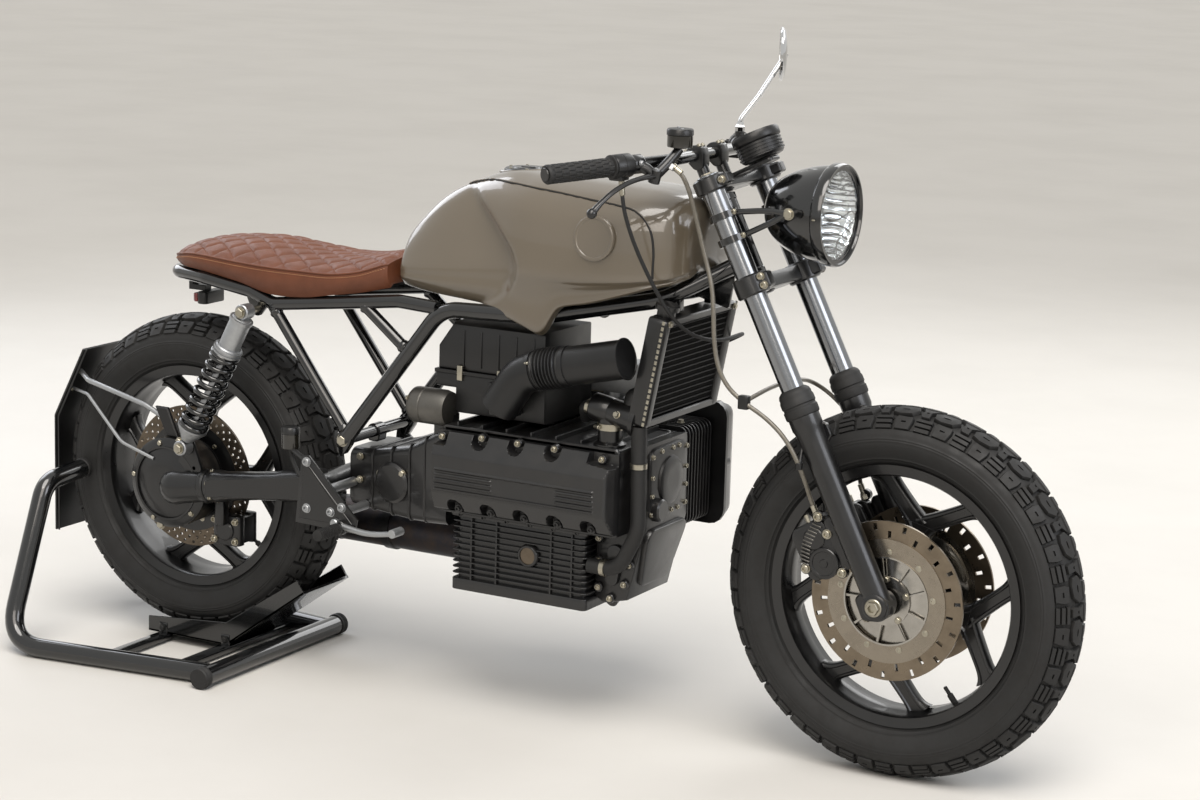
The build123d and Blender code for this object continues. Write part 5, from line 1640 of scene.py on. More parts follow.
@dataclass
class Headlight:
    """Round headlight in a teardrop shell, held by stays on the fork legs."""

    centre: tuple[float, float, float] = (607.0, 0.0, 987.0)
    rim_r: float = 91.0
    length: float = 138.0

    def shell(self) -> Shape:
        """Teardrop shell from the rim to its small flat tail."""
        share = np.linspace(0, 1, 22)
        turn = share * math.radians(82)
        shell = np.stack(
            [20 + 66 * np.cos(turn) ** 0.92, -22 - (self.length - 24) * np.sin(turn) ** 1.25], axis=1
        )
        front = [
            (78, -4), (85, -4), (86, 0), (89, 0.5), (self.rim_r, -3), (self.rim_r, -17), (88.5, -21),
            (86.5, -22),
        ]
        tail = [(18, -self.length + 1.5), (12, -self.length), (3, -self.length)]
        inside = [(3, -80), (40, -66), (60, -48), (72, -32), (77, -16), (78, -12)]
        return revolved([*inside, *front, *shell, *tail], self.centre, (1, 0, 0), sides=96)

    def glass(self) -> Shape:
        """Domed clear glass."""
        rows = np.linspace(0, 1, 30)[:, None]
        turn = np.linspace(0, 2 * math.pi, 160, endpoint=False)[None]
        radius = 81 * rows
        flat_y, flat_z = radius * np.cos(turn), radius * np.sin(turn)
        dome = -6 + 5.2 * np.cos(rows * math.pi / 2) ** 0.8
        x, y, z = self.centre
        points = np.stack([x + dome + 0 * turn, y + flat_y, z + flat_z], axis=-1)
        back = points[-1:] - np.array([5.0, 0, 0])
        return lattice(np.concatenate([points[1:], back]))

    def reflector(self) -> Shape:
        """Bowl behind the glass: a paraboloid in facets, whose upper and lower halves meet in a step.

        The facets are cushions between lines every 15 degrees and every 13 mm out.
        """
        radius = np.linspace(8, 79, 72)[:, None]
        turn = np.linspace(0, 2 * math.pi, 288, endpoint=False)[None]
        cushion = np.abs(np.sin(12 * turn)) ** 0.6 * np.abs(np.sin(radius * math.pi / 13)) ** 0.6
        depth = -58 + 48 * (radius / 79) ** 2 - 2.6 * cushion - 2.5 * (np.sin(turn) < 0)
        x, y, z = self.centre
        bowl = np.stack(
            np.broadcast_arrays(x + depth, y + radius * np.cos(turn), z + radius * np.sin(turn)), axis=-1
        )
        return lattice(np.concatenate([bowl, bowl[::-1] - (4.0, 0, 0)]))

    def joints(self) -> Shape:
        """Black lines along the edges of the reflector's facets, as painted shade and painted dark
        reflection: level above, crossing slants below.
        """
        lines = [((-79.0, up), (79.0, up)) for up in (8, 17, 26, 35, 44, 53, 62, 71)]
        for start in range(-130, 131, 20):
            lines += [((start, 0), (start + 80.0 * side, -80)) for side in (-1.0, 1.0)]
        tubes = []
        x, y, z = self.centre
        for start, end in lines:
            flat = np.linspace(start, end, 40)
            radius = np.hypot(*flat.T)
            flat, radius = flat[radius < 77], radius[radius < 77]
            if len(flat) > 2:
                depth = -58 + 48 * (radius / 79) ** 2 - 2.5 * (flat[:, 1] < 0)
                path = np.column_stack([x + depth, y + flat[:, 0], z + flat[:, 1]])
                tubes.append(tube(path, 0.9, 6))
        return joined(tubes)

    def stays(self) -> tuple[list[Shape], list[Shape]]:
        """Clamp rings, paired stays and ears on both sides.

        Returns:
            Black parts and zinc parts.
        """
        black, metal = [], []
        for side in (-1, 1):
            ear = np.array([552.0, side * 98, 995.0])
            black.append(rod(ear - (0, side * 32, 0), ear + (0, side * 2, 0), 9))
            metal.append(bolts([ear + (0, side * 2, 0)], (0, side, 0), 8.5, 6))
            for up in (681, 725):
                ring = [(20.8, up - 6.5), (26.5, up - 6), (26.5, up + 6), (20.8, up + 6.5)]
                black.append(on_leg(ring, 0, side * LEG_Y))
                path = spline(
                    [
                        fork_place(22, side * LEG_Y, up),
                        (fork_place(40, side * 102, up) + ear) / 2,
                        ear - (4, 0, 0),
                    ],
                    8,
                )
                black.append(tube(path, 5.2, 14))
                metal.append(
                    bolts([fork_place(26, side * (LEG_Y + 8), up)], (0, side, 0), 4.2, 4, Head.SOCKET)
                )
        return black, metal

    def build(self) -> None:
        """Makes the shell, its stays, the glass and the bulb behind it."""
        x, _, z = self.centre
        black, metal = self.stays()
        screws = bolts([(x - 12, -self.rim_r, z), (x - 12, self.rim_r, z)], (0, 0, 1), 3, 2)
        bulb = revolved([(4, -58), (9, -56), (10, -30), (7, -25), (2, -24)], self.centre, (1, 0, 0), sides=24)
        put(
            "headlight shell",
            [
                (self.shell(), GLOSS_BLACK_AND_FACET_SHADE),
                (joined(black), GLOSS_BLACK_AND_FACET_SHADE),
                (joined([*metal, screws]), ZINC),
                (self.reflector(), REFLECTOR),
                (bulb, DIAL_MARKS),
                # the black facet lines are painted shade and painted dark reflection inside the reflector
                (self.joints(), GLOSS_BLACK_AND_FACET_SHADE),
            ],
            "steering",
            ["headlight"],
            sharp_deg=40,
        )
        put("headlight glass", [(self.glass(), LAMP_GLASS)], "steering", ["headlight_lens"], sharp_deg=60)


@dataclass
class Cockpit:
    """Handlebar with its grips, controls and mirror, and the gauge on the upper clamp."""

    bar_corner: tuple[float, float, float] = (340.0, 127.0, 1073.9)
    grip_end: tuple[float, float, float] = (225.0, 365.0, 1060.0)
    grip_length: float = 133.0

    def bar_place(self, side: int, inward: float) -> Array:
        """Place on the bar, a distance inward from the grip's inner end."""
        corner, end = np.array(self.bar_corner), np.array(self.grip_end)
        place = end + unit(corner - end) * (self.grip_length + inward)
        return place * (1, side, 1)

    def along_bar(self, side: int, profile: Sequence[tuple[float, float]], sides: int = 48) -> Shape:
        """Profile of radius and distance inward from the grip's inner end."""
        start = self.bar_place(side, 0)
        return revolved(profile, start, self.bar_place(side, 100) - start, sides=sides)

    def bar(self) -> None:
        """Bar, risers and their clamps."""
        corner, end = self.bar_corner, self.grip_end
        right = [np.array(end) * (1, -1, 1), np.array(corner) * (1, -1, 1)]
        path = smooth_path([*right, corner, end], 60, 12)
        parts = [tube(path, 11, 28)]
        cast, metal = [], []
        for side in (-1, 1):
            y = side * 38
            foot = fork_place(0, 0, 798.5)
            middle = np.array([corner[0], y, corner[2]])
            local = FORK_AXES.T @ (middle - FORK_ORIGIN)
            base = fork_place(local[0], y, 798.2)
            cast.append(revolved([(15, 0), (15, 3), (11, 6), (11, 40)], base, UP_LEG, sides=36))
            clamp = hull_outline([(0, 0, 18.4), (0, -14, 13), (13, 6, 6), (-13, 6, 6)])
            cast.append(slab(clamp, y - 13, y + 13, FORK_ACROSS, (middle[0], 0, middle[2]), 2.5, True))
            for forward in (-14, 14):
                for out in (-7, 7):
                    top = middle + FORK_AXES @ np.array([forward, out, 12.0])
                    metal.append(bolts([top], UP_LEG, 4, 5, Head.SOCKET))
        for side in (-1, 1):
            cap = self.along_bar(side, [(11, -140), (12, -138.5), (12, -133)])
            cast.append(cap)
        put(
            "handlebar",
            [(joined(parts), GLOSS_BLACK_AND_FACET_SHADE), (joined(cast), CAST_BLACK), (joined(metal), ZINC)],
            "steering",
            ["handlebar"],
        )

    def grips(self) -> None:
        """Rubber grips with staggered pads, a flange at the inner end and a closed outer end."""
        parts = []
        for side in (-1, 1):
            start = self.bar_place(side, 0)
            axes = axes_for(self.bar_place(side, 100) - start)
            along = np.linspace(-10, -130, 121)[:, None]
            turn = np.linspace(0, 2 * math.pi, 144, endpoint=False)[None]
            row = along / 14.0
            column = turn * 12 / (2 * math.pi) + 0.5 * (np.floor(row) % 2)
            from_edge = np.minimum(
                14.0 * (0.5 - np.abs(row - np.floor(row) - 0.5)),
                8.2 * (0.5 - np.abs(column - np.floor(column) - 0.5))
            )
            radius = 15.4 + 1.5 * np.clip((from_edge - 0.7) / 0.8, 0, 1)
            ends = [
                (11, 0), (20.5, 0), (21, -1.5), (20.5, -3.5), (16.5, -5)
            ], [(17, -131), (17, -134), (15, -137), (8, -137)]
            inner, outer = (np.array(rows, float)[:, :, None] * np.ones(turn.shape) for rows in ends)
            reach = np.concatenate([inner[:, 0], radius, outer[:, 0]])
            place = np.concatenate([inner[:, 1], along + 0 * turn, outer[:, 1]])
            local = np.stack([reach * np.cos(turn), reach * np.sin(turn), place], axis=-1)
            parts.append(lattice(local @ axes.T + start).outward())
        put("grips", [(joined(parts), BLACK_RUBBER_AND_SEAM_SHADE)], "steering", ["grips"], sharp_deg=40)

    def lever(self, side: int) -> Shape:
        """Forged lever: a flat blade that curves out from its pivot to a ball end."""
        mirror = np.array([1, side, 1.0])
        path = spline(
            [
                np.array(place) * mirror
                for place in (
                    (338, 190, 1051), (331, 218, 1050), (322, 255, 1044), (312, 290, 1031), (303, 316, 1014),
                    (296, 335, 997),
                )
            ],
            8
        )
        share = np.linspace(0, 1, len(path))
        width = np.interp(share, [0, 0.12, 0.25, 0.75, 0.92, 1], [9, 8.5, 6, 5.6, 6.2, 6.4])
        thick = np.interp(share, [0, 0.12, 0.25, 0.75, 0.92, 1], [5.5, 5, 4.2, 3.8, 5.6, 6.0])
        across, over = frames_along(path)
        turn = np.linspace(0, 2 * math.pi, 16, endpoint=False)
        ring = (
            width[:, None, None] * np.cos(turn)[:, None] * across[:, None]
            + thick[:, None, None] * np.sin(turn)[:, None] * over[:, None]
        )
        blade = lattice(path[:, None] + ring)
        tip = path[-1]
        ball_turn = np.linspace(0.08, math.pi - 0.08, 12)
        ball = revolved(
            np.stack([9.2 * np.sin(ball_turn), -9.2 * np.cos(ball_turn)], axis=1),
            tip,
            path[-1] - path[-3],
            sides=20,
        )
        return joined([blade, ball])

    def controls(self) -> None:
        """Switch housings with buttons, perches, levers and the brake fluid reservoir."""
        plastic, cast, metal, clear = [], [], [], []
        for side in (-1, 1):
            housing = [
                (13, 1), (20, 1.5), (21, 4), (21, 17.5), (20.3, 18), (20.3, 19), (21, 19.5), (21, 34),
                (19.5, 37.5), (14, 38),
            ]
            plastic.append(self.along_bar(side, housing, 40))
            block_at = self.bar_place(side, 20)
            plastic.append(rounded_box((-17, 9), (-16, 16), (-25, -8), 5).moved(block_at))
            for offset, high in ((-9, 8), (0, 11), (9, 8)):
                plastic.append(
                    rounded_box(
                        (-27, -16), (offset - 3, offset + 3), (-high / 2 + 2, high / 2 + 2), 1.5
                    ).moved(block_at)
                )
            cast.append(self.along_bar(side, [(12, 39), (16.5, 40), (17, 42), (17, 59), (15, 62), (12, 62)]))
            perch = self.bar_place(side, 50)
            pivot = np.array([338.0, side * 190, 1051.0])
            cast.append(
                tube(np.stack([perch, (perch + pivot) / 2 + (3, 0, 2), pivot]), np.array([12, 10, 9.0]), 20)
            )
            cast.append(rod(pivot - (3, 0, 12), pivot + (3, 0, 11), 10.5))
            metal.append(bolts([pivot + (2.8, 0, 10)], (0.2, 0, 1), 5.5, 4))
            cast.append(self.lever(side))
            for forward in (-10, 10):
                metal.append(
                    bolts([perch + (15, side * forward * 0.9, forward * 0.4)], (1, 0, 0), 4.4, 5, Head.SOCKET)
                )
        reservoir = (362.0, -148.0, 1098.0)
        cast.append(
            tube(
                np.array([(338, -190, 1051), (350, -168, 1072), (362, -148, 1096.0)]),
                np.array([9.5, 9.5, 8.0]),
                20,
            )
        )
        clear.append(revolved([(16, 0), (22, 2), (22.5, 5), (22.5, 22), (21, 23)], reservoir, (0, 0, 1)))
        plastic.append(
            revolved([(21, 22), (23.5, 23), (23.5, 31), (22, 33.5), (19, 34)], reservoir, (0, 0, 1), sides=40)
        )
        metal.append(
            bolts(polar_places((362, -148, 1131.6), (0, 0, 1), 15, 2, 40), (0, 0, 1), 2.6, 2, Head.SOCKET)
        )
        metal.append(rod((362, -168, 1071), (358, -172, 1062), 6, 6))
        boss = self.bar_place(1, 50)
        cast.append(rod(boss + (0, 0, 12), boss + (0, 0, 26), 9))
        put(
            "hand controls",
            [
                (joined(plastic), BLACK_PLASTIC),
                (joined(cast), CAST_BLACK),
                (joined(metal), BARE_ALLOY),
                (joined(clear), SMOKED),
            ],
            "steering",
            ["hand_controls"],
            sharp_deg=40,
        )

    def mirror(self) -> None:
        """Round mirror on a bent chromed stem."""
        centre = np.array([351.0, 260.0, 1237.0])
        back = np.array([math.cos(math.radians(27)), math.sin(math.radians(27)), 0.0])
        foot = self.bar_place(1, 50) + (0, 0, 26.3)
        path = smooth_path([foot, foot + (0, 0, 20), (330, 222, 1160), centre + back * 12], [30, 60], 10)
        parts = [tube(path, 5, 18), revolved([(9, 0), (9, 8), (7, 10), (6, 16)], foot, (0, 0, 1), sides=6)]
        shell = [(44, 0.4), (48.5, 0), (50, 2), (49.5, 5), (44, 9), (30, 12), (12, 13.5), (3, 13.8)]
        parts.append(revolved([(2, 1.2), (44, 1.2), *shell], centre, back, sides=72))
        glass = revolved([(2, 0.8), (43, 0.8), (43.5, 2.5), (2, 2.5)], centre, back, sides=72)
        put(
            "mirror", [(joined(parts), CHROME), (glass, REFLECTOR)], "steering", ["rear_mirror"], sharp_deg=40
        )

    def gauge(self) -> None:
        """Speedometer in a ribbed cup, with a printed dial under glass."""
        low, radius = 798.3, 44.0
        ribs = grooved(low + 6, low + 30, radius - 2, 2.2, 6)
        cup = [(30, low), (36, low + 1), (40, low + 5), *ribs, (radius - 1, low + 32), (radius, low + 34)]
        cup += [
            (radius, low + 45), (radius - 1.5, low + 48), (radius - 6, low + 48), (radius - 6.5, low + 44)
        ]
        dial = [(37.5, low + 43), (37.5, low + 44.2)]
        card = on_leg(cup, 64, 0, 72)
        face = fork_place(64, 0, low + 44.4)
        turn = np.radians(np.linspace(-40, 220, 27))
        long = (np.arange(27) % 2 == 0)
        ticks = []
        for angle, is_long in zip(turn, long):
            outward = FORK_AXES @ np.array([math.sin(angle - math.pi / 2), math.cos(angle - math.pi / 2), 0])
            start, end = face + outward * 35, face + outward * (28 if is_long else 31)
            ticks.append(rod(start, end, 0.7 if is_long else 0.45, 6, 0.1))
        needle_way = FORK_AXES @ np.array([-0.6, 0.8, 0])
        ticks.append(rod(face, face + needle_way * 30, 0.9, 6, 0.2))
        ticks.append(on_leg([(4, low + 44), (4, low + 46), (3, low + 46.5)], 64, 0, 24))
        window = on_leg([(37.5, low + 46.2), (37.5, low + 47.2)], 64, 0, 48)
        put(
            "speedometer",
            [
                (card, BLACK_PLASTIC),
                (on_leg(dial, 64, 0), DIAL_CARD),
                (joined(ticks), DIAL_MARKS),
                (window, CLEAR_GLASS),
            ],
            "steering",
            ["gauge"],
            sharp_deg=36,
        )

    def build(self) -> None:
        """Makes every piece of the cockpit."""
        self.bar()
        self.grips()
        self.controls()
        self.mirror()
        self.gauge()


@dataclass
class Hoses:
    """Brake hoses that turn with the fork, and the cable that crosses the steering head."""

    hose_r: float = 4.0
    cable_r: float = 3.5

    @staticmethod
    def route(places: Sequence[Sequence[float]]) -> Array:
        """Smooth line of a hose: the points of a NURBS spline whose control points are its places."""
        curve = bpy.data.curves.new("hose line", "CURVE")
        curve.dimensions, curve.resolution_u = "3D", 8
        line = curve.splines.new("NURBS")
        line.points.add(len(places) - 1)
        line.points.foreach_set(
            "co", np.pad(np.asarray(places, float), ((0, 0), (0, 1)), constant_values=1).ravel()
        )
        line.order_u, line.use_endpoint_u = 3, True
        holder = bpy.data.objects.new("hose line", curve)
        mesh = bpy.data.meshes.new_from_object(holder)
        points = np.empty(3 * len(mesh.vertices))
        mesh.vertices.foreach_get("co", points)
        bpy.data.objects.remove(holder)
        bpy.data.meshes.remove(mesh)
        return points.reshape(-1, 3)

    def fitting(self, path: Array, length: float) -> Shape:
        """Crimped sleeve on the last stretch of a line."""
        end, way = path[-1], unit(path[-1] - path[-3])
        profile = [(4.2, -length), (5.6, -length + 1), (5.6, -8), (5.0, -7.5), (6.2, -7), (6.2, -1), (5, 0)]
        return revolved(profile, end, way, sides=16)

    def brake_hoses(self) -> None:
        """One hose from the reservoir to the right caliper, with a crossing one to the left caliper."""
        main = [
            (359, -168, 1069.2), (377.1, -165.8, 1057.8), (386, -150, 1022), (392, -136, 980),
            (400, -128, 938),
            (412, -127, 898), (427, -132, 858), (434, -138, 814), (438, -141, 768), (447, -141, 722),
            (468, -139, 686),
            (502, -136, 662), (542, -135, 642), (580, -136, 612), (604, -134, 574), (614, -118, 534),
        ]
        cross = [
            (498, -134, 664), (503, -92, 672), (505, -40, 677), (505, 20, 677), (503, 76, 673),
            (508, 120, 664),
            (538, 136, 643), (578, 137, 610), (603, 134, 572), (614, 118, 534),
        ]
        hoses, fittings, clips = [], [], []
        for side, places in ((-1, main), (1, cross)):
            ends = [fork_place(-50, side * 100, up) for up in (210, 176.3)]
            path = self.route([*places, *ends])
            hoses.append(tube(path, self.hose_r, 14))
            fittings.append(self.fitting(path, 26))
            clip_at = path[int(len(path) * 0.86)]
            clips.append(tube(np.stack([clip_at, fork_place(-4, side * 103, 330)]), 3.2, 10))
            clips.append(rod(clip_at - (0, 0, 6), clip_at + (0, 0, 6), 6.4))
        fittings.append(self.fitting(self.route(main[:3])[::-1], 22))
        junction = np.array(cross[0], float)
        clips.append(rounded_box((-10, 10), (-8, 8), (-12, 12), 4).moved(junction))
        put(
            "brake hoses",
            [(joined(hoses), HOSE_BRAID), (joined(fittings), ZINC), (joined(clips), BLACK_PLASTIC)],
            "steering",
            ["brake_hoses"],
        )

    def cable(self) -> None:
        """Throttle cable between the chassis and the fork, left on no body."""
        places = [
            (292, -227, 1046.4), (295, -227, 1004), (304, -214, 954), (314, -190, 904), (328, -162, 852),
            (344, -132, 802), (362, -96, 766), (380, -50, 748), (388, 5, 742), (384, 62, 742),
            (370, 116, 736),
            (340, 160, 722), (296, 180, 700), (246, 180, 674), (220, 172, 652), (208, 150, 640),
            (208, 124.3, 640),
        ]
        path = self.route(places)
        sleeve = revolved([(3.8, -30), (5.4, -28), (5.4, -4), (4.4, 0)], path[0], path[0] - path[2], sides=16)
        piece = put(
            "throttle cable",
            [(tube(path, self.cable_r, 14), BLACK_RUBBER_AND_SEAM_SHADE), (sleeve, ZINC)],
            "",
            ["control_cables"],
        )
        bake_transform(piece)

    def build(self) -> None:
        """Makes the hoses and the cable."""
        self.brake_hoses()
        self.cable()


# Bodywork


@dataclass
class Tank:
    """Fuel tank with knee recesses, flanks that run down into a lobe, a seam and bare badge pads.

    Attributes:
        columns: X of each section.
        low: Z of the underside at each column.
        crease: Z of the widest place, above which the side stands and below which it tucks in.
        crown: Z of the middle of the top.
        recess: Half width inside the knee recess.
        flank: Half width on the wide flank.
        top: Half width of the flat top.
        edge: X and Z of the flank's rear edge, from the bottom up.
        dip: X and depth of the lobe below the underside.
        step_mm: Width over which the recess turns into the flank.
        recess_lean: Shares of the recess's width up its side.
        flank_lean: Shares of the flank's width up its side.
        well: X and radius of the filler's well round the cap and round its hinge.
        well_floor: Z of the well's floor.
    """

    columns: tuple[float, ...] = (-264, -250, -235, -160, -48, 30, 100, 170, 240, 285, 325, 345)
    low: tuple[float, ...] = (800, 794, 788, 780, 776, 784, 790, 800, 820, 835, 846, 856)
    crease: tuple[float, ...] = (822, 822, 824, 832, 842, 850, 850, 850, 853, 857, 862, 868)
    crown: tuple[float, ...] = (834, 868, 902, 970, 1016, 1020, 1018, 1015, 1012, 1009, 1000, 984)
    recess: tuple[float, ...] = (60, 82, 95, 107, 112, 116, 118, 118, 118, 112, 100, 80)
    flank: tuple[float, ...] = (60, 82, 95, 107, 124, 145, 151, 152, 145, 133, 114, 88)
    top: tuple[float, ...] = (26, 36, 44, 52, 60, 68, 70, 70, 66, 62, 56, 46)
    edge: tuple[tuple[float, float], ...] = (
        (-46, 770), (8, 800), (30, 826), (40, 853), (30, 884), (-8, 924), (-62, 970), (-112, 1006)
    )
    dip: tuple[tuple[float, float], ...] = (
        (-110, 0), (-50, 4), (0, 22), (46, 40), (70, 50), (82, 50), (94, 40), (112, 12), (126, 3), (150, 0)
    )
    step_mm: float = 34.0
    recess_lean: tuple[float, ...] = (0.99, 0.94, 0.86, 0.76, 0.64)
    flank_lean: tuple[float, ...] = (0.895, 1.0, 0.975, 0.91, 0.74)
    well: tuple[tuple[float, float], ...] = ((-30, 44.5), (12, 14.0))
    well_floor: float = 1008.5

    def half_section(self, width: Array, lean: Sequence[float]) -> Array:
        """Half of every section, from the middle of the underside round to the middle of the crown.

        Args:
            width: Half width at each column.
            lean: Share of the width just under the crease, then at four heights, from low to high.

        Returns:
            Array of shape (columns, places, 2) with half width and Z.
        """
        low, crease, crown, top = (
            np.array(row, float)
            for row in (self.low, self.crease, self.crown, self.top)
        )
        rise = crown - crease
        places = [
            (0.0 * width, low + 6),
            (0.60 * width, low + 6),
            (0.72 * width, low + 4),
            (0.76 * width, low),
            (0.84 * width, low),
            (0.895 * width, low + 4),
            (lean[0] * width, low + 0.42 * (crease - low)),
            (0.5 * (1 + lean[0]) * width, 0.5 * (low + 0.42 * (crease - low) + crease)),
            (1.0 * width, crease),
            (lean[1] * width, crease + 0.22 * rise),
            (lean[2] * width, crease + 0.46 * rise),
            (lean[3] * width, crease + 0.68 * rise),
            (lean[4] * width, crease + 0.86 * rise),
            (0.98 * top, crease + 0.965 * rise),
            (0.45 * top, crease + 0.995 * rise),
            (0.0 * top, crown),
        ]
        return np.stack([np.stack(place, axis=-1) for place in places], axis=1)

    def surface(self) -> Array:
        """Grid over the tank: curves through the columns, the lobe's dip, then a curve round each section.

        Returns:
            Points of shape (rows, columns, 3).
        """
        x = spline(np.array(self.columns, float)[:, None], 13)[:, 0]
        dip_x, dip_depth = spline(self.dip, 8).T
        depth = np.interp(x, dip_x, dip_depth)
        follows = np.array([0, 0, 0, 1, 1, 0.9, 0.42, 0.15] + [0] * 8)
        sides = []
        for width, lean in ((self.recess, self.recess_lean), (self.flank, self.flank_lean)):
            half = self.half_section(np.array(width, float), lean)
            rows = spline(half.reshape(len(half), -1), 13).reshape(len(x), -1, 2)
            rows[..., 1] -= depth[:, None] * follows
            around = spline(np.swapaxes(rows, 0, 1).reshape(rows.shape[1], -1), 8)
            sides.append(np.swapaxes(around.reshape(-1, len(x), 2), 0, 1))
        recess, flank = sides
        edge_x, edge_z = spline(self.edge, 10).T
        start = np.interp(flank[..., 1], edge_z, edge_x)
        share = np.clip((x[:, None] - start) / self.step_mm + 1.0, 0, 1)
        share = 1 - (1 - share**1.6) ** 1.4
        half = recess + share[..., None] * (flank - recess)
        left = np.stack([np.broadcast_to(x[:, None], half.shape[:2]), half[..., 0], half[..., 1]], axis=-1)
        left = self.with_well(left)
        right = left[:, 1:-1][:, ::-1] * (1, -1, 1)
        return np.concatenate([left, right], axis=1)

    def with_well(self, grid: Array) -> Array:
        """Grid with the filler's well pressed in, as wide as a row of circles from the cap to its hinge.

        Args:
            grid: Points of the left half.

        Returns:
            The same points, those inside the well at its floor.
        """
        (cap_x, cap_r), (hinge_x, hinge_r) = self.well
        share = np.linspace(0, 1, 12)
        middle, reach = cap_x + share * (hinge_x - cap_x), cap_r + share * (hinge_r - cap_r)
        apart = np.hypot(grid[..., :1] - middle, grid[..., 1:2]) - reach
        inside = (apart.min(axis=-1) < 0) & (grid[..., 2] > 990)
        floor = np.stack([grid[..., 0], grid[..., 1], np.full(grid.shape[:2], self.well_floor)], axis=-1)
        return np.where(inside[..., None], floor, grid)

    def well_rim(self) -> Shape:
        """Rolled rim along the well's edge, sloped as the crown is."""
        (cap_x, cap_r), (hinge_x, hinge_r) = self.well
        outline = hull_outline([(cap_x, 0, cap_r + 3.3), (hinge_x, 0, hinge_r + 3.3)], 72)
        height = np.interp(outline[:, 0], (-78, 18, 30), (1009.4, 1018.6, 1019.0))
        return tube(np.column_stack([outline, height]), 3.4, 12, closed=True)

    def shell(self) -> Shape:
        """Closed shell whose front and rear round over to a small face."""
        grid = self.surface()
        ends = []
        for row, step in ((grid[0], -1), (grid[-1], 1)):
            middle = row.mean(axis=0)
            turns = np.array([0.3, 0.6, 0.9, 1.25])[:, None, None]
            ends.append(middle + (row - middle) * np.cos(turns) + np.sin(turns) * (step * 14, 0, 0))
        return lattice(np.concatenate([ends[0][::-1], grid, ends[1]]))

    def line_on(self, places: Sequence[tuple[float, float]], proud: float = 0.0) -> Array:
        """Line on the left side's surface at given X and Z, from the four grid points nearest to each.

        Args:
            places: X and Z that the line passes.
            proud: How far it stands out of the surface.

        Returns:
            Array of shape (points, 3).
        """
        grid = self.surface()
        side = grid[:, 44 : grid.shape[1] // 2 - 3].reshape(-1, 3)
        path = spline(places, 12)
        apart = np.sum((side[None, :, [0, 2]] - path[:, None]) ** 2, axis=-1)
        near = np.argsort(apart, axis=1)[:, :4]
        weight = 1 / (np.take_along_axis(apart, near, axis=1) + 0.5)
        across = np.sum(side[near, 1] * weight, axis=1) / np.sum(weight, axis=1)
        return np.stack([path[:, 0], across + proud, path[:, 1]], axis=-1)

    def pad(self) -> Shape:
        """Bare round badge pad with a raised rim on each flank."""
        profile = [(0.5, -0.2), (34, -0.2), (35, 1.0), (39, 1.2), (40.5, 0.0), (40.5, -6)]
        return both_sides(revolved(profile, (198, 151.0, 925), (-0.02, 1, 0.10), sides=72))

    def build(self) -> None:
        """Makes the tank."""
        seam = self.line_on(
            [
                (-120, 985), (-98, 992), (-40, 1001), (76, 996), (172, 988), (232, 982), (266, 974),
                (292, 952), (304, 915), (305, 860),
            ]
        )
        # the black strip along the seam is painted shade standing in for the dark inside the seam's gap
        seam_shade = tube(seam, 2.2, 8)
        lips = [tube(seam + (0, 0.3, side * 2.3), 1.1, 8) for side in (-1, 1)]
        put(
            "tank",
            [
                (joined([self.shell(), self.pad(), both_sides(joined(lips)), self.well_rim()]), TANK_PAINT),
                (both_sides(seam_shade), BLACK_RUBBER_AND_SEAM_SHADE),
            ],
            "chassis",
            ["fuel_tank"],
            sharp_deg=50,
        )


@dataclass
class FuelCap:
    """Hinged filler cap with a lock cover and a ring of screws."""

    centre: tuple[float, float, float] = (-30.0, 0.0, 1010.0)
    radius: float = 42.0

    def build(self) -> None:
        """Makes the cap."""
        x, y, z = self.centre
        top = [
            (self.radius - 2, 0), (self.radius, 1.5), (self.radius, 5.5), (self.radius - 3, 8), (30, 8.8),
            (28, 7.4), (25, 7.4), (23, 9.4), (3, 10),
        ]
        cap = revolved(top, self.centre, (0, 0, 1), sides=72)
        hinge = rod((18, -16, z + 5), (18, 16, z + 5), 5)
        arm = rounded_box((4, 17), (-11, 11), (z + 1.5, z + 9), 2.5)
        cover = slab(hull_outline([(x - 4, 0, 9), (x + 12, 0, 6)]), z + 9.2, z + 11, UPRIGHT, edge=0.8)
        screws = bolts(
            polar_places((x, y, z + 8.3), (0, 0, 1), 34.5, 6, 30), (0, 0, 1), 2.7, 1.6, Head.SOCKET
        )
        put(
            "filler cap",
            [(joined([cap, hinge, arm, cover]), CAST_BLACK), (screws, ZINC)],
            "fuel_lid",
            ["fuel_cap"],
            sharp_deg=40,
        )


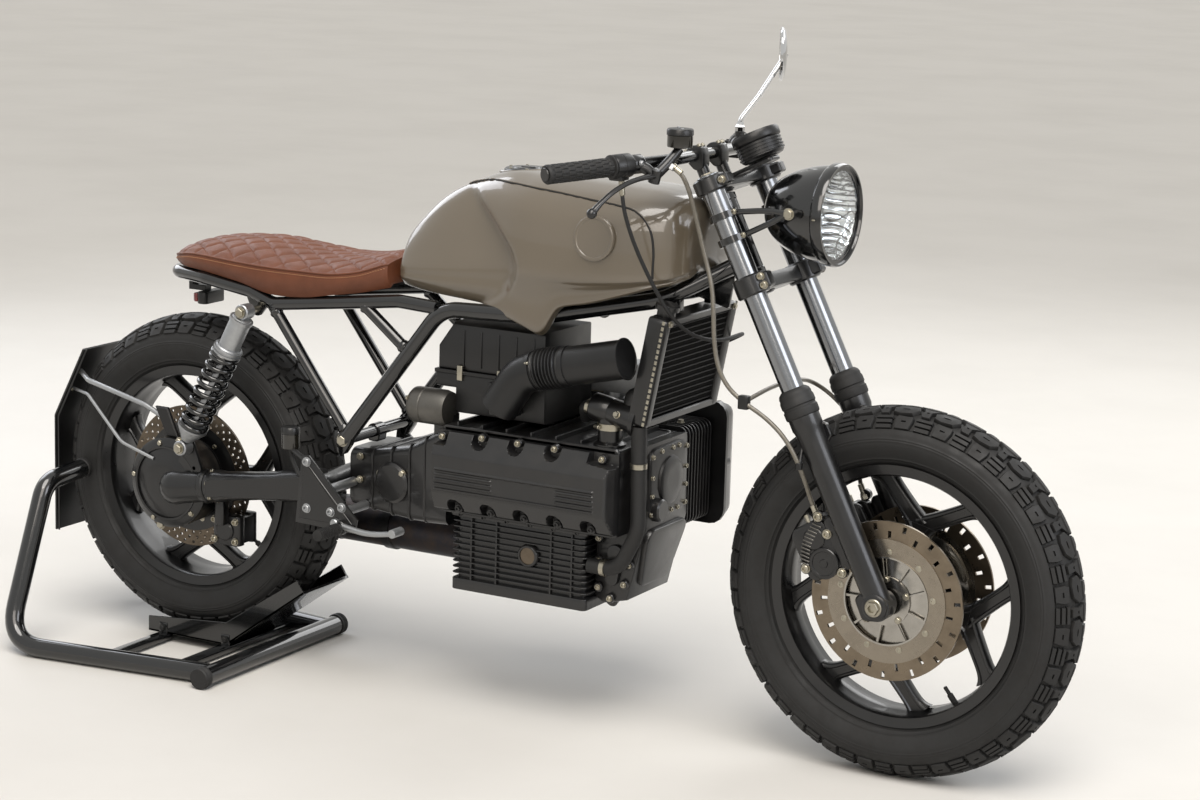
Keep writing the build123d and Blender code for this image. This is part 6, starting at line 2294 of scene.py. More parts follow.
@dataclass
class Seat:
    """Quilted leather saddle: a stuffed top with diamond stitching, plain sides and piping.

    Attributes:
        columns: X of each section.
        top: Z of the middle of the top at each column.
        edge: Z of the piping at each column.
        bottom: Z of the bottom edge at each column.
        width: Half width at the piping.
        diamond: Length and width of one quilted diamond.
        puff: Height of the quilting.
    """

    columns: tuple[float, ...] = (-800, -788, -755, -704, -601, -523, -445, -380, -320, -275, -262)
    top: tuple[float, ...] = (790, 800, 815, 828, 835, 827, 820, 823, 833, 842, 840)
    edge: tuple[float, ...] = (785, 792, 800, 806, 803, 801, 801, 802, 811, 826, 830)
    bottom: tuple[float, ...] = (776, 774, 772, 771, 760, 745, 747, 758, 768, 779, 782)
    width: tuple[float, ...] = (34, 58, 88, 108, 124, 130, 131, 130, 124, 115, 108)
    diamond: tuple[float, float] = (58.0, 46.0)
    puff: float = 5.0

    def curves(self, steps: int) -> Array:
        """X, top, edge, bottom and width along the seat, as cubic curves."""
        return spline(np.array([self.columns, self.top, self.edge, self.bottom, self.width]).T, steps)

    def cover(self) -> Shape:
        """Top and sides: an arc across, then down the sides; the quilting swells between stitch lines."""
        x, top, edge, bottom, width = (column[:, None] for column in self.curves(30).T)
        across = np.linspace(-1, 1, 121)[None]
        arc = np.sign(across) * np.abs(across) ** 0.92
        height = edge + (top - edge) * (1 - np.abs(across) ** 2.6)
        y = width * arc
        along_a = x / self.diamond[0] + y / self.diamond[1]
        along_b = x / self.diamond[0] - y / self.diamond[1]
        near = np.minimum(np.abs(along_a - np.round(along_a)), np.abs(along_b - np.round(along_b)))
        swell = self.puff * (1 - np.exp(-near * 11)) - 1.2 * np.exp(-((near * 30) ** 2))
        inside = np.clip(
            (1 - np.abs(across)) / 0.10, 0, 1
        ) * np.clip((x + 794) / 22, 0, 1) * np.clip((-266 - x) / 12, 0, 1)
        quilted = height - 3.5 + swell * inside
        rows = np.stack(np.broadcast_arrays(x, y, quilted), axis=-1)
        drop = np.linspace(0, 1, 12)[None, 1:]
        bulge = np.sin(drop * math.pi) * 4.0
        side_y = width + bulge - (0.08 * width + 2) * drop**2
        side_z = edge - 3.5 + (bottom - edge + 3.5) * drop
        left = np.stack(np.broadcast_arrays(x, side_y, side_z), axis=-1)
        under = np.stack(
            [
                x + 0 * across[:, ::20][:, ::-1],
                side_y[:, -1:] * across[:, ::20][:, ::-1] * 0.9,
                bottom + 6 + 0 * across[:, ::20],
            ],
            axis=-1,
        )
        ring = np.concatenate([rows, left, under, (left * (1, -1, 1))[:, ::-1]], axis=1)
        return lattice(ring)

    def piping(self) -> Shape:
        """Welt along both edges, round the tail."""
        x, _, edge, _, width = self.curves(10).T
        left = np.stack([x, width + 0.5, edge - 2.5], axis=-1)[::-1]
        return tube(np.concatenate([left, (left * (1, -1, 1))[::-1]]), 1.9, 10)

    def stitches(self) -> Shape:
        """Short thread stitches along the piping's seam."""
        x, _, edge, _, width = self.curves(36).T
        places = np.stack([x, width + 2.0, edge - 9.5], axis=-1)[6:-6]
        run = np.concatenate([[0], np.cumsum(np.linalg.norm(np.diff(places, axis=0), axis=1))])
        marks = np.arange(2, run[-1], 5.5)
        spots = np.stack([np.interp(marks, run, places[:, k]) for k in range(3)], axis=-1)
        thread = rod((-1.7, 0, 0), (1.7, 0, 0), 0.55, 6, 0.2)
        return both_sides(repeated(thread, spots))

    def base(self) -> Shape:
        """Black pan under the cover."""
        x, _, _, bottom, width = self.curves(6).T
        rows = [
            np.stack([x, share * width * 0.9, bottom + lift], axis=-1)
            for share, lift in ((-1, 8), (-1, 0.5), (0, 0.5), (1, 0.5), (1, 8), (0, 8))
        ]
        return lattice(np.stack(rows, axis=1)[1:-1])

    def build(self) -> None:
        """Makes the seat."""
        piece = put(
            "quilted seat",
            [
                (self.cover(), TAN_LEATHER),
                (self.piping(), TAN_LEATHER),
                (self.stitches(), SEAT_THREAD),
                (self.base(), BLACK_PLASTIC),
            ],
            "chassis",
            ["seat"],
            sharp_deg=60,
        )


# Chassis


@dataclass
class Frame:
    """Tubular frame: head tube, main tubes, seat loop, stays, gussets and lugs."""

    def build(self) -> None:
        """Makes the frame."""
        parts = [
            on_leg(
                [
                    (24, 613.5), (28, 615), (28, 625), (26.5, 627), (26.5, 756), (28, 758), (28, 768),
                    (24, 769.5),
                ],
                -STEER_BACK,
                0,
            )
        ]
        main = smooth_path(
            [(424, 18, 888), (300, 70, 815), (60, 108, 764), (-140, 110, 757), (-352, 110, 482)],
            [160, 300, 80],
            10,
        )
        parts.append(both_sides(tube(main, 15, 28)))
        half = [
            (-150, 110, 757), (-235, 110, 761), (-520, 110, 726), (-575, 106, 744), (-690, 96, 757),
            (-792, 62, 757),
        ]
        loop = [(x, -y, z) for x, y, z in half] + half[::-1]
        bends = (60, 40, 40, 60, 40, 40, 60, 40, 40, 60)
        parts.append(tube(smooth_path(loop, bends, 9), 13, 24))
        for rear, front in (((-521, 110, 722), (-345, 110, 492)), ((-319, 110, 751), (-212, 110, 668))):
            parts.append(both_sides(rod(rear, front, 11)))
            for end, other in ((rear, front), (front, rear)):
                way = unit(np.subtract(other, end))
                collar = revolved([(11, 10), (13.2, 13), (13.2, 16), (11, 21)], end, way, sides=24)
                parts.append(both_sides(collar))
        parts.append(rod((-352, -110, 482), (-352, 110, 482), 11))
        parts.append(
            slab(
                hull_outline([(-352, 482, 15), (-345, 468, 6), (-359, 468, 6)]), -14, 14, ACROSS_BIKE, edge=2
            )
        )
        plate = slab(
            hull_outline([(-352, 482, 17), (-336, 498, 8), (-356, 462, 9)]),
            101,
            119,
            ACROSS_BIKE,
            edge=2,
            round_edge=True,
        )
        parts.append(both_sides(plate))
        gusset = slab(hull_outline([(400, 858, 5), (330, 822, 5), (392, 806, 5)]), -3, 3, ACROSS_BIKE, edge=1)
        parts.append(gusset)
        for y in (-60.0, 60.0):
            parts.append(rounded_box((318, 332), (y - 8, y + 8), (795.8, 826), 2))
        lug = slab(
            hull_outline([(-556, 712, 13), (-540, 724, 8), (-572, 736, 8)]),
            -115,
            -105,
            ACROSS_BIKE,
            edge=2,
            round_edge=True,
        )
        pin = rod((-556, -110, 712), (-556, -168, 712), 7)
        hoop = rod((-560, -100, 742), (-560, 100, 742), 8)
        metal = bolts([(-556, -168, 712)], (0, -1, 0), 9, 6)
        through = joined(
            [bolts([(-352, -119, 482)], (0, -1, 0), 10, 7), bolts([(-352, 119, 482)], (0, 1, 0), 10, 7)]
        )
        put(
            "frame tubes",
            [(joined([*parts, lug, hoop]), GLOSS_BLACK_AND_FACET_SHADE), (joined([pin, metal, through]), ZINC)],
            "chassis",
            ["main_frame"],
            sharp_deg=36,
        )


@dataclass
class Shock:
    """Coil-over shock: damper, helical spring between its seats, adjuster rings and eyes."""

    foot: tuple[float, float, float] = (-702.0, -152.0, 428.0)
    top: tuple[float, float, float] = (-556.0, -152.0, 712.0)
    wire_r: float = 4.7
    coil_r: float = 26.0
    turns: float = 8.0

    def build(self) -> None:
        """Makes the shock."""
        foot, top = np.array(self.foot), np.array(self.top)
        run = top - foot
        length = float(np.linalg.norm(run))
        axes = axes_for(run)

        def along(profile: Sequence[tuple[float, float]], sides: int = 40) -> Shape:
            return revolved(profile, foot, run, sides=sides)

        angle = np.linspace(0, 2 * math.pi * (self.turns + 1.6), 420)
        pitch_share = np.clip((angle / (2 * math.pi) - 0.8) / self.turns, 0, 1)
        height = 52 + self.wire_r + (172 - 2 * self.wire_r) * pitch_share
        height += 2.6 * (np.clip(angle / (2 * math.pi), 0, 0.8) - 0.8) + 2.6 * np.clip(
            angle / (2 * math.pi) - self.turns - 0.8, 0, 0.8
        )
        ring = np.cos(angle)[:, None] * axes[:, 0] + np.sin(angle)[:, None] * axes[:, 1]
        spring = tube(foot + self.coil_r * ring + height[:, None] * axes[:, 2], self.wire_r, 14)
        body = along([(17, 226), (21, 228), (21, 300), (18.5, 306), (10, 310), (9, length - 12)])
        rings = along([(24, 222), *grooved(223, 238, 29, 2.4, 7.5), (24, 240)])
        piston_rod = along([(7, 26), (7, 226)], 28)
        seat = along([(12, 18), (15, 24), (30, 46), (30.5, 51), (25, 52), (19, 56), (12, 60)])
        reservoir_port = along([(20, 296), (23.5, 297), (23.5, 303), (20, 304)])
        eyes = []
        for eye in (foot, top):
            profile = [(9, -14), (13.5, -14), (15, -12), (15, 12), (13.5, 14), (9, 14)]
            eyes.append(revolved(profile, eye, (0, 1, 0)))
        bushes = [
            revolved([(4, -15.5), (9.2, -15.5), (9.2, 15.5), (4, 15.5)], eye, (0, 1, 0), sides=28)
            for eye in (foot, top)
        ]
        caps = bolts([foot - (0, 15.6, 0)], (0, -1, 0), 9, 6)
        put(
            "shock",
            [
                (spring, GLOSS_BLACK_AND_FACET_SHADE),
                (joined([body, rings, seat, reservoir_port, *eyes]), BARE_ALLOY),
                (piston_rod, FORK_CHROME),
                (joined([*bushes, caps]), ZINC),
            ],
            "chassis",
            ["rear_shock"],
            sharp_deg=36,
        )


@dataclass
class ShaftDrive:
    """Single-sided swingarm with the shaft's tube, the final drive and the rear caliper."""

    arm_y: float = -125.0

    def swingarm(self) -> None:
        """Yoke on the gearbox and the tube round the shaft, with its ribs and bellows."""
        yoke, end = np.array([-402.0, self.arm_y, 388.0]), np.array([-655.0, self.arm_y, 352.0])
        way = end - yoke
        length = float(np.linalg.norm(way))
        arm = revolved(
            [
                (24, 6), (31, 14), (32, 24), (32, 70), (29, 90), (27.5, 140), (29, length - 40),
                (32, length - 24), (32, length - 12), (31, length - 1),
            ],
            yoke,
            way,
        )
        pivot_tube = revolved(
            [
                (18, -147), (24, -146), (27, -142), (27, -104), (24, -98), (24, 38), (27, 44), (26, 49),
                (20, 50),
            ],
            (-402, 0, 388),
            (0, 1, 0),
        )
        rib = slab(
            hull_outline([(-425, 398, 10), (-640, 366, 7), (-425, 372, 10), (-640, 346, 7)]),
            -159,
            -155,
            ACROSS_BIKE,
            edge=1.6,
        )
        web = slab(
            hull_outline([(-424, 404, 6), (-560, 384, 3), (-424, 384, 6)]), -131, -119, ACROSS_BIKE, edge=1.6
        )
        lug = rounded_box((-402, -366.5), (-30, 30), (372, 402), 4)
        bellows = revolved(grooved(0, 34, 34, 4.5, 8.5) , yoke - unit(way) * 14, way)
        plug = revolved(
            [(16, 0), (16, 3), (14, 4.5), (8, 4.5), (7, 2)], (-402, -147, 388), (0, -1, 0), sides=6
        )
        flange = bolts(polar_places(end - unit(way) * 10, way, 30, 6, 20), -unit(way), 4.5, 5)
        put(
            "swingarm",
            [
                (joined([arm, pivot_tube, web, lug, rib]), CAST_BLACK),
                (bellows, BLACK_RUBBER_AND_SEAM_SHADE),
                (joined([plug, flange]), ZINC),
            ],
            "chassis",
            ["swingarm"],
            sharp_deg=36,
        )

    def final_drive(self) -> None:
        """Bevel gear housing: a smooth drum with a cover, plugs, axle and nut."""
        x, z = REAR_AXLE
        drum = [
            (30, -141), (52, -139), (60, -135), (84, -132), (90, -127), (90, -108), (86, -103), (86, -84),
            (88, -80), (88, -70), (80, -64), (20, -64),
        ]
        housing = [revolved(drum, (x, 0, z), (0, 1, 0), sides=88)]
        end, yoke = np.array([-655.0, self.arm_y, 352.0]), np.array([-402.0, self.arm_y, 388.0])
        way = unit(end - yoke)
        cone = [
            (31, 1), (34, 4), (34, 12), (31, 16), (34, 60), (37, 78), (35, 94), (28, 106), (16, 113), (1, 115)
        ]
        housing.append(revolved(cone, end, way))
        housing.append(
            revolved(
                [(70, -136), (74, -136.5), (74, -133), (70, -133)], (x, 0, z), (0, 1, 0), ring=True, sides=88
            )
        )
        lug = slab(
            hull_outline([(-702, 428, 12), (-722, 385, 8), (-680, 385, 8)]),
            -136,
            -126,
            ACROSS_BIKE,
            edge=2,
            round_edge=True,
        )
        pin = rod((-702, -130, 428), (-702, -168, 428), 7)
        metal = [pin, bolts(polar_places((x, -131, z), (0, -1, 0), 80, 5, 30), (0, -1, 0), 5, 5)]
        metal.append(bolts([(x - 20, -124, z - 88), (x + 24, -122, z + 84)], (0, -1, 0), 8, 6))
        metal.append(rod((x, -64, z), (x, 49, z), 14))
        nut = [(22, 40.3), (22, 44), (20, 49), (12, 49), (11, 46)]
        metal.append(revolved(nut, (x, 0, z), (0, 1, 0), sides=6))
        metal.append(bolts(polar_places((x, 40.3, z), (0, 1, 0), 30, 4, 10), (0, 1, 0), 7, 7, Head.SOCKET))
        put(
            "final drive",
            [(joined([*housing, lug]), CAST_BLACK), (joined(metal), ZINC)],
            "chassis",
            ["final_drive"],
            sharp_deg=36,
        )

    def caliper(self) -> None:
        """Two-piston rear caliper under the swingarm, on its bracket."""
        halves = [rounded_box((-682, -616), low, (226, 286), 12) for low in ((-88, -60), (-40, -22))]
        bridge = rounded_box((-640, -617), (-84, -26), (230, 282), 5)
        lug = rounded_box((-662, -640), (-108, -84), (270, 323), 5)
        pistons = revolved([(20, 86), (20, 91), (17, 94), (8, 94)], (-648, 0, 256), (0, -1, 0))
        screws = bolts(
            [(-674, -88, 276), (-674, -88, 236), (-624, -88, 276), (-624, -88, 236)],
            (0, -1, 0),
            6,
            6,
            Head.SOCKET,
        )
        put(
            "rear caliper",
            [(joined([*halves, bridge, lug, pistons]), CAST_BLACK), (screws, ZINC)],
            "chassis",
            ["rear_caliper"],
        )

    def build(self) -> None:
        """Makes the drive and the brake."""
        self.swingarm()
        self.final_drive()
        self.caliper()


# Engine


@dataclass
class Engine:
    """Flat-lying four-cylinder engine: block, covers, head on the left, pan, front cover and gearbox.

    Attributes:
        block: Low and high X, Y and Z of the crankcase.
        notches: Rows of bolt notches in the right cover: their X, the Z of their round end and the edge's Z.
    """

    block: tuple[tuple[float, float], ...] = ((-110.0, 262.0), (-150.0, 60.0), (388.0, 548.0))
    notches: tuple[tuple[tuple[float, ...], float, float], ...] = (
        ((-15.0, 61.0, 138.0), 534.0, 542.0),
        ((-62.0, 8.0, 78.0, 148.0, 218.0), 404.0, 396.0),
    )

    def crankcase(self) -> None:
        """Block between the covers, with its flanges and web ribs."""
        (x0, x1), (y0, y1), (z0, z1) = self.block
        core = rounded_box((x0, x1), (y0, y1), (z0, z1), 8)
        flanges = [
            slab(rounded_rectangle((x0 - 1, x1 + 1), (z0 - 2, z1 + 2), 12), y, y + 7, ACROSS_BIKE, edge=1.2)
            for y in (y0, y1 - 7)
        ]
        ribs = [
            rounded_box((x - 2, x + 2), (y0 + 6, y1 - 6), (z1 - 2, z1 + 9), 1.2)
            for x in np.linspace(x0 + 30, x1 - 30, 7)
        ]
        put("crankcase", [(joined([core, *flanges, *ribs]), ENGINE_GREY)], "chassis", ["engine_block"])

    def cover_height(self, x: Array, z: Array) -> Array:
        """How far the right cover stands out of its joint face at each place.

        A flat band carries five ribs, the middle three broken by a bare field. A bevel slopes away
        over and under it. Round notches for the bolts cut both long edges, and the two upper corners
        step down.

        Args:
            x: X of each place.
            z: Z of each place.

        Returns:
            Height in millimetres.
        """
        height = np.interp(z, [396, 398, 430, 434, 502, 505, 540, 542], [18, 22, 40, 41.5, 41.5, 40, 18, 16])
        height = np.minimum(height, np.interp(x, [-112, -109, -102, 244, 258, 266], [16, 30, 60, 60, 36, 16]))
        for row in range(5):
            ends = np.minimum(x + 100, 236 - x)
            if 1 <= row <= 3:
                ends = np.minimum(ends, np.abs(x - 90) - 66)
            line = np.clip(2.0 - np.abs(z - 439 - 9.2 * row) / 1.3, 0, 1)
            height = height + 3.0 * line * np.clip(ends / 3, 0, 1)
        away = np.minimum(*(self.notch(x, z, row) for row in self.notches))
        corner = np.minimum(np.maximum(x + 86, 521 - z), np.maximum(214 - x, 526 - z - 0.1 * (x - 214)))
        stays = np.clip(np.minimum(away, corner) / 2.4, 0, 1)
        return 5 + (height - 5) * stays**2 * (3 - 2 * stays)

    def notch(self, x: Array, z: Array, row: tuple[tuple[float, ...], float, float]) -> Array:
        """Distance outside a row of round-ended notches: their X, the Z of their end and the edge's Z."""
        middles, end, edge = row
        outside = np.clip((z - end) * np.sign(edge - end), None, 0)
        apart = [np.hypot(x - middle, outside) for middle in middles]
        return np.minimum.reduce(apart) - 14.0

    def right_cover(self) -> None:
        """Right cover with its bevels, ribs, notches and bolts."""
        x = np.linspace(-112, 266, 230)[None, :]
        z = np.linspace(396, 542, 110)[:, None]
        face = self.block[1][0] - 0.5
        front = np.stack(np.broadcast_arrays(x, face - self.cover_height(x, z), z), axis=-1)
        back = np.stack(np.broadcast_arrays(x[:, ::-1], face + 0.2, z), axis=-1)
        cover = lattice(np.concatenate([front, back], axis=1))
        upper, lower = (
            [(x_at, end + 4 * np.sign(edge - end)) for x_at in middles]
            for middles, end, edge in self.notches
        )
        upper += [(-100.0, 531.0), (236.0, 532.0)]
        spots = [*upper, *lower]
        boss = revolved([(8.5, 0), (8.5, 10), (7.5, 11.5)], (0, 0, 0), (0, -1, 0), sides=20)
        bosses = repeated(boss, [(x_at, face - 4, z_at) for x_at, z_at in spots])
        bright, dark = (
            bolts(
                [(x_at, face - 15, z_at) for x_at, z_at in row], (0, -1, 0), 4.8, 5, Head.SOCKET
            ) for row in (upper, lower)
        )
        put(
            "right engine cover",
            [(joined([cover, bosses, dark]), ENGINE_GREY), (bright, ZINC)],
            "chassis",
            ["crankcase_cover"],
            sharp_deg=30,
        )

    def head(self) -> None:
        """Cylinder head on the left with cooling ribs on every face, and the plugs' wells."""
        x0, x1, z0, z1 = -98.0, 268.0, 366.0, 556.0
        core = rounded_box((x0 + 6, x1 - 4), (60, 182), (z0 + 8, z1 - 8), 10)
        fins = []
        for y in np.linspace(72, 170, 9):
            outline = rounded_rectangle((x0, x1 + 16), (z0, z1), 16)
            fins.append(slab(outline, y - 1.7, y + 1.7, ACROSS_BIKE, edge=1))
        ports = [
            rod((x, y, z0 + 14), (x, y, z0 + 2), 25, 36, 1.5)
            for x, y in ((200, 105), (114, 148), (28, 105), (-58, 148))
        ]
        studs = bolts([(x, 110, z1 - 1) for x in (-80, 5, 90, 170, 250)], (0, 0, 1), 6, 6)
        put(
            "cylinder head",
            [(joined([core, *fins, *ports]), ENGINE_GREY), (studs, ZINC)],
            "chassis",
            ["cylinder_head"],
        )

    def head_cover(self) -> None:
        """Head cover on the left: a rounded dome with a joint flange, three long ribs and its screws."""
        outline = rounded_rectangle((-102, 310), (352, 588), 30)
        layers = []
        for inset, y in (
            (0, 182.2), (0, 190), (1.5, 191), (4, 191.5), (7, 216), (12, 232), (20, 239), (30, 242)
        ):
            layers.append(
                np.concatenate(
                    [inset_outline(outline, inset), np.full((len(outline), 1), y)], axis=1
                ) @ ACROSS_BIKE.T
            )
        cast = [lattice(np.stack(layers))]
        for z in (420.0, 470.0, 520.0):
            cast.append(
                slab(
                    rounded_rectangle((-50, 258), (z - 6, z + 6), 5),
                    236,
                    246,
                    ACROSS_BIKE,
                    edge=3,
                    round_edge=True,
                )
            )
        spots = [
            (x, z)
            for z in (366.0, 574.0) for x in (-60.0, 30.0, 120.0, 210.0, 280.0)
        ] + [(-88.0, 470.0), (296.0, 470.0)]
        boss = revolved([(12, 0), (11, 24), (9, 26)], (0, 0, 0), (0, 1, 0), sides=20)
        cast.append(repeated(boss, [(x, 186, z) for x, z in spots]))
        screws = bolts([(x, 212, z) for x, z in spots], (0, 1, 0), 6, 6, Head.SOCKET)
        put(
            "head cover",
            [(joined(cast), CAST_BLACK), (screws, ZINC)],
            "chassis",
            ["head_cover"],
            sharp_deg=38,
        )

    def pan(self) -> None:
        """Oil pan with upright and level ribs, a drain plug, a sight glass and the side stand's bracket."""
        x0, x1, y0, y1, z0, z1 = -92.0, 196.0, -140.0, 60.0, 238.0, 388.0
        cast = [rounded_box((x0 + 7, x1 - 7), (y0 + 7, y1), (z0 + 4, z1), 14)]
        cast.append(rounded_box((x0, x1), (y0, y1 - 2), (z0, z0 + 22), 10))
        cast.append(rounded_box((x0 - 2, x1 + 2), (y0 - 2, y1 - 1), (z1 - 9, z1), 8))
        for z in np.linspace(z0 + 32, z1 - 18, 10):
            cast.append(rounded_box((x0, x1), (y0, y1 - 2), (z - 1.6, z + 1.6), 10))
        for x in (-50.0, 4.0, 120.0, 164.0):
            cast.append(rounded_box((x - 2, x + 2), (y0 + 1.5, y0 + 12), (z0 + 4, z1 - 4), 1.5))
        cast.append(revolved([(22, 0), (21, 6), (19, 8), (16, 8), (15.5, 5)], (74, y0 + 4, 325), (0, -1, 0)))
        cast.append(revolved([(16, 0), (14, 8)], (152, 68 - 24, 222 - 1.7), (0, -0.9397, -0.342), sides=24))
        pivot, axis = np.array([152.0, 68.0, 222.0]), np.array([0, -0.9397, -0.3420])
        cast.append(rod(pivot + axis * 9.8, pivot + axis * 29.5, 13))
        cast.append(rounded_box((140, 164), (34, 48), (212, 252), 4))
        cast.append(
            bolts(
                [(x, y0 + 1, z1 - 5) for x in np.linspace(x0 + 20, x1 - 20, 6)],
                (0, -1, 0),
                4.5,
                5,
                Head.SOCKET,
            )
        )
        screws = []
        screws.append(bolts([(60, -40, z0 + 1)], (0, 0, -1), 11, 7))
        screws.append(rod(pivot - axis * 11, pivot + axis * 10, 5))
        screws.append(bolts([pivot - axis * 10], -axis, 7.5, 5))
        glass = revolved([(15.5, 3), (15.5, 6), (2, 6.6)], (74, y0 + 4, 325), (0, -1, 0), sides=32)
        put(
            "oil pan",
            [(joined(cast), ENGINE_GREY), (joined(screws), ZINC), (glass, DISC_BRONZE)],
            "chassis",
            ["oil_pan"],
            sharp_deg=36,
        )

    def front_cover(self) -> None:
        """Front cover over the drive, with a flange of many screws, an upper and a lower lobe."""
        profile = [
            (262, 548), (292, 552), (296, 400), (262, 262), (214, 250), (196, 262), (196, 388), (262, 388)
        ]
        cast = [slab(profile, -104, 58, ACROSS_BIKE, edge=3, round_edge=True)]
        upper = rounded_rectangle((-96, 50), (412, 544), 26)
        cast.append(slab(upper, 286, 299, ALONG_BIKE, edge=5, round_edge=True))
        cast.append(revolved([(46, 0), (44, 9), (38, 12), (20, 12)], (294, -20, 478), (1, 0, 0), sides=56))
        cast.append(revolved([(22, 0), (21, 16), (18, 19), (6, 19)], (294, -68, 430), (1, 0, 0), sides=40))
        down = unit((-34.0, 0.0, -138.0))
        face = np.stack([(0, 1.0, 0), -down, np.cross((0, 1.0, 0), -down)], axis=1)
        lobe = hull_outline([(-76, 40, 22), (30, 40, 22), (-60, -34, 20), (16, -34, 20)])
        cast.append(slab(lobe, -8, 8, face, (281, 0, 336), 4, True))
        spots = [
            (298, y, z)
            for y in (-88.0, 42.0) for z in (424.0, 458.0, 492.0, 530.0)
        ] + [(298, y, z) for y in (-55.0, -12.0, 12.0) for z in (420.0, 536.0)]
        screws = [bolts(spots, (1, 0, 0), 4.2, 4.5, Head.SOCKET)]
        edge = [
            (x, -104.5, z)
            for x, z in (
                (276, 540), (284, 500), (286, 460), (285, 420), (277, 370), (268, 330), (258, 292),
                (230, 262), (205, 280), (204, 330), (204, 372),
            )
        ]
        boss = revolved([(9, 0), (9, 5), (7.5, 6.5)], (0, 0, 0), (0, -1, 0), sides=18)
        cast.append(repeated(boss, edge))
        screws.append(bolts([(x, y - 6, z) for x, y, z in edge], (0, -1, 0), 4.6, 4.5, Head.SOCKET))
        oval = slab(
            hull_outline([(238, 348, 16), (232, 300, 14)]), -112, -104, ACROSS_BIKE, edge=3, round_edge=True
        )
        put(
            "front engine cover",
            [(joined([*cast, oval]), ENGINE_GREY), (joined(screws), ZINC)],
            "chassis",
            ["timing_cover"],
            sharp_deg=36,
        )

    def gearbox(self) -> None:
        """Gearbox that tapers back to the yoke, ribbed, with the starter and the alternator beside it."""
        rows = [
            (-110, -132, 92, 352, 540), (-150, -120, 90, 347, 520), (-215, -96, 84, 340, 486),
            (-318, -74, 70, 342, 460), (-362, -73, 69, 347, 459), (-366, -70, 66, 350, 456),
        ]
        layers = []
        for x, right, left, low, high in rows:
            outline = rounded_rectangle((right, left), (low, high), 16)
            layers.append(np.stack([np.full(len(outline), x), outline[:, 0], outline[:, 1]], axis=1))
        cast = [lattice(np.stack(layers).astype(float))]
        for x in (-170.0, -214.0, -262.0, -312.0):
            share = np.interp(x, [-366, -318, -215, -110], [0, 1, 2, 3])
            right, left, low, high = (
                np.interp(share, [0, 1, 2, 3], values)
                for values in (
                    (-74, -74, -96, -132), (70, 70, 84, 92), (346, 342, 340, 352), (460, 460, 486, 540)
                )
            )
            rim = rounded_rectangle((right - 3, left + 3), (low - 2, high + 3), 17)
            cast.append(slab(rim, x - 2.2, x + 2.2, ALONG_BIKE, edge=1))
        alternator = [
            (20, -198), (28, -197), (33, -192), (34, -186), (34, -170), (32.5, -168), (34, -166), (34, -128),
            (31, -116), (20, -114),
        ]
        bright = [revolved(alternator, (0, -112, 572), (1, 0, 0), sides=64)]
        vents = [
            rod(
                (-197.5, -112 + 20 * math.cos(t), 572 + 20 * math.sin(t)),
                (-199, -112 + 20 * math.cos(t), 572 + 20 * math.sin(t)),
                3.4,
                12,
            )
            for t in np.radians(np.arange(0, 360, 45))
        ]
        foot = rounded_box((-155, -114), (-110, -80), (506, 560), 5)
        screws = [
            bolts(
                [(-192, -112 + 31 * math.cos(t), 572 + 31 * math.sin(t)) for t in np.radians((30, 150, 270))],
                (-1, 0, 0),
                4.5,
                5,
            )
        ]
        screws.append(
            bolts(
                [(-230, -96.5, 430), (-290, -82, 420), (-340, -75, 400), (-340, -75, 445)], (0, -1, 0), 6, 6
            )
        )
        screws.append(
            bolts([(-230, 85, 430), (-290, 75, 420), (-340, 71, 400), (-340, 71, 445)], (0, 1, 0), 6, 6)
        )
        clutch = revolved([(40, 0), (39, 8), (34, 12), (12, 12)], (-255, -86, 408), (-0.12, -1, 0), sides=48)
        put(
            "gearbox",
            [
                (joined([*cast, foot, clutch]), ENGINE_GREY),
                (joined(bright), RAW_ALLOY_AND_RIB_HIGHLIGHT),
                (joined(vents), BLACK_PLASTIC),
                (joined(screws), ZINC),
            ],
            "chassis",
            ["gearbox"],
            sharp_deg=36,
        )

    def build(self) -> None:
        """Makes every casting of the engine."""
        self.crankcase()
        self.right_cover()
        self.head()
        self.head_cover()
        self.pan()
        self.front_cover()
        self.gearbox()


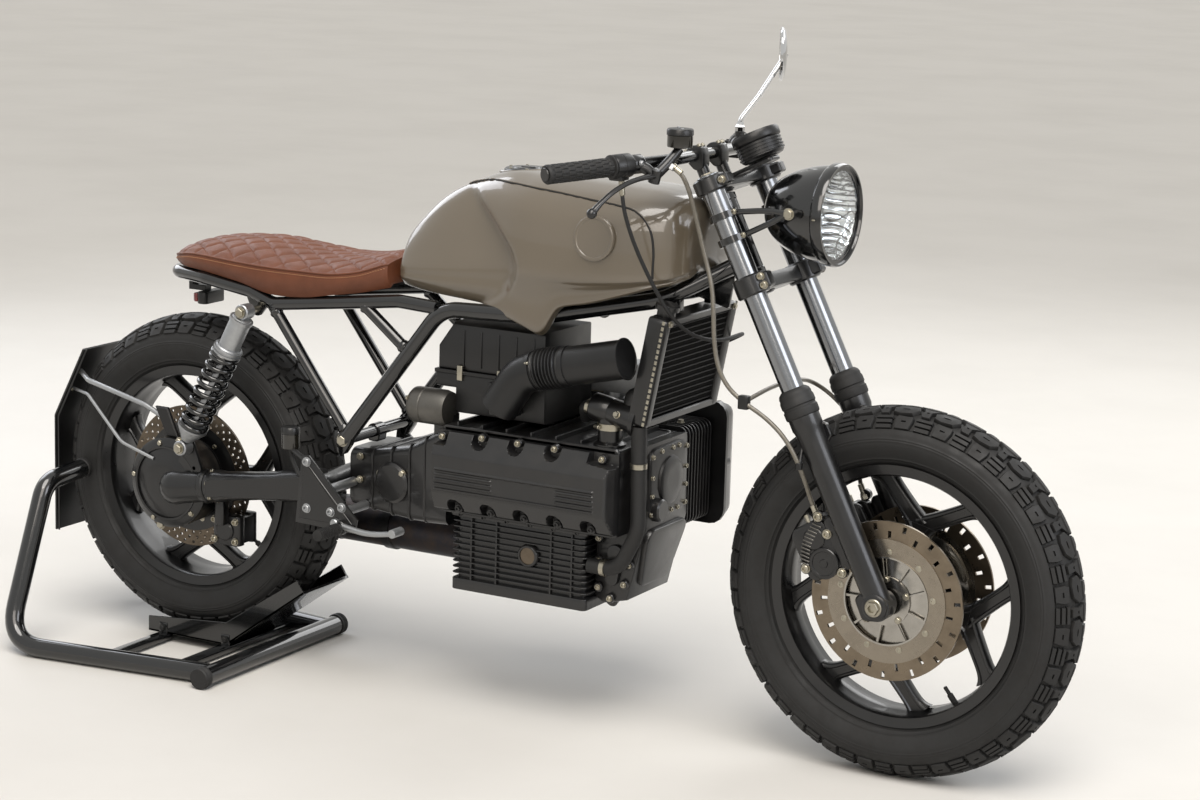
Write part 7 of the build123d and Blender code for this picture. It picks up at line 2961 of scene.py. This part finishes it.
@dataclass
class Intake:
    """Airbox, ribbed duct and throttle bodies."""

    duct_y: float = -152.0

    def airbox(self) -> None:
        """Two-piece plastic box with a flange, clips and moulded ribs."""
        low = [(-108, 566), (85, 566), (85, 640), (-150, 640), (-150, 612), (-108, 612)]
        high = [(-150, 643), (85, 643), (85, 735), (-118, 735), (-150, 690)]
        parts = [
            slab(outline, -112, 66, ACROSS_BIKE, edge=edge, round_edge=True)
            for outline, edge in ((low, 6), (high, 15))
        ]
        parts.append(slab([(-152, 638), (87, 638), (87, 645), (-152, 645)], -114, 68, ACROSS_BIKE, edge=1.2))
        for x in np.linspace(-90, 60, 5):
            parts.append(rounded_box((x - 2, x + 2), (-114, -108), (655, 722), 1.2))
        clips = [rounded_box((x - 6, x + 6), (-117, -111), (628, 656), 2) for x in (-96.0, -10.0, 64.0)]
        feet = [rounded_box((x - 12, x + 12), (-40, 40), (548.3, 572), 4) for x in (-80.0, 55.0)]
        put(
            "airbox", [(joined([*parts, *feet]), BLACK_PLASTIC), (joined(clips), ZINC)], "chassis", ["airbox"]
        )

    def duct(self) -> None:
        """Duct from the front to the box: an elbow, a bellows between two clamps, and a flat snorkel."""
        corners = [(x, self.duct_y, z) for x, z in ((12, 596), (58, 664), (110, 680), (272, 717))]
        path = smooth_path(corners, [70, 200], 16)
        run = np.concatenate([[0], np.cumsum(np.linalg.norm(np.diff(path, axis=0), axis=1))])
        marks = np.linspace(0, run[-1], 260)
        fine = np.stack([np.interp(marks, run, path[:, k]) for k in range(3)], axis=-1)
        start, stop = marks[-1] - 182, marks[-1] - 126
        ribbed = np.clip(np.minimum(marks - start, stop - marks) / 3, 0, 1)
        radius = 35.5 + ribbed * (1.2 + 2.4 * np.cos((marks - start) * 2 * math.pi / 7.0))
        radius[:2] = radius[-2:] = 34.0
        parts = [tube(fine, radius, 48), rounded_box((-14, 40), (-152, -112.3), (580, 640), 8)]
        slope = unit(fine[-1] - fine[-10])
        for mark in (start - 7, stop + 7):
            near = int(np.argmin(np.abs(marks - mark)))
            parts.append(
                revolved(
                    [(35, -5), (37.6, -4), (37.6, 4), (35, 5)],
                    fine[near],
                    fine[near + 3] - fine[near],
                    sides=48,
                )
            )
        near = int(np.argmin(np.abs(marks - start + 7)))
        clip = rod(fine[near] + (-6, -30, 18), fine[near] + (3, -34, 20), 2.6, 8)
        lip = revolved(
            [(33, -3), (38, -2.5), (38, 0), (35, 0.5), (30, -8), (28, -30)], fine[-1], slope, sides=48
        )
        put(
            "intake duct",
            [(joined([*parts, lip]), BLACK_PLASTIC), (clip, ZINC)],
            "chassis",
            ["intake_duct"],
            sharp_deg=40,
        )

    def throttles(self) -> None:
        """Four throttle bodies under a plenum, with stubs, clamps, linkage and injector rail."""
        alloy = [rounded_box((-82, 222), (66.3, 124), (604, 662), 8)]
        rubber, metal = [], []
        for x in (-60.0, 27.0, 114.0, 200.0):
            alloy.append(
                revolved([(20, 566), (24, 570), (24, 588), (21, 592), (21, 612)], (x, 100, 0), (0, 0, 1))
            )
            rubber.append(
                revolved([(24, 556.3), (24, 562), (22, 565), (24, 570), (20, 575)], (x, 100, 0), (0, 0, 1))
            )
            metal.append(
                revolved([(24.3, 558), (25.2, 558.5), (25.2, 563.5), (24.3, 564)], (x, 100, 0), (0, 0, 1))
            )
            metal.append(rod((x + 14, 122, 580), (x + 14, 130, 592), 5, 8))
            alloy.append(rounded_box((x - 22, x + 22), (118, 126), (610, 656), 4))
        metal.append(rod((-74, 130, 592), (216, 130, 592), 5))
        metal.append(rod((-70, 112, 576), (212, 112, 576), 3))
        put(
            "throttle bodies",
            [(joined(alloy), BARE_ALLOY), (joined(rubber), BLACK_RUBBER_AND_SEAM_SHADE), (joined(metal), ZINC)],
            "chassis",
            ["throttle_bodies"],
            sharp_deg=36,
        )

    def build(self) -> None:
        """Makes the intake."""
        self.airbox()
        self.duct()
        self.throttles()


@dataclass
class Cooling:
    """Radiator with its core, tanks and hoses."""

    half: float = 142.0
    foot: tuple[float, float] = (270.6, 599.0)
    rise: tuple[float, float] = (37.0, 198.0)
    depth: float = 38.0

    def radiator(self) -> None:
        """Finned core in a frame with side tanks, a filler neck and fixings."""
        up = unit((self.rise[0], 0.0, self.rise[1]))
        ahead = np.array([up[2], 0.0, -up[0]])
        height = math.hypot(*self.rise)
        axes = np.stack([(0, 1.0, 0), up, ahead], axis=1)
        origin = (self.foot[0], 0.0, self.foot[1])
        frame = []
        for side in (-1, 1):
            low, high = sorted((side * (self.half - 24), side * self.half))
            frame.append(
                slab(rounded_rectangle((low, high), (0, height), 8), 0, self.depth, axes, origin, 5, True)
            )
        for low, high in ((0, 14), (height - 14, height)):
            frame.append(
                slab(
                    rounded_rectangle((-self.half + 14, self.half - 14), (low, high), 4),
                    1,
                    self.depth - 1,
                    axes,
                    origin,
                    2,
                )
            )
        tubes = [
            slab(rounded_rectangle((-120, 120), (row, row + 2.4), 1), 3, self.depth - 6, axes, origin, 0.6)
            for row in np.arange(17, height - 16, 11)
        ]
        count = 84
        share = np.linspace(-119, 119, count * 2 + 1)
        zig = np.where(np.arange(len(share)) % 2 == 0, 0.0, 1.0)
        ribbon = np.stack([share, zig], axis=1)
        front = np.array(
            [
                [(y, 17 + 11 * row + 3 + 8 * z, self.depth - 6) for y, z in ribbon]
                for row in range(int((height - 34) // 11))
            ]
        )
        back = front - (0, 0, self.depth - 12)
        rows, columns = front.shape[:2]
        index = np.arange(rows * columns).reshape(rows, columns)
        quads = np.stack(
            [index[:, :-1], index[:, 1:], index[:, 1:] + rows * columns, index[:, :-1] + rows * columns],
            axis=-1,
        ).reshape(-1, 4)
        points = np.concatenate([front.reshape(-1, 3), back.reshape(-1, 3)]) @ axes.T + np.asarray(origin)
        fins = Shape(points, [quads])
        back_board = slab(rounded_rectangle((-119, 119), (14, height - 14), 2), 6, 9, axes, origin, 0.5)
        metal = [
            bolts([np.asarray(origin) + axes @ np.array([y, height - 7, self.depth])], ahead, 5, 5)
            for y in (-126.0, 126.0)
        ]
        tab = rounded_box((-1.2, 1.2), (-2.6, 2.6), (-3.4, 3.4), 1)
        tabs = [
            (y, row, self.depth - 5)
            for y in (-self.half - 0.8, self.half + 0.8) for row in np.arange(8, height - 4, 10.5)
        ]
        turned = axes[:, [0, 2, 1]]
        metal.append(repeated(tab, np.asarray(tabs) @ axes.T + np.asarray(origin), turned))
        neck = revolved(
            [(16, 0), (17, 3), (17, 14), (22, 15), (22, 24), (19, 26), (8, 26)],
            np.asarray(origin) + axes @ np.array([-108.0, height - 3, 18.0]),
            up,
            sides=32,
        )
        put(
            "radiator",
            [
                (joined([*frame, neck]), CAST_BLACK),
                (joined([*tubes, back_board, fins]), CORE_ALLOY),
                (joined(metal), ZINC),
            ],
            "chassis",
            ["radiator"],
        )

    def hoses(self) -> None:
        """Upper elbow with its housing and clamps, and the lower hose to the pan."""
        foot = (225, -116, 0)
        housing = [revolved([(30, 548.3), (30, 553), (25, 555), (22, 558), (22, 600)], foot, (0, 0, 1))]
        back, ahead = np.array([192.0, -116.0, 617.0]), np.array([284.0, -116.0, 600.0])
        reach = float(np.linalg.norm(ahead - back))
        body = [
            (13, -4), (23, -3), (25, 0), (25, 34), (24, 35.5), (25, 37), (25, reach - 9), (31, reach - 8),
            (31, reach),
        ]
        housing.append(
            revolved(
                [*body, (29, reach + 1), (24, reach + 0.5), (22, reach - 7), (4, reach - 7)],
                back,
                ahead - back,
            )
        )
        stub = smooth_path([back + (6, 0, 0), back - (22, -2, 4), back - (34, -30, 30)], 22, 8)
        rubber = [tube(stub, 11.5, 24)]
        rubber.append(
            tube(smooth_path([(262, -116, 612), (262, -100, 642), (276, -100, 642)], 16, 8), 15, 24)
        )
        band = [(22.2, 0), (24.2, 0.4), (24.2, 12), (22.2, 12.4)]
        metal = [revolved(band, (225, -116, 578), (0, 0, 1)), rod((204, -136, 584), (216, -142, 584), 4, 8)]
        metal.append(revolved([(11.8, 0), (13, 0.4), (13, 9), (11.8, 9.4)], back - (16, 0, 2), (1, 0, -0.18)))
        metal.append(bolts([back + (58, -24, -6), back + (70, 8, 12)], (0, -1, 0.4), 5.5, 7))
        places = [
            (290, -128, 592.6), (291, -128, 520), (294, -128, 400), (256, -128, 324), (196.3, -128, 324)
        ]
        lower = smooth_path(places, [200, 90, 50], 12)
        rubber.append(tube(lower, 14, 28))
        for at, way in ((lower[1], lower[1] - lower[0]), (lower[-2], lower[-1] - lower[-2])):
            metal.append(revolved([(14.2, -5), (15.8, -4.5), (15.8, 4.5), (14.2, 5)], at, way, sides=32))
        screws = bolts([(206, -116, 549), (244, -116, 549)], (0, 0, 1), 5, 6, Head.SOCKET)
        put(
            "coolant hoses",
            [(joined(rubber), BLACK_RUBBER_AND_SEAM_SHADE), (joined(housing), CAST_BLACK), (joined([*metal, screws]), ZINC)],
            "chassis",
            ["coolant_hoses"],
            sharp_deg=36,
        )

    def build(self) -> None:
        """Makes the cooling parts."""
        self.radiator()
        self.hoses()


@dataclass
class Exhaust:
    """Four headers into a collector and a muffler on the left."""

    muffler: tuple[float, float] = (150.0, 255.0)

    def build(self) -> None:
        """Makes the exhaust."""
        pipes, metal, can = [], [], []
        for x, y, z in ((200, 105, 262), (114, 148, 262), (28, 105, 300), (-58, 148, 300)):
            path = smooth_path([(x, y, 365.7), (x, y, z), (-140, y, z)], 40, 12)
            pipes.append(tube(path, 18, 28))
            pipes.append(
                revolved(
                    [(22, 0), (29, -1), (30, -4), (30, -8), (26, -10), (19, -11)],
                    (x, y, 365.7),
                    (0, 0, 1),
                    sides=36,
                )
            )
            metal.append(bolts([(x - 23, y, 357), (x + 23, y, 357)], (0, 0, -1), 5.5, 8))
            pipes.append(tube(path[-3:-1], 19.6, 28))
        y, z = self.muffler
        box = [
            rounded_rectangle((86 + inset, 168 - inset), (242 + inset, 320 - inset), 14)
            for inset in (0, 0, 6)
        ]
        rows = [
            np.stack([np.full(20, float(x)), o[:, 0], o[:, 1]], axis=1)
            for x, o in zip((-108, -150, -172), box)
        ]
        pipes.append(lattice(np.stack(rows)))
        profile = [
            (18, 160), (36, 168), (44, 178), (46, 186), (46, 200), (44.5, 202), (44.5, 524), (46, 526),
            (46, 542), (42, 552), (34, 556), (30, 556), (26, 552), (22, 552), (22, 520),
        ]
        can.append(revolved(profile, (0, y, z), (-1, 0, 0), sides=64))
        strap = revolved([(45, 392), (48, 393), (48, 411), (45, 412)], (0, y, z), (-1, 0, 0), sides=56)
        lug = slab(hull_outline([(-402, 300, 9), (-402, 322, 8)]), y - 4, y + 4, ACROSS_BIKE, edge=1.5)
        metal.append(bolts([(-402, y + 4, 322), (-230, y, z - 46)], (0, 1, 0), 6, 5))
        put(
            "exhaust",
            [
                (joined(pipes), HOT_STEEL),
                (joined(can), HOT_STEEL),
                (joined([strap, lug]), CAST_BLACK),
                (joined(metal), ZINC),
            ],
            "chassis",
            ["exhaust"],
            sharp_deg=36,
        )


@dataclass
class FootControls:
    """Plates, folding pegs, pedals and the rear brake reservoir."""

    plate_y: tuple[float, float] = (162.0, 168.0)

    def build(self) -> None:
        """Makes both sides."""
        black, metal, rubber = [], [], []
        outline = [(-412, 455), (-396, 455), (-284, 345), (-290, 318), (-425, 322)]
        for side, face in ((-1, -74.3), (1, 70.3)):
            low, high = sorted((side * self.plate_y[0], side * self.plate_y[1]))
            black.append(slab(outline, low, high, ACROSS_BIKE, edge=1.6, round_edge=True))
            frame = hull_outline([(-404, 446, 6), (-298, 334, 10), (-414, 334, 8)])
            black.append(slab(inset_outline(frame, 6), low - 1.2, high + 1.2, ACROSS_BIKE, edge=1))
            spots = [(-399, 443), (-398, 353), (-343, 353), (-318, 365)]
            metal.append(bolts([(x, side * 168.5, z) for x, z in spots], (0, side, 0), 7.5, 6, Head.SOCKET))
            for x, z in ((-354, 394), (-326, 352)):
                metal.append(rod((x, side * 162, z), (x, face, z), 9, 28))
            hanger = revolved([(14, 168), (14, 176), (12, 178)], (-318, 0, 327), (0, side, 0), sides=32)
            black.append(hanger)
            black.append(revolved([(11, 176), (11, 184), (8, 186)], (-318, 0, 327), (0, side, 0), sides=32))
            rubber.append(
                revolved(
                    grooved(184, 247, 11.4, 1.6, 5.5) + [(10.5, 249), (8, 250)],
                    (-318, 0, 327),
                    (0, side, 0),
                    sides=36,
                )
            )
            path = spline(
                [
                    (-330, side * 173, 334), (-290, side * 177, 329), (-250, side * 180, 327),
                    (-205, side * 182, 333), (-182, side * 182, 340),
                ],
                8,
            )
            metal.append(tube(path, np.linspace(6.4, 4.6, len(path)), 16))
            teeth = revolved(grooved(172, 206, 8.2, 1.8, 4.2), (-182, 0, 341), (0, side, 0), sides=24)
            (metal if side < 0 else rubber).append(teeth)
            metal.append(revolved([(9, 168), (9, 177), (7, 179)], (-330, 0, 334), (0, side, 0), sides=28))
        tank = revolved([(13, 456), (16.5, 458), (17, 461), (17, 486), (16, 487)], (-455, -142, 0), (0, 0, 1))
        cap = revolved(
            [(16, 486), (18, 487), (18, 496), (16, 499.5), (6, 500)], (-455, -142, 0), (0, 0, 1), sides=32
        )
        arm = tube(spline([(-406, -165, 446), (-428, -156, 452), (-450, -146, 458)], 6), 5, 14)
        hose = tube(
            spline([(-455, -142, 457), (-452, -140, 436), (-430, -150, 412), (-404, -158, 396)], 9), 4, 12
        )
        put(
            "foot controls",
            [
                (joined([*black, arm, cap]), CAST_BLACK),
                (joined(metal), BARE_ALLOY),
                (joined([*rubber, hose]), BLACK_RUBBER_AND_SEAM_SHADE),
                (tank, SMOKED),
            ],
            "chassis",
            ["foot_controls"],
            sharp_deg=36,
        )


@dataclass
class Tail:
    """Number plate carrier behind the wheel with its lamp, and the tail lamp under the seat."""

    def carrier(self) -> None:
        """Bent panel with a blank plate, stays and a lamp."""
        outline = np.array(
            [(-1092, 190), (-1092, 430), (-1018, 575), (-1014, 573), (-1088, 428), (-1088, 190)]
        )
        panel = slab(outline, -70, 70, ACROSS_BIKE, edge=0.8)
        lip = [slab(outline + (8, 0), y, y + 2, ACROSS_BIKE, edge=0.6) for y in (-70.0, 68.0)]
        upper = smooth_path(
            [(-1040, -48, 524), (-985, -92, 518), (-830, -108, 490), (-780, -110, 470)], [30, 60], 10
        )
        lower = smooth_path(
            [(-1060, -48, 486), (-985, -94, 490), (-865, -138.4, 415), (-785, -138.4, 392)], [30, 60], 10
        )
        lug = slab([(-800, 492), (-770, 492), (-744, 435.4), (-772, 435.4)], -116, -106, ACROSS_BIKE, edge=2)
        lamp = rounded_box((-1108, -1091), (-16, 16), (404, 428), 4)
        screws = bolts(
            [(-1092.3, y, 412) for y in (-50.0, 50.0)] + [(-1092.3, y, 214) for y in (-50.0, 50.0)],
            (-1, 0, 0),
            4.5,
            3.5,
        )
        fixings = bolts([(-1040, -50, 524), (-1062, -50, 486)], (0, -1, 0), 5, 5)
        put(
            "plate carrier",
            [
                (joined([panel, *lip, lug, lamp]), BLACK_PLASTIC),
                (joined([tube(upper, 5.2, 16), tube(lower, 3.4, 16)]), BARE_ALLOY),
                (joined([screws, fixings]), ZINC),
            ],
            "chassis",
            ["plate_carrier"],
        )

    def lamp(self) -> None:
        """Small tail lamp: ribbed red lens in a black rim, on its bracket."""
        body = rounded_box((-762, -738), (-34, 34), (690, 714), 10)
        lens = rounded_box((-770, -760), (-31, 31), (693, 711), 4)
        flutes = [
            rounded_box((-771.2, -768), (y - 1.4, y + 1.4), (694.5, 709.5), 0.8)
            for y in np.linspace(-27, 27, 12)
        ]
        bracket = slab(
            [(-797, 743.6), (-787, 743.6), (-787, 724), (-756, 724), (-756, 713), (-797, 713)],
            -10,
            10,
            ACROSS_BIKE,
            edge=1,
        )
        put(
            "tail lamp",
            [(joined([lens, *flutes]), RED_LENS), (joined([body, bracket]), BLACK_PLASTIC)],
            "chassis",
            ["tail_lamp"],
        )

    def build(self) -> None:
        """Makes the tail."""
        self.carrier()
        self.lamp()


# Stands


@dataclass
class WheelStand:
    """Tubular stand under the rear wheel with its cradle, cross bars and rubber caps."""

    tube_r: float = 19.0
    cap_r: float = 21.5

    def build(self) -> None:
        """Makes the stand and its caps."""
        parts, metal = [], []
        for side, front_y, rear_y, upper_y in ((-1, -258, -314, -200), (1, 134, 190, 150)):
            corners = [
                (-553, front_y, 21.5), (-1012, rear_y, 19), (-1008, upper_y, 325), (-1008, side * 82, 333)
            ]
            parts.append(tube(smooth_path(corners, [75, 50], 12), self.tube_r, 32))
            cap = revolved(
                [(19, 0), (20.5, 2), (20.5, 9), (18, 12), (8, 12)],
                (-1008, side * 88, 332.5),
                (0, -side, 0.1),
                sides=32,
            )
            metal.append(cap)
        parts.append(rod((-553, -282, 21.5), (-553, 158, 21.5), self.tube_r, 32))
        for x in (-654.0, -808.0):
            parts.append(rounded_box((x - 14, x + 14), (-262, 138), (6, 18), 3))
        seat_r = 321.7 + 0.6
        floor_z = REAR_AXLE[1] - seat_r
        angle = math.radians(36)
        vee = REAR_AXLE[0] + seat_r * math.tan(angle / 2)
        tip = (vee + 228 * math.cos(angle), floor_z + 228 * math.sin(angle))
        under = (tip[0] + 5 * math.sin(angle), tip[1] - 5 * math.cos(angle))
        floor = [(-846, floor_z), (vee, floor_z), tip, under, (vee + 1.6, floor_z - 5), (-846, floor_z - 5)]
        parts.append(slab(floor, -78, 78, ACROSS_BIKE, edge=0.8))
        wall = [
            (-846, floor_z - 5), (-846, floor_z + 25), (vee, floor_z + 42),
            (tip[0] - 25 * math.sin(angle), tip[1] + 25 * math.cos(angle)), under, (vee + 1.6, floor_z - 5),
        ]
        for low, high in ((-78, -73), (73, 78)):
            parts.append(slab(wall, low, high, ACROSS_BIKE, edge=0.8))
        for x, y in ((-654, -78), (-654, 78), (-808, -78), (-808, 78)):
            parts.append(rounded_box((x - 10, x + 10), (y - 2, y + 2), (12, 40), 1.5))
        bolts_at = [(x, y * 1.02, 30) for x in (-654, -808) for y in (-79,)]
        metal.append(bolts(bolts_at, (0, -1, 0), 6, 5))
        put(
            "wheel stand",
            [(joined(parts), GLOSS_BLACK_AND_FACET_SHADE), (joined(metal), BLACK_RUBBER_AND_SEAM_SHADE)],
            "chassis",
            ["stand_frame"],
            sharp_deg=36,
        )
        caps = []
        for side, end in ((-1, -282), (1, 158)):
            profile = [
                (19, 0.3),
                (21, 1),
                (21.5, 3),
                *[(21.5 - 1.2 * (k % 2), 4 + 2 * k) for k in range(6)],
                (21.3, 17),
                (19, 20),
                (6, 20),
            ]
            caps.append(revolved(profile, (-553, end, 21.5), (0, side, 0), sides=48))
        put("stand caps", [(joined(caps), BLACK_RUBBER_AND_SEAM_SHADE)], "chassis", ["stand_caps"], sharp_deg=36)


@dataclass
class SideStand:
    """Side stand leg with its eye and foot."""

    pivot: tuple[float, float, float] = (152.0, 68.0, 222.0)
    axis: tuple[float, float, float] = (0.0, -0.9397, -0.3420)
    leg: float = 195.0

    def build(self) -> None:
        """Makes the folded side stand."""
        pivot, axis = np.array(self.pivot), np.array(self.axis)
        end = pivot - (self.leg, 0, 0)
        eye = revolved(
            [(5.2, -9.5), (11.5, -9.5), (13, -8), (13, 8), (11.5, 9.5), (5.2, 9.5)], pivot, axis, ring=True
        )
        leg = tube(np.stack([pivot - (11, 0, 0), pivot - (60, 0, 0), end]), np.array([9.0, 9.0, 8.0]), 24)
        foot_axes = np.stack([(1.0, 0, 0), np.cross(axis, (1.0, 0, 0)), axis], axis=1)
        foot = slab(rounded_rectangle((-7, 7), (-11, 11), 4), -9, 9, foot_axes, end, 2, True)
        put(
            "side stand",
            [(joined([eye, leg, foot]), GLOSS_BLACK_AND_FACET_SHADE)],
            "kick_stand",
            ["side_stand"],
            sharp_deg=36,
        )


# Scene


@dataclass
class Studio:
    """Pale floor, soft light and the camera at the photo's angle.

    Attributes:
        camera: Place of the camera in metres.
        yaw: Turn of the view from +Y towards -X, in degrees.
        pitch: Tilt down.
        roll: Turn about the view.
        lens: Focal length in millimetres on a sensor 36 mm wide.
    """

    camera: tuple[float, float, float] = (2.64457, -4.54305, 1.64882)
    yaw: float = 28.89
    pitch: float = 11.41
    roll: float = 1.70
    lens: float = 86.14
    sun_place: tuple[float, float, float] = (1.3, -2.0, 4.8)
    sun_strength: float = 2.35
    floor_reach: float = 60_000.0
    softboxes: tuple[tuple, ...] = (
        ("key softbox", (1.2, -3.6, 3.2), (0, 0, 0.6), 2.6, 80, "#fff6ec"),
        ("front softbox", (4.2, -0.6, 2.4), (0.2, 0, 0.6), 2.2, 60, "#f4f7ff"),
        ("rear softbox", (-3.6, 1.2, 2.8), (-0.2, 0, 0.7), 2.4, 60, "#f4f7ff"),
        ("far softbox", (0.5, 3.8, 3.2), (0, 0, 0.6), 2.8, 70, "#ffffff"),
    )

    def floor(self) -> None:
        """Wide matt floor under the tyres."""
        reach = self.floor_reach
        corners = np.array([(-reach, -reach, 0), (reach, -reach, 0), (reach, reach, 0), (-reach, reach, 0)])
        mesh = bpy.data.meshes.new("floor")
        mesh.from_pydata([tuple(corner * MM) for corner in corners], [], [(0, 1, 2, 3)])
        mesh.materials.append(STUDIO_FLOOR.build())
        plate = bpy.data.objects.new("floor", mesh)
        bpy.context.scene.collection.objects.link(plate)

    def lamp(
        self, name: str, place: Sequence[float], target: Sequence[float], size: float, power: float, tint: str
    ) -> None:
        """Square area light aimed at a place.

        Args:
            name: Light's name.
            place: Where it hangs, in metres.
            target: What it points at.
            size: Side length in metres.
            power: Watts.
            tint: sRGB colour.
        """
        light = bpy.data.lights.new(name, "AREA")
        light.shape, light.size, light.energy = "SQUARE", size, power
        light.color = linear(tint)[:3]
        lamp = bpy.data.objects.new(name, light)
        away = axes_for(np.subtract(place, target))
        lamp.matrix_world = Matrix([[*away[row], place[row]] for row in range(3)] + [[0, 0, 0, 1]])
        bpy.context.scene.collection.objects.link(lamp)

    def sun(self, place: Sequence[float], strength: float) -> None:
        """Broad even light, so that the floor keeps one brightness to its far edge.

        Args:
            place: Where it shines from, in metres, aimed at the origin.
            strength: Watts on each square metre.
        """
        light = bpy.data.lights.new("broad light", "SUN")
        light.energy, light.angle = strength, math.radians(38)
        light.color = linear("#fffaf4")[:3]
        broad = bpy.data.objects.new("broad light", light)
        turn = axes_for(place)
        broad.matrix_world = Matrix([[*turn[row], place[row]] for row in range(3)] + [[0, 0, 0, 1]])
        bpy.context.scene.collection.objects.link(broad)

    def world(self) -> None:
        """Soft grey surroundings for light and reflections, pale where the camera sees them."""
        world = bpy.data.worlds.new("studio")
        world.use_nodes = True
        tree = world.node_tree
        tree.nodes.clear()
        rays = add_node(tree, "ShaderNodeLightPath")
        around = add_node(tree, "ShaderNodeBackground", None, Color=linear("#c9ccd0"), Strength=0.22)
        seen = add_node(tree, "ShaderNodeBackground", None, Color=linear("#e6e5e2"), Strength=1.0)
        mixed = add_node(tree, "ShaderNodeMixShader")
        seen_by = rays.outputs["Is Camera Ray"]
        for kind in ("Is Glossy Ray", "Is Transmission Ray"):
            either = add_node(tree, "ShaderNodeMath", {"operation": "MAXIMUM"})
            tree.links.new(seen_by, either.inputs[0])
            tree.links.new(rays.outputs[kind], either.inputs[1])
            seen_by = either.outputs[0]
        tree.links.new(seen_by, mixed.inputs[0])
        tree.links.new(around.outputs[0], mixed.inputs[1])
        tree.links.new(seen.outputs[0], mixed.inputs[2])
        out = add_node(tree, "ShaderNodeOutputWorld")
        tree.links.new(mixed.outputs[0], out.inputs["Surface"])
        bpy.context.scene.world = world

    def view(self) -> None:
        """Camera from its yaw, pitch and roll."""
        yaw, pitch, roll = (math.radians(angle) for angle in (self.yaw, self.pitch, self.roll))
        ahead = np.array(
            [-math.sin(yaw) * math.cos(pitch), math.cos(yaw) * math.cos(pitch), -math.sin(pitch)]
        )
        level = unit(np.cross(ahead, (0, 0, 1)))
        above = np.cross(level, ahead)
        right = level * math.cos(roll) + above * math.sin(roll)
        over = above * math.cos(roll) - level * math.sin(roll)
        camera = bpy.data.objects.new("photo camera", bpy.data.cameras.new("photo camera"))
        camera.data.lens, camera.data.sensor_width = self.lens, 36.0
        camera.data.clip_end = 200.0
        rows = [[right[k], over[k], -ahead[k], self.camera[k]] for k in range(3)]
        camera.matrix_world = Matrix([*rows, [0, 0, 0, 1]])
        bpy.context.scene.collection.objects.link(camera)
        bpy.context.scene.camera = camera

    def build(self) -> None:
        """Makes the studio."""
        self.floor()
        self.sun(self.sun_place, self.sun_strength)
        for softbox in self.softboxes:
            self.lamp(*softbox)
        self.world()
        self.view()
        bpy.context.scene.view_settings.view_transform = "Standard"


def main() -> None:
    """Builds every assembly in order, then the studio."""
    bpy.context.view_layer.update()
    Tyre(
        "front_tyre", "front_wheel", FRONT_AXLE,
        radius=333.8, half_width=59.0, rim_r=FRONT_RIM_R, bead=38.0, pitches=27,
    ).build()
    Tyre(
        "rear_tyre", "rear_wheel", REAR_AXLE,
        radius=321.7, half_width=68.0, rim_r=REAR_RIM_R, bead=48.0, pitches=26,
    ).build()
    CastWheel(
        "front_wheel", "front_rim", FRONT_AXLE,
        rim_r=FRONT_RIM_R, rim_half=44.0, hub=(-68.5, 68.5), phase=103.0, bore=10.1,
    ).build()
    CastWheel(
        "rear_wheel", "rear_rim", REAR_AXLE,
        rim_r=REAR_RIM_R, rim_half=54.0, hub=(-47.5, 40.0), phase=88.0, bore=14.1,
    ).build()
    finishes = (DISC_STEEL, DISC_RING, POLISHED_ALLOY)
    right = BrakeDisc(FRONT_AXLE, (-73.5, -68.5), FRONT_DISC_R, *finishes, outside=-1, bore=18.0)
    left = BrakeDisc(FRONT_AXLE, (68.5, 73.5), FRONT_DISC_R, *finishes, outside=1, bore=18.0)
    put("front discs", [*right.parts(), *left.parts()], "front_wheel", ["front_discs"])
    finishes = (DISC_BRONZE, CAST_BLACK, CAST_BLACK)
    rear = BrakeDisc(
        REAR_AXLE, (-52.5, -47.5), REAR_DISC_R, *finishes, outside=-1, bore=15.0, slots=40, drilled=True
    )
    put("rear disc", rear.parts(), "rear_wheel", ["rear_disc"])
    for assembly in (
        Fork(), Headlight(), Cockpit(), Hoses(), Tank(), FuelCap(), Seat(), Frame(), Shock(), ShaftDrive(),
        Engine(),
        Intake(), Cooling(), Exhaust(), FootControls(), Tail(), WheelStand(), SideStand(), Studio(),
    ):
        assembly.build()
        log.info("built %s", type(assembly).__name__)
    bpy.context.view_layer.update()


if __name__ == "__main__":
    logging.basicConfig(level=logging.INFO, format="%(message)s")
    main()
